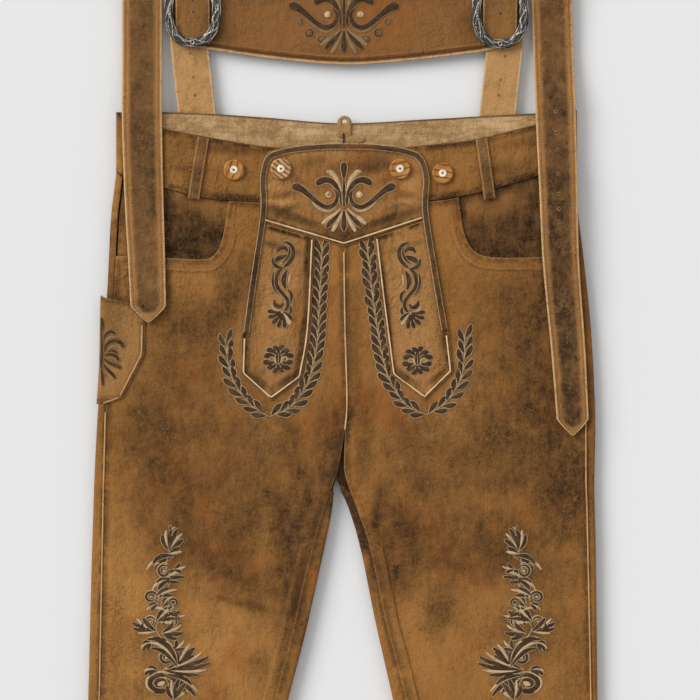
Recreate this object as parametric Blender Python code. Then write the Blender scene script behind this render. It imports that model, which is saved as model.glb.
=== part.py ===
"""Knee-length leather lederhosen with bib suspenders, laid flat with the front up.

The garment lies on the XY plane: X runs across it, Y runs up from the hems to the folded suspenders,
and Z is the height above the surface.  The tables hold real sizes in millimetres, measured from a
point on the centre seam below the waist.  Every mesh is written in metres and moved so that the
origin is the middle of the laid-out garment, on the surface.
"""

import math

import bmesh
import bpy
from mathutils import Matrix, Vector
from mathutils.geometry import delaunay_2d_cdt

MM = 0.001
# The middle of the garment lies this far up from the tables' zero.
MIDDLE_Y = 0.043

# Leather and clearances, in metres.
LEATHER = 0.0018
FACING = 0.0012
STRAP = 0.0026
BIB = 0.0022
BINDING = 0.0010
BAND_PROUD = 0.0008
SEAM_GAP = 0.0003
LAID_GAP = 0.0006
PANEL_GAP = 0.0004
PIPING_RADIUS = 0.0010
BUTTON_RADIUS = 0.0105
BUTTON_HEIGHT = 0.0040
BUTTON_GAP = 0.0007
PANEL_SPACING = 0.025
TRIM_SPACING = 0.013
FINE_SPACING = 0.007

FRONT_BASE = LEATHER + PANEL_GAP + LEATHER

# Legs, from the waistband down.  Columns, in mm: y, side fold, side seam, inseam, inner fold.
LEG_LEFT = (
    (176, -226, -219, 2.5, 1.3),
    (148, -226, -219, 2.5, 1.3),
    (104, -231, -224, 2.3, 1.3),
    (28, -235, -228, 2.6, 1.3),
    (-38, -240, -233, 4.0, 1.3),
    (-80, -243.5, -236, 5.0, 1.3),
    (-110, -245.5, -237, 3.0, 1.3),
    (-150, -247.5, -238, -7.0, -4.2),
    (-162, -248, -238.4, -11.0, -7.8),
    (-193, -249, -239, -21.0, -10.5),
    (-246, -250.7, -240, -34.5, -21.5),
    (-315, -252.4, -241.4, -50.5, -37.0),
    (-380, -254, -242.7, -67.5, -54.0),
    (-530, -258, -247, -107.0, -93.0),
)
LEG_RIGHT = (
    (176, 235, 228, 2.5, 1.7),
    (148, 235, 228, 2.5, 1.7),
    (117, 235.5, 229, 2.3, 1.7),
    (60, 242, 234.5, 2.3, 1.7),
    (-7, 249, 241, 3.0, 1.7),
    (-80, 253, 243.5, 5.0, 1.7),
    (-110, 253.5, 243.8, 3.0, 1.7),
    (-150, 252.7, 244, 4.0, -3.7),
    (-162, 252.5, 244, 7.0, -6.6),
    (-184, 252.8, 244.8, 14.5, 5.0),
    (-225, 253.8, 245.7, 27.0, 17.6),
    (-300, 254.8, 247.4, 43.0, 33.0),
    (-380, 255.6, 248.8, 63.5, 51.0),
    (-530, 258, 251, 95.0, 83.0),
)
LEG_TOP = 148
HEM = -530
CROTCH = -110
INNER_FOLD_TOP = -164
# Heights of the rows of the legs, from the waistband to the hem, in mm.
LEG_ROWS = (
    148, 118, 88, 58, 20, -20, -60, -110, -135, -156, -162, -166, -180, -200, -225, -260, -300,
    -345, -390, -435, -480, -530,
)
FOLD_STEPS = 4

# Waistband.  Columns, in mm: x, back top, front top, bottom.
WAISTBAND = (
    (-226, 208, 208, 148),
    (-219, 208, 203, 143),
    (-179, 208, 191.5, 132),
    (-135, 206.5, 183, 121.5),
    (-80, 203, 174, 118),
    (0, 197, 170, 117),
    (86, 201, 175, 118.5),
    (141, 204, 182, 128),
    (195, 207, 196, 144),
    (228, 209, 204, 152),
    (235, 210, 210, 155),
)
# Rows across the back waistband, as shares of its width from the top.
BAND_ROWS = (0, 0.3, 0.6, 0.83, 0.92, 1)
CENTRE_FRONT = ((118, 2.3), (73, 2.0), (-5, 3.0), (-80, 5.0), (-110, 3.0))
CENTRE_PIPING_TOP = 68
BAND_SEAM_LEFT = -219
BAND_SEAM_RIGHT = 228

# Pocket mouths, from the waistband down and out to the side seam, in mm.
POCKET_MOUTH_LEFT = ((-113, 119), (-120, 80), (-129, 64), (-142, 60.5), (-175, 62), (-229, 64))
POCKET_MOUTH_RIGHT = ((117, 122), (120, 89), (129, 67), (136, 61.5), (199, 61), (234.5, 62))
FACING_MARGIN = 10
# Fullness boxes.  Columns, in mm: lowest x, highest x, lowest y, highest y, rise, soft edge.
FULLNESS = (
    (-226, -100, 44, 136, 2.2, 34),
    (104, 236, 44, 142, 2.2, 34),
)
# The suspenders' ends under the back waistband.  Columns, in mm: centre x, half width, low y, rise.
STRAP_ENDS = (
    (-143, 24, 157, 3.0),
    (154, 24, 157, 3.0),
)
STRAP_END_SOFT = 16

# Soft folds in the front.  Columns, in mm: start x, start y, end x, end y, half width, rise.
FOLDS = (
    (-18, -150, -92, -470, 8, 1.3),
    (-36, -190, -112, -500, 9, -0.7),
    (24, -165, 84, -470, 8, 1.3),
    (42, -190, 104, -500, 9, -0.7),
    (-20, -108, -8, -152, 6, 1.2),
    (10, -112, 26, -176, 6, 1.0),
    (-60, -120, -20, -96, 10, 0.8),
    (68, -118, 22, -96, 10, 0.8),
    (-226, -84, -150, -60, 10, 1.0),
    (-224, 118, -218, 26, 7, 1.2),
    (-205, -150, -160, -420, 20, 0.9),
    (205, -120, 168, -420, 22, 0.9),
    (-150, -130, -60, -210, 24, 0.7),
    (150, -130, 70, -215, 24, 0.7),
    (206, 110, 188, 62, 8, 1.0),
    (-235, -300, -226, -500, 10, 0.8),
    (240, -200, 232, -480, 10, 0.8),
)

# Flap and tongues, outlines in mm; each list of points is one smooth run between corners.
FLAP_TOP = (
    ((-80, 99), (-82.5, 120), (-82, 140), (-78.5, 160), (-74, 168.5)),
    ((-74, 168.5), (-55, 173), (-20, 176), (4, 176.5), (28, 176), (60, 173), (78, 168)),
    ((78, 168), (84, 158), (88, 140), (87, 120), (84, 102)),
    ((84, 102), (2, 73.5)),
    ((2, 73.5), (-80, 99)),
)
TONGUE_LEFT = (
    ((-27, 82), (-32, -8), (-40, -58)),
    ((-40, -58), (-71, -81)),
    ((-71, -81), (-101.5, -54)),
    ((-101.5, -54), (-100, -12), (-91, 40), (-82, 97.5)),
    ((-82, 97.5), (-27, 82)),
)
TONGUE_RIGHT = (
    ((32, 83), (86, 101)),
    ((86, 101), (97, 42), (106, -8), (111.5, -52)),
    ((111.5, -52), (82.5, -80)),
    ((82.5, -80), (49.5, -55)),
    ((49.5, -55), (40, 18), (32, 83)),
)
TONGUE_PIPING_LEFT = (
    ((-30, 80), (-34.5, -8), (-42.5, -56.5)),
    ((-42.5, -56.5), (-71, -77.5)),
    ((-71, -77.5), (-98.5, -53)),
    ((-98.5, -53), (-97.4, -18.5)),
)
TONGUE_PIPING_RIGHT = (
    ((35, 81), (42.5, 18), (52, -54)),
    ((52, -54), (82.5, -76.5)),
    ((82.5, -76.5), (108.5, -51)),
    ((108.5, -51), (104.4, -15.5)),
)
FLAP_PIPING = (((-76.5, 100), (2, 76.7)), ((2, 76.7), (80.5, 102.5)))
FLAP_BINDING = (
    ((-95.8, -13), (-87.5, 45), (-78.5, 108), (-79, 140), (-75.5, 158), (-70, 165)),
    ((-70, 165), (-50, 170), (-20, 173), (4, 173.5), (28, 173), (56, 170), (74, 165)),
    ((74, 165), (80.5, 157), (84.3, 140), (83.3, 108), (93, 45), (102.6, -10)),
)
BINDING_WIDTH = 4.6

# The knife pocket: its piped front edge, and its line down the side fold, in mm.
SIDE_POCKET_FRONT = (
    ((-212, 16.3), (-197, 0)),
    ((-197, 0), (-198, -35)),
    ((-198, -35), (-220, -78)),
)
SIDE_POCKET_SIDE = ((-252, 24.5), (-252, -84))
POCKET_RADIUS = 5.6
POCKET_TURN = 1.4
POCKET_SWELL = 3.5
SIDE_POCKET_PIPING = (
    ((-199.7, -5), (-200.5, -34.5)),
    ((-200.5, -34.5), (-221.5, -75.5)),
)

# Belt loops.  Columns, in mm: top x, top y, foot x, foot y, width.
BELT_LOOPS = {
    "belt_loop_left": (-138.5, 182.5, -148.5, 121, 11.5),
    "belt_loop_right": (139.3, 181, 147.7, 121, 11.5),
}

# Suspenders, from the hidden end up over the fold and down to the tip.
# Columns, in mm: y, centre x, width.
STRAP_BACK_LEFT = (
    (160, -139.8, 37), (207, -145.3, 37), (270, -152.4, 37), (350, -161, 37.5),
    (470, -179, 38.5), (570, -188, 40), (616, -189.5, 40),
)
STRAP_FRONT_LEFT = (
    (616, -189.5, 40), (570, -191, 40), (470, -195.3, 40), (350, -199.5, 40), (270, -200, 40),
    (190, -199.7, 40), (110, -197.3, 38.5), (60, -195.2, 37), (14, -193.5, 35.6),
)
STRAP_BACK_RIGHT = (
    (160, 150.8, 36), (207, 155.8, 36), (267, 162.2, 36), (350, 171, 37),
    (440, 184, 38.5), (520, 194, 40), (566, 196, 40),
)
STRAP_FRONT_RIGHT = (
    (566, 196, 40), (520, 197.5, 40), (440, 203, 40), (350, 208.5, 40.2), (220, 213, 40.2),
    (140, 215.8, 38.5), (60, 218.5, 36.3), (-30, 226, 34), (-99, 230.5, 31.8),
)
STRAP_POINT = 16.5
STRAP_POINT_WIDTH = 3.0
STRAP_FOLD_RADIUS = 0.0034
STRAP_STEP = 27
BAND_REACH = 212

# How high the long fronts' undersides lie.  Columns, in mm: y, height off the surface.
STRAP_HEIGHT = (
    (620, 4.2), (530, 4.6), (440, 5.5), (350, 5.5), (300, 3.0), (272, 1.8), (244, 4.6), (224, 8.8),
    (212, 9.2),
)
# How far they clear the front.  Columns, in mm: y, clearance.
STRAP_CLEAR_LEFT = ((212, 2.0), (120, 0.8), (50, 0.8), (26, 3.0), (-20, 3.4))
STRAP_CLEAR_RIGHT = ((212, 2.2), (160, 1.8), (100, 3.0), (-120, 3.0))

# Chest bar, in mm.
BIB_OUTLINE = (
    ((-172, 352), (-174, 320), (-170, 292), (-158, 276), (-135, 271)),
    ((-135, 271), (-73, 262), (2, 255.6), (70, 260), (138.5, 268)),
    ((138.5, 268), (165, 275), (178, 292), (182, 320), (180, 354)),
    ((180, 354), (100, 347), (2, 343), (-90, 346), (-172, 352)),
)
BIB_SAG = 1.3
BIB_LIFT = 3.0

# Buckles and the tabs through them.  Columns, in mm: centre x, centre y.
BUCKLES = {"left": (-149.3, 309), "right": (158, 307.5)}
BUCKLE_HALF_WIDTH = 28.7
BUCKLE_HALF_HEIGHT = 36.5
BUCKLE_BAND = 9.5
BUCKLE_THICK = 4.6
BUCKLE_HEIGHT = 8.4
BUCKLE_LOBES = 20
BUCKLE_STEPS = 40
TAB_WIDTH = 34.0
# Columns, in mm: y above the buckle's centre, height of the underside.
TAB_HEIGHT = (
    (-33, 5.9), (-24, 5.9), (-12, 6.0), (2, 7.6), (14, 11.4), (24, 13.6), (34, 13.7),
    (44, 11.4), (54, 5.6), (64, 3.3), (90, 3.1), (128, 3.1),
)

HANGER = {"x": 2.5, "foot": 183, "half_width": 7.5, "hole": 2.2, "hole_y": 198.6}

BUTTONS = {
    "button_outer_left": (-108, 150),
    "button_inner_left": (-61, 151),
    "button_inner_right": (58, 151),
    "button_outer_right": (100.6, 146.6),
}

COLOURS = {
    "tan": ((0.33, 0.15, 0.045, 1), 0.85, 0.0),
    "dark": ((0.10, 0.05, 0.025, 1), 0.85, 0.0),
    "cream": ((0.66, 0.50, 0.30, 1), 0.8, 0.0),
    "horn": ((0.45, 0.17, 0.04, 1), 0.35, 0.0),
    "silver": ((0.30, 0.32, 0.35, 1), 0.38, 1.0),
}


# ---------------------------------------------------------------------------------------------
# Reading the tables


def smooth_step(value):
    """0 below 0, 1 above 1 and an even slope between."""
    t = min(max(value, 0.0), 1.0)
    return t * t * (3.0 - 2.0 * t)


def along(rows, at, column):
    """The value of a table's column at a place in its first column, on a smooth curve."""
    ordered = sorted(rows)
    if at <= ordered[0][0]:
        return ordered[0][column]
    if at >= ordered[-1][0]:
        return ordered[-1][column]
    i = next(k for k in range(len(ordered) - 1) if at <= ordered[k + 1][0])
    slopes = []
    for k in (i, i + 1):
        low, high = max(k - 1, 0), min(k + 1, len(ordered) - 1)
        rise = ordered[high][column] - ordered[low][column]
        slopes.append(rise / (ordered[high][0] - ordered[low][0]))
    span = ordered[i + 1][0] - ordered[i][0]
    t = (at - ordered[i][0]) / span
    a, b = ordered[i][column], ordered[i + 1][column]
    return (
        a * (2 * t**3 - 3 * t**2 + 1)
        + slopes[0] * span * (t**3 - 2 * t**2 + t)
        + b * (3 * t**2 - 2 * t**3)
        + slopes[1] * span * (t**3 - t**2)
    )


def smooth_run(points, spacing):
    """Points about a spacing apart on a smooth curve through a run's points, in metres."""
    run = [Vector(p).to_2d() * MM for p in points]
    ends = [run[0] * 2 - run[1], *run, run[-1] * 2 - run[-2]]
    out = []
    for a, b, c, d in zip(ends, ends[1:], ends[2:], ends[3:]):
        steps = max(1, math.ceil((c - b).length / spacing))
        for k in range(steps):
            t = k / steps
            out.append(
                0.5 * (2 * b + (c - a) * t + (2 * a - 5 * b + 4 * c - d) * t**2
                       + (3 * b - a - 3 * c + d) * t**3)
            )
    out.append(run[-1])
    return out


def smooth_outline(runs, spacing, fine=None):
    """A closed outline from its runs, each smooth and the corners between them kept."""
    points = []
    for run in runs:
        points += smooth_run(run, FINE_SPACING if run is fine else spacing)[:-1]
    return points


def smooth_route(runs, spacing):
    """An open route from its runs."""
    points = []
    for run in runs:
        points += smooth_run(run, spacing)[:-1]
    return points + [Vector(runs[-1][-1]) * MM]


# ---------------------------------------------------------------------------------------------
# Heights of the layers, in metres, at a place in metres


def strap_end_rise(x, y):
    """How far the suspenders' ends lift what lies on them."""
    rise = 0.0
    for centre, half, low, height in STRAP_ENDS:
        side = smooth_step(1 - (abs(x / MM - centre) - half) / STRAP_END_SOFT)
        foot = smooth_step(1 + (y / MM - low) / STRAP_END_SOFT * 1.6)
        rise = max(rise, side * foot * height * MM)
    return rise


def fullness(x, y):
    """The extra room over the pocket bags."""
    rise = 0.0
    for low_x, high_x, low_y, high_y, height, soft in FULLNESS:
        away_x = max(low_x - x / MM, x / MM - high_x, 0)
        away_y = max(low_y - y / MM, y / MM - high_y, 0)
        rise = max(rise, height * MM * smooth_step(1 - math.hypot(away_x, away_y) / soft))
    return rise


def fold_rise(x, y):
    """The soft folds in the laid-out leather."""
    rise = 0.0
    for x1, y1, x2, y2, half, height in FOLDS:
        start, end = Vector((x1, y1)), Vector((x2, y2))
        run = end - start
        away = Vector((x / MM, y / MM)) - start
        t = away.dot(run) / run.length_squared
        side = (away - run * t).length / half
        ends = smooth_step(t / 0.2 + 0.4) * smooth_step((1 - t) / 0.2 + 0.4)
        rise += height * MM * math.exp(-side * side) * ends
    return rise


def edge_rise(x, y):
    """The roundness of the leather near its folded edges."""
    rise = 0.0
    for leg in (LEG_LEFT, LEG_RIGHT):
        side = abs(x - along(leg, y / MM, 2) * MM) / 0.016
        rise = max(rise, 0.0020 * math.exp(-side * side))
        if y / MM < CROTCH:
            inner = abs(x - along(leg, y / MM, 3) * MM) / 0.012
            rise = max(rise, 0.0016 * math.exp(-inner * inner))
    return rise


def front_height(x, y):
    """The outer face of the front, panels and seam returns alike."""
    rise = max(0.0, fold_rise(x, y)) + 0.3 * min(0.0, fold_rise(x, y))
    return FRONT_BASE + fullness(x, y) + strap_end_rise(x, y) * 1.25 + edge_rise(x, y) + rise


def band_height(x, y):
    """The outer face of the front waistband, which stands proud of the panels."""
    below = along(WAISTBAND, x / MM, 3) - y / MM
    return front_height(x, y) + BAND_PROUD * smooth_step(1 - below / 14)


def flap_height(x, y):
    """The outer face of the drop flap, on the waistband and the fronts."""
    return band_height(x, y) + LAID_GAP + LEATHER


def bib_height(x, y):
    """The outer face of the chest bar, which sags between the buckles."""
    middle = smooth_step(1 - (abs(x / MM - 4) - 40) / 90)
    return (BIB_LIFT - BIB_SAG * middle) * MM + BIB


# ---------------------------------------------------------------------------------------------
# Meshes


def finish_object(name, mesh, colour):
    """Move a mesh to the garment's own origin, put it in the scene and give it its finish."""
    mesh.transform(Matrix.Translation((0.0, -MIDDLE_Y, 0.0)))
    obj = bpy.data.objects.new(name, mesh)
    bpy.context.collection.objects.link(obj)
    base, roughness, metallic = COLOURS[colour]
    material = bpy.data.materials.new(name + "_finish")
    material.use_nodes = True
    shader = material.node_tree.nodes["Principled BSDF"]
    shader.inputs["Base Color"].default_value = base
    shader.inputs["Roughness"].default_value = roughness
    shader.inputs["Metallic"].default_value = metallic
    mesh.materials.append(material)
    mesh.shade_smooth()
    mesh.set_sharp_from_angle(angle=math.radians(35))
    return obj


def wall(name, outer, inner, faces, colour):
    """A leather wall between its outer and its inner points, closed round its cut edge."""
    count = len(outer)
    directed = {(a, b) for face in faces for a, b in zip(face, face[1:] + face[:1])}
    rim = [(b, a, a + count, b + count) for a, b in directed if (b, a) not in directed]
    under = [tuple(k + count for k in reversed(face)) for face in faces]
    mesh = bpy.data.meshes.new(name)
    mesh.from_pydata([tuple(p) for p in outer + inner], [], faces + under + sorted(rim))
    mesh.update()
    return finish_object(name, mesh, colour)


def lowered(points, thickness):
    """The points, moved down."""
    return [(x, y, z - thickness) for x, y, z in points]


def section_inside(path, thickness):
    """The inner side of a section's (x, z) path; both ends stay upright."""
    inside = []
    for k, (x, z) in enumerate(path):
        before, after = path[max(k - 1, 0)], path[min(k + 1, len(path) - 1)]
        along_path = Vector((after[0] - before[0], after[1] - before[1])).normalized()
        if k in (0, len(path) - 1):
            along_path = Vector((math.copysign(1.0, along_path.x), 0.0))
        inside.append((x + along_path.y * thickness, z - along_path.x * thickness))
    return inside


def grid_faces(rows, columns):
    """Quads over rows of points, facing up where the columns run to +X and the rows to -Y."""
    return [
        (i * columns + j, (i + 1) * columns + j, (i + 1) * columns + j + 1, i * columns + j + 1)
        for i in range(rows - 1)
        for j in range(columns - 1)
    ]


def cut_piece(outline, spacing):
    """Points and triangles over a flat cut piece, facing up."""
    area = sum(a.x * b.y - b.x * a.y for a, b in zip(outline, outline[1:] + outline[:1]))
    ring = outline if area > 0 else outline[::-1]
    low_x, high_x = min(p.x for p in ring), max(p.x for p in ring)
    low_y, high_y = min(p.y for p in ring), max(p.y for p in ring)
    inside = []
    row_step = spacing * 0.866
    for j in range(1, int((high_y - low_y) / row_step) + 1):
        for i in range(int((high_x - low_x) / spacing) + 2):
            p = Vector((low_x + (i + 0.5 * (j % 2)) * spacing, low_y + j * row_step))
            if is_inside(p, ring) and nearest_edge(p, ring) > spacing * 0.5:
                inside.append(p)
    edges = [(k, (k + 1) % len(ring)) for k in range(len(ring))]
    points, _, faces, *_ = delaunay_2d_cdt(ring + inside, edges, [], 1, 1e-6)
    return points, [tuple(f) for f in faces]


def is_inside(p, ring):
    """Whether a point lies within a closed ring."""
    odd = False
    for a, b in zip(ring, ring[1:] + ring[:1]):
        if (a.y > p.y) != (b.y > p.y) and p.x < a.x + (p.y - a.y) * (b.x - a.x) / (b.y - a.y):
            odd = not odd
    return odd


def nearest_edge(p, ring):
    """How far a point lies from a ring's edges."""
    best = math.inf
    for a, b in zip(ring, ring[1:] + ring[:1]):
        run = b - a
        t = min(max((p - a).dot(run) / run.length_squared, 0.0), 1.0)
        best = min(best, (p - a - run * t).length)
    return best


def laid_piece(name, outline, spacing, height, thickness, colour):
    """A flat cut piece laid at a height that is a function of the place."""
    points, faces = cut_piece(outline, spacing)
    raised = [(p.x, p.y, height(p.x, p.y)) for p in points]
    return wall(name, raised, lowered(raised, thickness), faces, colour)


def piping(name, runs, height, colour="cream", radius=PIPING_RADIUS, spacing=0.016):
    """A round piping along a route, lying on a height."""
    line = smooth_route(runs, spacing)
    curve = bpy.data.curves.new(name, "CURVE")
    curve.dimensions = "3D"
    spline = curve.splines.new("POLY")
    spline.points.add(len(line) - 1)
    for point, place in zip(spline.points, line):
        z = height(place.x, place.y) + SEAM_GAP + radius
        point.co = (place.x, place.y, z, 1)
    curve.bevel_depth = radius
    curve.bevel_resolution = 1
    curve.use_fill_caps = True
    raw = bpy.data.objects.new(name + "_route", curve)
    mesh = bpy.data.meshes.new_from_object(raw)
    bpy.data.objects.remove(raw)
    build = bmesh.new()
    build.from_mesh(mesh)
    bmesh.ops.remove_doubles(build, verts=build.verts, dist=1e-6)
    bmesh.ops.recalc_face_normals(build, faces=build.faces)
    build.to_mesh(mesh)
    build.free()
    return finish_object(name, mesh, colour)


# ---------------------------------------------------------------------------------------------
# Body


def row_heights(low, high, step):
    """Heights from high to low, about a step apart, in mm."""
    count = max(1, round((high - low) / step))
    return [high + (low - high) * k / count for k in range(count + 1)]


def folded_edge(fold_x, seam_x, y, outward):
    """From the seam on top, out over the fold and under, as (x, z) points."""
    top = front_height(seam_x, y)
    radius = top / 2
    centre = fold_x - outward * radius
    points = [(seam_x, top), ((seam_x + centre) / 2, front_height((seam_x + centre) / 2, y))]
    for k in range(FOLD_STEPS + 1):
        turn = math.pi * k / FOLD_STEPS
        points.append((centre + outward * radius * math.sin(turn), radius + radius * math.cos(turn)))
    return points


def band_foot(x, lift):
    """The waistband's lower edge: straight at the back, curved on the front."""
    return LEG_TOP + (along(WAISTBAND, x / MM, 3) - LEG_TOP) * smooth_step(lift)


def back_panel(name, leg, side):
    """One back half: flat on the surface and turned up over the side and inner-leg folds."""
    inner_count = FOLD_STEPS + 3
    flat_count = 5
    outer, inside = [], []
    for row in LEG_ROWS:
        y = row * MM
        fold, seam, inseam, inner = [along(leg, row, k) * MM for k in range(1, 5)]
        outer_part = folded_edge(fold, seam, y, side)
        if row < INNER_FOLD_TOP:
            inner_part = folded_edge(inner, inseam, y, -side)[::-1]
        else:
            inner_part = [(inner + side * 0.0009 * k, 0.0) for k in reversed(range(inner_count))]
        start, end = outer_part[-1][0], inner_part[0][0]
        flat = [
            (start + (end - start) * k / (flat_count + 1), 0.0) for k in range(1, flat_count + 1)
        ]
        path = outer_part + flat + inner_part
        within = section_inside(path, side * LEATHER)
        for (x, z), (inner_x, inner_z) in zip(path, within):
            at = y
            if row == LEG_TOP:
                at = (band_foot(x, z / outer_part[0][1]) - SEAM_GAP / MM) * MM
            outer.append((x, at, z))
            inside.append((inner_x, at, inner_z))
    columns = len(outer) // len(LEG_ROWS)
    faces = grid_faces(len(LEG_ROWS), columns)
    if side < 0:
        faces = [tuple(reversed(f)) for f in faces]
    return wall(name, outer, inside, faces, "tan")


def front_outline(leg, side, mouth):
    """The runs round one front half, from the centre, and the pocket mouth among them."""
    gap = SEAM_GAP / MM
    centre = [(x + side * gap / 2, y) for y, x in CENTRE_FRONT]
    below = [y for y in LEG_ROWS if y < CROTCH]
    beside = [y for y in reversed(LEG_ROWS) if y <= 20]
    inseam = [centre[-1]] + [(along(leg, y, 3) + side * gap, y) for y in below]
    side_seam = [(along(leg, y, 2) - side * gap, y) for y in beside]
    side_seam.append((along(leg, mouth[-1][1], 2) - side * gap, mouth[-1][1]))
    opening = [side_seam[-1], *reversed(mouth[:-1])]
    opening[-1] = (opening[-1][0], along(WAISTBAND, opening[-1][0], 3) - gap)
    top = [opening[-1]] + [
        (x, along(WAISTBAND, x, 3) - gap) for x in (side * 95 + 2, side * 60, side * 25)
    ]
    centre[0] = (centre[0][0], along(WAISTBAND, centre[0][0], 3) - gap)
    top.append(centre[0])
    straight = [(a, b) for line in (inseam, side_seam) for a, b in zip(line, line[1:])]
    count = len(below)
    hem = (inseam[-1], side_seam[0])
    return (centre, *straight[:count], hem, *straight[count:], opening, top), opening


def facing_outline(leg, side, mouth):
    """The facing behind a pocket mouth, from the waistband to a margin under the front."""
    gap = SEAM_GAP / MM
    margin = FACING_MARGIN
    low = mouth[-1][1] - margin
    inner = mouth[0][0] - side * margin
    outer_low = along(leg, low, 2) - side * (gap + 1.0)
    corner = mouth[2][0] - side * margin * 0.7
    bottom = [(outer_low, low), (mouth[3][0], low), (corner, low + 5), (inner, mouth[1][1] + 2)]
    top_inner = (inner, along(WAISTBAND, inner, 3) + 3)
    seam = [(along(leg, y, 2) - side * (gap + 1.0), y) for y in (138, 104, 80, low)]
    top = [top_inner] + [
        (x, min(along(WAISTBAND, x, 3) + 3, 138)) for x in (side * 150, side * 190)
    ]
    top.append(seam[0])
    return (bottom, [bottom[-1], top_inner], top, seam)


def facing_height(x, y):
    """The outer face of a pocket's facing, under the front."""
    return front_height(x, y) - LEATHER - LAID_GAP


def build_body():
    """Both halves of the body with their pocket facings, and the waistband."""
    for word, leg, side, mouth in (
        ("left", LEG_LEFT, -1, POCKET_MOUTH_LEFT),
        ("right", LEG_RIGHT, 1, POCKET_MOUTH_RIGHT),
    ):
        back_panel("back_panel_" + word, leg, side)
        runs, opening = front_outline(leg, side, mouth)
        outline = smooth_outline(runs, PANEL_SPACING, fine=opening)
        laid_piece("front_panel_" + word, outline, PANEL_SPACING, front_height, LEATHER, "tan")
        outline = smooth_outline(facing_outline(leg, side, mouth), PANEL_SPACING)
        laid_piece("pocket_facing_" + word, outline, PANEL_SPACING, facing_height, FACING, "dark")
    waistband_back()
    waistband_fronts()


def waistband_back():
    """The back of the waistband, turned up round both side folds to the seams on top."""
    ends = []
    for end, seam in ((WAISTBAND[0][0], BAND_SEAM_LEFT), (WAISTBAND[-1][0], BAND_SEAM_RIGHT)):
        ends.append(folded_edge(end * MM, seam * MM, LEG_TOP * MM, -1 if end < 0 else 1))
    top = ends[0][0][1], ends[1][0][1]
    start, stop = ends[0][-1][0] / MM, ends[1][-1][0] / MM
    places = {start + (stop - start) * k / 16 for k in range(1, 16)}
    for centre, half, _, _ in STRAP_ENDS:
        places = {x for x in places if abs(x - centre) > half + STRAP_END_SOFT + 4}
        for reach in (half + STRAP_END_SOFT, half + STRAP_END_SOFT / 2, half, half / 2):
            places |= {centre - reach, centre + reach}
        places.add(centre)
    path = ends[0] + [(x * MM, 0.0) for x in sorted(places)] + ends[1][::-1]
    within = section_inside(path, -LEATHER)
    outer, inside = [], []
    for share in BAND_ROWS:
        for (x, z), (inner_x, inner_z) in zip(path, within):
            lift = smooth_step(z / top[0 if x < 0 else 1])
            upper = along(WAISTBAND, x / MM, 1)
            upper += (along(WAISTBAND, x / MM, 2) - upper) * lift
            y = (upper + (band_foot(x, z / top[0 if x < 0 else 1]) - upper) * share) * MM
            rise = strap_end_rise(x, y) * (1 - lift)
            outer.append((x, y, z + rise))
            inside.append((inner_x, y, inner_z + rise))
    faces = [tuple(reversed(f)) for f in grid_faces(len(BAND_ROWS), len(path))]
    return wall("waistband_back", outer, inside, faces, "tan")


def waistband_fronts():
    """The two fronts of the waistband, which meet under the flap."""
    gap = SEAM_GAP / MM
    for word, side, seam in (("left", -1, BAND_SEAM_LEFT), ("right", 1, BAND_SEAM_RIGHT)):
        stops = [seam - side * gap, side * 200, side * 179, side * 135, side * 80, side * 40]
        centre = 2.3 + side * gap / 2
        top = [(x, along(WAISTBAND, x, 2)) for x in stops + [centre]]
        foot = [(x, along(WAISTBAND, x, 3) + gap / 2) for x in [centre] + stops[::-1]]
        runs = (top, [top[-1], foot[0]], foot, [foot[-1], top[0]])
        outline = smooth_outline(runs, PANEL_SPACING * 0.8)
        laid_piece(
            "waistband_front_" + word, outline, PANEL_SPACING * 0.8, band_height,
            LEATHER + BAND_PROUD, "tan",
        )


# ---------------------------------------------------------------------------------------------
# Flap, pockets and loops


def build_flap():
    """The drop flap: its top, its two tongues, its pipings and its binding."""
    outline = smooth_outline(FLAP_TOP, TRIM_SPACING)
    laid_piece("flap_top", outline, TRIM_SPACING * 1.3, flap_height, LEATHER, "tan")
    for word, runs, pipe in (
        ("left", TONGUE_LEFT, TONGUE_PIPING_LEFT),
        ("right", TONGUE_RIGHT, TONGUE_PIPING_RIGHT),
    ):
        outline = smooth_outline(runs, TRIM_SPACING)
        laid_piece(
            "flap_tongue_" + word, outline, TRIM_SPACING * 1.5, flap_height, LEATHER, "tan"
        )
        piping("tongue_piping_" + word, pipe, flap_height)
    piping("flap_piping", FLAP_PIPING, flap_height)
    line = smooth_route(FLAP_BINDING, 0.014)
    binding = ribbon(line, BINDING_WIDTH * MM)
    lift = LAID_GAP + BINDING
    points = [(p.x, p.y, flap_height(p.x, p.y) + lift) for p in binding]
    faces = ribbon_faces(len(line))
    wall("flap_binding", points, lowered(points, BINDING), faces, "dark")
    centre = [(x, y) for y, x in CENTRE_FRONT[1:]]
    centre[0] = (centre[0][0], CENTRE_PIPING_TOP)
    piping("centre_piping", (centre,), front_height, spacing=0.022)


def ribbon(line, width):
    """The two edges of a flat ribbon along a line, left and right in turn."""
    edges = []
    for k, place in enumerate(line):
        ahead = line[min(k + 1, len(line) - 1)] - line[max(k - 1, 0)]
        across = Vector((-ahead.y, ahead.x)).normalized() * width / 2
        edges += [place + across, place - across]
    return edges


def ribbon_faces(count):
    """Quads along a ribbon of left and right edge points, facing up."""
    return [(2 * k, 2 * k + 1, 2 * k + 3, 2 * k + 2) for k in range(count - 1)]


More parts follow.
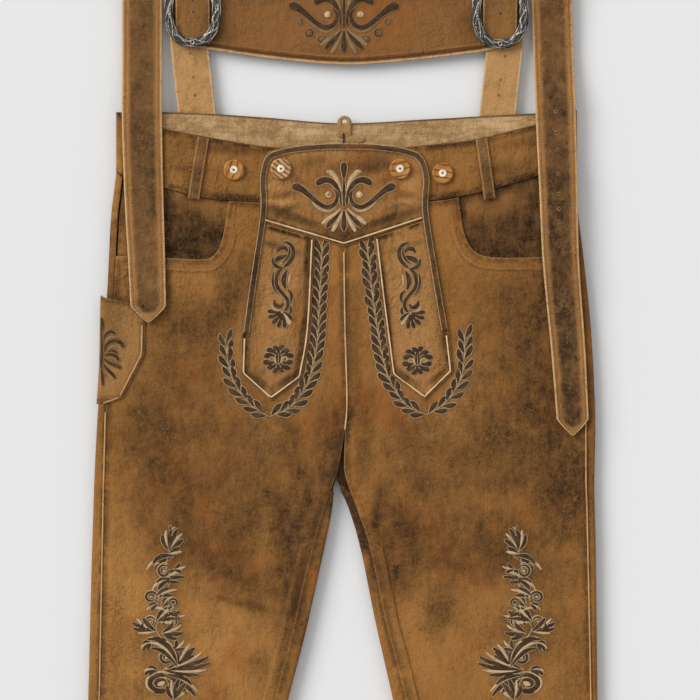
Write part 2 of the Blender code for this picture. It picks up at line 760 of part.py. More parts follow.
def build_side_pocket():
    """The knife pocket: it lies on the front and goes down round the side fold."""
    radius, turned = POCKET_RADIUS * MM, POCKET_TURN
    right = smooth_route(SIDE_POCKET_FRONT, TRIM_SPACING)
    left_top, left_foot = (Vector(p) * MM for p in SIDE_POCKET_SIDE)
    outer, inside = [], []
    for k, edge in enumerate(right):
        start = left_top.lerp(left_foot, k / (len(right) - 1))
        fold = along(LEG_LEFT, edge.y / MM, 1) * MM
        swell = POCKET_SWELL * MM * smooth_step((edge.y / MM + 60) / 80)
        bend = fold - swell + radius - LEATHER - LAID_GAP
        places = [bend - radius * turned * part for part in (1.25, 1, 0.67, 0.33, 0)]
        places += [bend + (edge.x - bend) * part for part in (0.25, 0.5, 0.75, 1)]
        for developed in places:
            share = (developed - places[0]) / (edge.x - places[0])
            y = start.y + (edge.y - start.y) * share
            top = on_pocket(max(developed, bend), y)
            turn = min(max((bend - developed) / radius, 0), turned)
            down = max(bend - developed - radius * turned, 0)
            centre = Vector((min(max(developed, bend), bend), top - radius))
            if developed > bend:
                outer.append((developed, y, top))
                inside.append((developed, y, top - LEATHER))
                continue
            for reach, points in ((radius, outer), (radius - LEATHER, inside)):
                x = centre.x - reach * math.sin(turn)
                points.append((x, y, centre.y + reach * math.cos(turn) - down))
    wall("side_pocket", outer, inside, grid_faces(len(right), 9), "tan")
    piping("side_pocket_piping", SIDE_POCKET_PIPING, on_pocket, spacing=0.013)


def on_pocket(x, y):
    """The outer face of the knife pocket where it lies on the front."""
    return front_height(x, y) + LAID_GAP + LEATHER


def build_side_piping():
    """The pipings down both side seams."""
    for word, leg, top in (("left", LEG_LEFT, -90), ("right", LEG_RIGHT, 58)):
        run = [(along(leg, y, 2), y) for y in row_heights(HEM, top, 60)]
        piping("side_piping_" + word, (run,), front_height, spacing=0.024)


def build_belt_loops():
    """The two belt loops, bowed out from the waistband."""
    for name, (top_x, top_y, foot_x, foot_y, width) in BELT_LOOPS.items():
        start, end = Vector((top_x, top_y)) * MM, Vector((foot_x, foot_y)) * MM
        steps = 9
        line = [start.lerp(end, k / steps) for k in range(steps + 1)]
        points = []
        for k, p in enumerate(ribbon(line, width * MM)):
            share = (k // 2) / steps
            bow = 0.0015 * math.sin(math.pi * share) ** 0.7 if 0 < share < 1 else 0.0
            points.append((p.x, p.y, band_height(p.x, p.y) + SEAM_GAP + LEATHER + bow))
        wall(name, points, lowered(points, LEATHER), ribbon_faces(steps + 1), "tan")


def build_hanger():
    """The hanger at the centre back: a flat leather ring on the inside of the waistband."""
    build = bmesh.new()
    x, half = HANGER["x"] * MM, HANGER["half_width"] * MM
    hole, hole_y = HANGER["hole"] * MM, HANGER["hole_y"] * MM
    z = LEATHER + SEAM_GAP
    sides = 16
    inner, outer = [], []
    for k in range(sides):
        turn = 2 * math.pi * (k + 0.5) / sides
        inner.append((x + hole * math.cos(turn), hole_y + hole * math.sin(turn)))
        reach = half * (0.78 if math.sin(turn) > 0 else 1.0)
        edge_y = hole_y + reach * math.sin(turn)
        if math.sin(turn) < -0.3:
            edge_y = HANGER["foot"] * MM
        outer.append((x + reach * math.cos(turn) * 0.95, edge_y))
    rings = []
    for height in (z, z + LEATHER):
        rings.append(
            [
                [build.verts.new((px, py, height)) for px, py in ring]
                for ring in (inner, outer)
            ]
        )
    for k in range(sides):
        n = (k + 1) % sides
        (low_in, low_out), (high_in, high_out) = rings
        build.faces.new((high_in[k], high_out[k], high_out[n], high_in[n]))
        build.faces.new((low_in[k], low_in[n], low_out[n], low_out[k]))
        build.faces.new((high_out[k], low_out[k], low_out[n], high_out[n]))
        build.faces.new((high_in[n], low_in[n], low_in[k], high_in[k]))
    mesh = bpy.data.meshes.new("hanger_loop")
    build.to_mesh(mesh)
    build.free()
    finish_object("hanger_loop", mesh, "tan")


# ---------------------------------------------------------------------------------------------
# Suspenders


def strap_stations(back, front):
    """Stations along a suspender: x, y, width, which part, and the turn round the fold."""
    stations = []
    turn_y = back[-1][0] - STRAP_FOLD_RADIUS / MM
    for y in row_heights(turn_y, back[0][0], STRAP_STEP):
        stations.append((along(back, y, 1), y, along(back, y, 2), "under", 0.0))
    for k in range(1, 6):
        turn = math.pi * k / 6
        y = turn_y + STRAP_FOLD_RADIUS / MM * math.sin(turn)
        stations.append((back[-1][1], y, back[-1][2], "fold", turn))
    tip = front[-1][0]
    for y in row_heights(tip, turn_y, STRAP_STEP):
        stations.append((along(front, y, 1), y, along(front, y, 2), "over", math.pi))
    for share, width in ((0.5, 0.58), (0.82, 0.26), (1.0, STRAP_POINT_WIDTH / front[-1][2])):
        y = tip - STRAP_POINT * share
        stations.append((front[-1][1], y, front[-1][2] * width, "over", math.pi))
    return stations


def strap_underside(x, y, clearance):
    """The height of a long front's underside."""
    row = y / MM
    if row > BAND_REACH:
        return along(STRAP_HEIGHT, row, 1) * MM
    worn = front_height(x, y) + BAND_PROUD
    on_surface = along(STRAP_HEIGHT, BAND_REACH, 1) * MM
    share = smooth_step((row - BAND_REACH + 16) / 16)
    return (worn + along(clearance, row, 1) * MM) * (1 - share) + max(on_surface, worn) * share


def shoulder_strap(name, back, front, clearance):
    """One suspender, folded over at the shoulder; its outer points are on the grain side."""
    stations = strap_stations(back, front)
    across = 3
    radius = STRAP_FOLD_RADIUS
    outer, inside = [], []
    for k, (x, y, width, part, turn) in enumerate(stations):
        before, after = stations[max(k - 1, 0)], stations[min(k + 1, len(stations) - 1)]
        sign = 1 if part == "under" else -1
        ahead = Vector((after[0] - before[0], after[1] - before[1])).normalized() * sign
        if "fold" in (part, before[3], after[3]):
            ahead = Vector((0.0, 1.0))
        side = Vector((ahead.y, -ahead.x))
        for j in range(across + 1):
            offset = side * width * (j / across - 0.5)
            px, py = (x + offset.x) * MM, (y + offset.y) * MM
            height = radius * (1 - math.cos(turn))
            if part == "over" and before[3] != "fold":
                height = strap_underside(px, py, clearance) + STRAP
            outer.append((px, py, height))
            inside.append((px, py - STRAP * math.sin(turn), height + STRAP * math.cos(turn)))
    return wall(name, outer, inside, grid_faces(len(stations), across + 1), "tan")


def build_suspenders():
    """Both suspenders, the chest bar and the buckles with their tabs."""
    shoulder_strap("shoulder_strap_left", STRAP_BACK_LEFT, STRAP_FRONT_LEFT, STRAP_CLEAR_LEFT)
    shoulder_strap("shoulder_strap_right", STRAP_BACK_RIGHT, STRAP_FRONT_RIGHT, STRAP_CLEAR_RIGHT)
    outline = smooth_outline(BIB_OUTLINE, PANEL_SPACING * 0.9)
    laid_piece("bib", outline, PANEL_SPACING, bib_height, BIB, "tan")
    for word, (x, y) in BUCKLES.items():
        bib_tab("bib_tab_" + word, x, y, word)
        buckle("buckle_" + word, x, y)


def bib_tab(name, x, y, word):
    """A punched tab: on the bib at its foot, over the buckle's top bar and down to the strap."""
    back = STRAP_BACK_LEFT if word == "left" else STRAP_BACK_RIGHT
    steps = [row[0] for row in TAB_HEIGHT]
    line = []
    for low, high in zip(steps, steps[1:]):
        pieces = max(1, round((high - low) / 9))
        line += [low + (high - low) * k / pieces for k in range(pieces)]
    line.append(steps[-1])
    points = []
    for up in line:
        lean = smooth_step((up - 20) / 60)
        centre = x + (along(back, y + up, 1) - x) * lean
        height = along(TAB_HEIGHT, up, 1) * MM + LEATHER
        for side in (-0.5, -0.17, 0.17, 0.5):
            points.append(((centre + TAB_WIDTH * side) * MM, (y + up) * MM, height))
    faces = [tuple(reversed(f)) for f in grid_faces(len(line), 4)]
    return wall(name, points, lowered(points, LEATHER), faces, "tan")


def buckle(name, x, y):
    """A cast oval frame with a lobed rim."""
    section = 6
    build = bmesh.new()
    rings = []
    for k in range(BUCKLE_STEPS):
        turn = 2 * math.pi * k / BUCKLE_STEPS
        lobe = 0.5 + 0.5 * math.cos(BUCKLE_LOBES * turn)
        band = BUCKLE_BAND + 1.2 * (lobe - 0.5)
        # A superellipse, squarer than a plain oval.
        cos, sin = math.cos(turn), math.sin(turn)
        flat = (abs(cos) ** 2.4 + abs(sin) ** 2.4) ** (-1 / 2.4)
        middle_x = (BUCKLE_HALF_WIDTH - BUCKLE_BAND / 2) * cos * flat
        middle_y = (BUCKLE_HALF_HEIGHT - BUCKLE_BAND / 2) * sin * flat
        away = Vector((cos / BUCKLE_HALF_WIDTH, sin / BUCKLE_HALF_HEIGHT)).normalized()
        ring = []
        for j in range(section):
            angle = 2 * math.pi * (j + 0.5) / section
            out = away * (band / 2) * math.cos(angle)
            height = BUCKLE_HEIGHT + BUCKLE_THICK / 2 * (1 + math.sin(angle))
            place = ((x + middle_x + out.x) * MM, (y + middle_y + out.y) * MM, height * MM)
            ring.append(build.verts.new(place))
        rings.append(ring)
    for k in range(BUCKLE_STEPS):
        after = rings[(k + 1) % BUCKLE_STEPS]
        for j in range(section):
            n = (j + 1) % section
            build.faces.new((rings[k][j], after[j], after[n], rings[k][n]))
    bmesh.ops.recalc_face_normals(build, faces=build.faces)
    mesh = bpy.data.meshes.new(name)
    build.to_mesh(mesh)
    build.free()
    return finish_object(name, mesh, "silver")


# ---------------------------------------------------------------------------------------------
# Buttons


def button(name, x, y, seat):
    """A turned horn disc with a raised rim and a dished face."""
    r, h = BUTTON_RADIUS, BUTTON_HEIGHT
    profile = (
        (r * 0.80, 0.0), (r * 0.96, h * 0.22), (r, h * 0.5), (r * 0.96, h * 0.85),
        (r * 0.86, h), (r * 0.70, h * 0.86), (r * 0.40, h * 0.78),
    )
    sides = 20
    build = bmesh.new()
    rings = [
        [
            build.verts.new((
                x + radius * math.cos(2 * math.pi * k / sides),
                y + radius * math.sin(2 * math.pi * k / sides),
                seat + height,
            ))
            for k in range(sides)
        ]
        for radius, height in profile
    ]
    for low, high in zip(rings, rings[1:]):
        for k in range(sides):
            n = (k + 1) % sides
            build.faces.new((low[k], low[n], high[n], high[k]))
    build.faces.new(rings[0][::-1])
    build.faces.new(rings[-1])
    mesh = bpy.data.meshes.new(name)
    build.to_mesh(mesh)
    build.free()
    return finish_object(name, mesh, "horn")


def build_buttons():
    """The four buttons, each seated clear of the leather round it."""
    for name, (x, y) in BUTTONS.items():
        on = flap_height if "inner" in name else band_height
        reach = BUTTON_RADIUS * 0.8
        around = [(0, 0), (reach, 0), (-reach, 0), (0, reach), (0, -reach)]
        seat = max(on(x * MM + dx, y * MM + dy) for dx, dy in around) + BUTTON_GAP
        button(name, x * MM, y * MM, seat)


def main():
    """Clear the scene and build every piece."""
    for obj in list(bpy.data.objects):
        bpy.data.objects.remove(obj, do_unlink=True)
    build_body()
    build_flap()
    build_side_pocket()
    build_side_piping()
    build_belt_loops()
    build_hanger()
    build_suspenders()
    build_buttons()


main()
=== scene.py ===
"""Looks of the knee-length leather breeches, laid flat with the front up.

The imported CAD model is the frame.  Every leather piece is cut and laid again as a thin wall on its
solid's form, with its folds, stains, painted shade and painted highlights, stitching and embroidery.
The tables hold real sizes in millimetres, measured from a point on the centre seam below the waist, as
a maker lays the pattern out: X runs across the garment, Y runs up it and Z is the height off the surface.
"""

from __future__ import annotations

import logging
import math
from dataclasses import dataclass, field
from enum import Enum
from typing import Callable, Iterable, Sequence

import bpy
import numpy as np
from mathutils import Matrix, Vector
from mathutils.geometry import delaunay_2d_cdt

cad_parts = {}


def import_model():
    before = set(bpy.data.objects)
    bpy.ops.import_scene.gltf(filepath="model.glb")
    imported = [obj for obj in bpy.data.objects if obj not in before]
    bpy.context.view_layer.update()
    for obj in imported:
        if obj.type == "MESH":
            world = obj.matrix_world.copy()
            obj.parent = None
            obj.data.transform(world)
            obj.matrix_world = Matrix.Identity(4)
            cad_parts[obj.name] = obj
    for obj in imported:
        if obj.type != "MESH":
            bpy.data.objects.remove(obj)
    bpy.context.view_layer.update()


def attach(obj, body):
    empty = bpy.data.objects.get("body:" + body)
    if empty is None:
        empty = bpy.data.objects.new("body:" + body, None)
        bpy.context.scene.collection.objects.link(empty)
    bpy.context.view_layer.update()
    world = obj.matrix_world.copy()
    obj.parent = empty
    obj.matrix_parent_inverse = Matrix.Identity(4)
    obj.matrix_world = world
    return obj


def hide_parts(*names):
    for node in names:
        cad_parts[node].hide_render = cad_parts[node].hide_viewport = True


log = logging.getLogger("breeches")

Array = np.ndarray
Height = Callable[[Array, Array], Array]
Run = Sequence[Sequence[float]]
Piece = bpy.types.Object
Material = bpy.types.Material
Node = bpy.types.Node
Socket = bpy.types.NodeSocket
Pair = tuple[float, float]
Triple = tuple[float, float, float]
Value = Socket | float

MM = 0.001
# The middle of the garment lies this far up from the tables' zero, in mm.
MIDDLE_Y = 43.0

# Leather and clearances, in mm.
LEATHER = 1.8
FACING = 1.2
STRAP = 2.6
BIB = 2.2
BINDING = 1.0
BAND_PROUD = 0.8
SEAM_GAP = 0.3
LAID_GAP = 0.6
PANEL_GAP = 0.4
PIPING_RADIUS = 1.0
FRONT_BASE = LEATHER + PANEL_GAP + LEATHER

# Mesh spacings, in mm, and how far apart an even triangle's rows are for a side of 1.
PANEL_SPACING = 4.0
TRIM_SPACING = 2.6
ROW_STEP = 7.0
TRIANGLE_ROWS = 0.866
# Cut edges, in mm: how far in they are rounded, how far in the stitches run and half their
# groove's width, the rows of points kept along an edge, and where a place counts as far from it.
EDGE_ROUND = 1.6
STITCH_INSET = 3.4
GROOVE_HALF = 1.2
EDGE_ROWS = (1.0, 3.4)
FAR_IN = 30.0
# Roundness at the side seams and at the inseams, in mm: reach and rise.
SIDE_ROUNDNESS = (16.0, 2.0)
INSEAM_ROUNDNESS = (12.0, 1.6)
# The share of a fold's hollow that shows, and how much a suspender's end presses through.
HOLLOW_SHARE = 0.3
PRESSED_THROUGH = 1.25

# Legs.  Columns, in mm: y, side fold, side seam, inseam, inner fold.
LEG_LEFT = (
    (176, -226, -219, 2.5, 1.3),
    (148, -226, -219, 2.5, 1.3),
    (104, -231, -224, 2.3, 1.3),
    (28, -235, -228, 2.6, 1.3),
    (-38, -240, -233, 4.0, 1.3),
    (-80, -243.5, -236, 5.0, 1.3),
    (-110, -245.5, -237, 3.0, 1.3),
    (-150, -247.5, -238, -4.2, -3.0),
    (-162, -248, -238.4, -8.0, -6.6),
    (-193, -249, -239, -20.0, -10.5),
    (-246, -250.7, -240, -34.5, -21.5),
    (-315, -252.4, -241.4, -50.5, -37.0),
    (-380, -254, -242.7, -67.5, -54.0),
    (-530, -258, -247, -107.0, -93.0),
)
LEG_RIGHT = (
    (176, 235, 228, 2.5, 1.7),
    (148, 235, 228, 2.5, 1.7),
    (117, 235.5, 229, 2.3, 1.7),
    (60, 242, 234.5, 2.3, 1.7),
    (-7, 249, 241, 3.0, 1.7),
    (-80, 253, 243.5, 5.0, 1.7),
    (-110, 253.5, 243.8, 3.0, 1.7),
    (-150, 252.7, 244, 2.0, -2.7),
    (-162, 252.5, 244, 4.8, -5.6),
    (-184, 252.8, 244.8, 13.0, 5.0),
    (-225, 253.8, 245.7, 27.0, 17.6),
    (-300, 254.8, 247.4, 43.0, 33.0),
    (-380, 255.6, 248.8, 63.5, 51.0),
    (-530, 258, 251, 95.0, 83.0),
)
LEG_TOP = 148.0
HEM = -530.0
CROTCH = -110.0
INNER_FOLD_TOP = -164.0

# Waistband.  Columns, in mm: x, back top, front top, bottom.
WAISTBAND = (
    (-226, 208, 208, 148),
    (-219, 208, 203, 143),
    (-179, 208, 191.5, 132),
    (-135, 206.5, 183, 121.5),
    (-80, 203, 174, 118),
    (0, 197, 170, 117),
    (86, 201, 175, 118.5),
    (141, 204, 182, 128),
    (195, 207, 196, 144),
    (228, 209, 204, 152),
    (235, 210, 210, 155),
)
CENTRE_FRONT = ((118, 2.3), (73, 2.0), (-5, 3.0), (-80, 5.0), (-110, 3.0))
CENTRE_PIPING_TOP = 68.0
BAND_SEAM_LEFT = -219.0
BAND_SEAM_RIGHT = 228.0

# Pocket mouths, from the waistband down and out to the side seam, in mm.
POCKET_MOUTH_LEFT = ((-113, 119), (-120, 80), (-129, 64), (-142, 60.5), (-175, 62), (-229, 64))
POCKET_MOUTH_RIGHT = (
    (116.5, 122), (118.6, 106), (121.4, 90), (127.6, 74.5), (138.5, 65.2), (157, 62.3), (199, 62.6),
    (234.5, 63),
)
FACING_MARGIN = 10.0
# Fullness boxes.  Columns, in mm: lowest x, highest x, lowest y, highest y, rise, soft edge.
FULLNESS = ((-226, -100, 44, 136, 2.2, 34), (104, 236, 44, 142, 2.2, 34))
# The suspenders' ends under the back waistband.  Columns, in mm: centre x, half width, low y, rise.
STRAP_ENDS = ((-143, 24, 157, 3.0), (154, 24, 157, 3.0))
# How softly their sides end, in mm, and how much sharper their lower ends are.
STRAP_END_SOFT = 16.0
STRAP_FOOT_SHARP = 1.6

# Soft folds of the laid leather.  Columns, in mm: start x, start y, end x, end y, half width, rise.
FOLDS = (
    (-18, -150, -92, -470, 8, 1.3),
    (-36, -190, -112, -500, 9, -0.7),
    (24, -165, 84, -470, 8, 1.3),
    (42, -190, 104, -500, 9, -0.7),
    (-20, -108, -8, -152, 6, 1.2),
    (10, -112, 26, -176, 6, 1.0),
    (-60, -120, -20, -96, 10, 0.8),
    (68, -118, 22, -96, 10, 0.8),
    (-226, -84, -150, -60, 10, 1.0),
    (-224, 118, -218, 26, 7, 1.2),
    (-205, -150, -160, -420, 20, 0.9),
    (205, -120, 168, -420, 22, 0.9),
    (-150, -130, -60, -210, 24, 0.7),
    (150, -130, 70, -215, 24, 0.7),
    (206, 110, 188, 62, 8, 1.0),
    (-235, -300, -226, -500, 10, 0.8),
    (240, -200, 232, -480, 10, 0.8),
)
# Finer creases.  Columns, in mm: start x, start y, end x, end y, bow sideways, half width, rise.
CREASES = (
    (-21, -150, -84, -410, -3, 3.0, 0.8),
    (-27, -158, -95, -430, 2, 2.6, -0.7),
    (-33, -170, -104, -450, -2, 3.2, 0.7),
    (-42, -196, -112, -440, 3, 3.4, -0.5),
    (27, -168, 76, -420, 3, 3.0, 0.8),
    (34, -176, 86, -430, -2, 2.6, -0.7),
    (41, -188, 96, -450, 2, 3.2, 0.7),
    (52, -214, 104, -440, -3, 3.4, -0.5),
    (-19, -104, -9, -150, -2, 3.2, 1.0),
    (-12, -102, -4, -146, 1, 2.4, -0.9),
    (-30, -104, -20, -160, -3, 4.0, 0.6),
    (9, -106, 20, -160, 2, 3.2, 1.0),
    (15, -100, 30, -150, 3, 3.0, -0.7),
    (24, -98, 46, -140, 4, 4.0, 0.6),
    (-218, -86, -196, -112, 4, 3.0, 1.1),
    (-212, -84, -180, -98, 3, 3.4, 0.8),
    (-232, -104, -214, -150, -3, 4.0, 0.9),
    (-196, 58, -150, 40, 4, 5.0, 0.6),
    (-224, 50, -214, 10, -2, 3.2, 0.9),
    (-219, 44, -206, 14, 2, 3.0, -0.6),
    (-110, 44, -132, 4, 5, 6.0, 0.7),
    (-122, 52, -150, 24, 4, 5.0, 0.5),
    (118, 42, 134, 2, -5, 6.0, 0.7),
    (138, 52, 170, 30, -4, 5.0, 0.5),
    (184, 46, 214, 8, 4, 6.0, 0.6),
    (-206, -180, -176, -250, 6, 9.0, 0.6),
    (-150, -220, -96, -262, 8, 9.0, 0.6),
    (-120, -290, -190, -330, 7, 10.0, 0.6),
    (-168, -372, -226, -402, 6, 8.0, 0.6),
    (96, -232, 150, -190, -8, 9.0, 0.6),
    (126, -304, 196, -330, -7, 10.0, 0.6),
    (206, -170, 180, -240, -6, 9.0, 0.6),
    (150, -392, 214, -420, 6, 8.0, 0.6),
    (-88, -112, -140, -150, 6, 7.0, 0.6),
    (92, -110, 142, -146, -6, 7.0, 0.6),
    (-229, -200, -222, -330, 2, 4.0, 0.7),
    (-236, -240, -231, -420, -2, 3.2, 0.6),
    (236, -120, 232, -300, 2, 4.0, 0.6),
    (-75, 119, -50, 112, 2, 2.8, 1.5),
    (-71, 105, -42, 118, -2, 2.8, 1.4),
    (-52, 108, -24, 98, 1, 2.8, 1.2),
    (-77, 134, -60, 127, 1, 2.8, 0.6),
    (-44, 158, -20, 150, 2, 3.0, 0.6),
    (34, 105, 62, 119, -2, 2.8, 1.4),
    (52, 129, 79, 112, 2, 2.8, 1.5),
    (26, 98, 52, 108, 1, 2.8, 1.1),
    (60, 142, 78, 132, -1, 2.8, 0.6),
    (14, 160, 42, 149, 2, 3.2, 0.6),
    (-130, 162, -124, 126, 2, 3.0, 0.7),
    (-104, 138, -86, 127, 2, 3.0, 0.7),
    (-196, 158, -160, 136, 3, 3.4, 0.6),
    (96, 142, 112, 124, 2, 3.0, 0.7),
    (112, 138, 134, 130, -1, 3.0, 0.6),
    (160, 170, 196, 150, -3, 3.6, 0.8),
    (156, 150, 190, 141, 2, 3.0, 0.5),
    (193, 130, 177, 72, 3, 4.0, 1.3),
    (142, 118, 120, 92, 3, 4.0, 0.8),
    (-176, 108, -150, 92, -3, 4.0, 0.8),
    (-160, 120, -128, 96, 3, 4.0, 0.7),
)

# Flap and tongues, in mm; each list of points is one smooth run between corners.
FLAP_TOP = (
    ((-80, 99), (-82.5, 120), (-82, 140), (-78.5, 160), (-74, 168.5)),
    ((-74, 168.5), (-55, 173), (-20, 176), (4, 176.5), (28, 176), (60, 173), (78, 168)),
    ((78, 168), (84, 158), (88, 140), (87, 120), (84, 102)),
    ((84, 102), (2, 73.5)),
    ((2, 73.5), (-80, 99)),
)
TONGUE_LEFT = (
    ((-27, 82), (-32, -8), (-40, -58)),
    ((-40, -58), (-71, -81)),
    ((-71, -81), (-101.5, -54)),
    ((-101.5, -54), (-100, -12), (-91, 40), (-82, 97.5)),
    ((-82, 97.5), (-27, 82)),
)
TONGUE_RIGHT = (
    ((32, 83), (86, 101)),
    ((86, 101), (97, 42), (106, -8), (111.5, -52)),
    ((111.5, -52), (82.5, -80)),
    ((82.5, -80), (49.5, -55)),
    ((49.5, -55), (40, 18), (32, 83)),
)
TONGUE_PIPING_LEFT = (
    ((-30, 80), (-34.5, -8), (-42.5, -56.5)),
    ((-42.5, -56.5), (-71, -77.5)),
    ((-71, -77.5), (-98.5, -53)),
    ((-98.5, -53), (-97.4, -18.5)),
)
TONGUE_PIPING_RIGHT = (
    ((35, 81), (42.5, 18), (52, -54)),
    ((52, -54), (82.5, -76.5)),
    ((82.5, -76.5), (108.5, -51)),
    ((108.5, -51), (104.4, -15.5)),
)
FLAP_PIPING = (((-76.5, 100), (2, 76.7)), ((2, 76.7), (80.5, 102.5)))
FLAP_BINDING = (
    ((-95.8, -13), (-87.5, 45), (-78.5, 108), (-79, 140), (-75.5, 158), (-70, 165)),
    ((-70, 165), (-50, 170), (-20, 173), (4, 173.5), (28, 173), (56, 170), (74, 165)),
    ((74, 165), (80.5, 157), (84.3, 140), (83.3, 108), (93, 45), (102.6, -10)),
)
BINDING_WIDTH = 6.2

# The knife pocket: its piped front edge, and its line down the side fold, in mm.
SIDE_POCKET_FRONT = (
    ((-212, 16.3), (-197, 0)),
    ((-197, 0), (-198, -35)),
    ((-198, -35), (-220, -78)),
)
SIDE_POCKET_SIDE = ((-252, 24.5), (-252, -84))
POCKET_RADIUS = 5.6
POCKET_TURN = 1.4
POCKET_SWELL = 3.5
SIDE_POCKET_PIPING = (((-199.7, -5), (-200.5, -34.5)), ((-200.5, -34.5), (-221.5, -75.5)))

# Belt loops.  Columns, in mm: top x, top y, foot x, foot y, width.
BELT_LOOPS = {
    "left": (-138.5, 182.5, -148.5, 121, 11.5),
    "right": (139.3, 181, 147.7, 121, 11.5),
}

# Suspenders, from the hidden end up over the fold and down to the tip.  Columns: y, centre x, width.
STRAP_BACK_LEFT = (
    (160, -139.8, 37), (207, -145.3, 37), (270, -152.4, 37), (350, -161, 37.5),
    (470, -179, 38.5), (570, -188, 40), (616, -189.5, 40),
)
STRAP_FRONT_LEFT = (
    (616, -189.5, 40), (570, -191, 40), (470, -195.3, 40), (350, -199.5, 40), (270, -200, 40),
    (190, -199.7, 40), (110, -197.3, 38.5), (60, -195.2, 37), (14, -193.5, 35.6),
)
STRAP_BACK_RIGHT = (
    (160, 150.8, 36), (207, 155.8, 36), (267, 162.2, 36), (350, 171, 37),
    (440, 184, 38.5), (520, 194, 40), (566, 196, 40),
)
STRAP_FRONT_RIGHT = (
    (566, 196, 40), (520, 197.5, 40), (440, 203, 40), (350, 208.5, 40.2), (220, 213, 40.2),
    (140, 215.8, 38.5), (60, 218.5, 36.3), (-30, 226, 34), (-99, 230.5, 31.8),
)
STRAP_POINT = 16.5
STRAP_FOLD_RADIUS = 3.4
BAND_REACH = 212.0
# How high the long fronts' undersides lie.  Columns, in mm: y, height off the surface.
STRAP_HEIGHT = (
    (620, 4.2), (530, 4.6), (440, 5.5), (350, 5.5), (300, 3.0), (272, 1.8), (244, 4.6), (224, 8.8),
    (212, 9.2),
)
# How far they clear the front.  Columns, in mm: y, clearance.
STRAP_CLEAR_LEFT = ((212, 2.0), (120, 0.8), (50, 0.8), (26, 3.0), (-20, 3.4))
STRAP_CLEAR_RIGHT = ((212, 2.2), (160, 1.8), (100, 3.0), (-120, 3.0))

# Chest bar, in mm.
BIB_OUTLINE = (
    ((-172, 352), (-174, 320), (-170, 292), (-158, 276), (-135, 271)),
    ((-135, 271), (-73, 262), (2, 255.6), (70, 260), (138.5, 268)),
    ((138.5, 268), (165, 275), (178, 292), (182, 320), (180, 354)),
    ((180, 354), (100, 347), (2, 343), (-90, 346), (-172, 352)),
)
BIB_SAG = 1.3
BIB_LIFT = 3.0

BUCKLES = {"left": (-149.3, 309.0), "right": (158.0, 307.5)}
TAB_WIDTH = 34.0
# Columns, in mm: y above the buckle's centre, height of the tab's underside.
TAB_HEIGHT = (
    (-33, 5.9), (-24, 5.9), (-12, 6.0), (2, 7.6), (14, 11.4), (24, 13.6), (34, 13.7),
    (44, 11.4), (54, 5.6), (64, 3.3), (90, 3.1), (128, 3.1),
)
BUTTONS = {
    "button_outer_left": (-108.0, 150.0),
    "button_inner_left": (-61.0, 151.0),
    "button_inner_right": (58.0, 151.0),
    "button_outer_right": (100.6, 146.6),
}
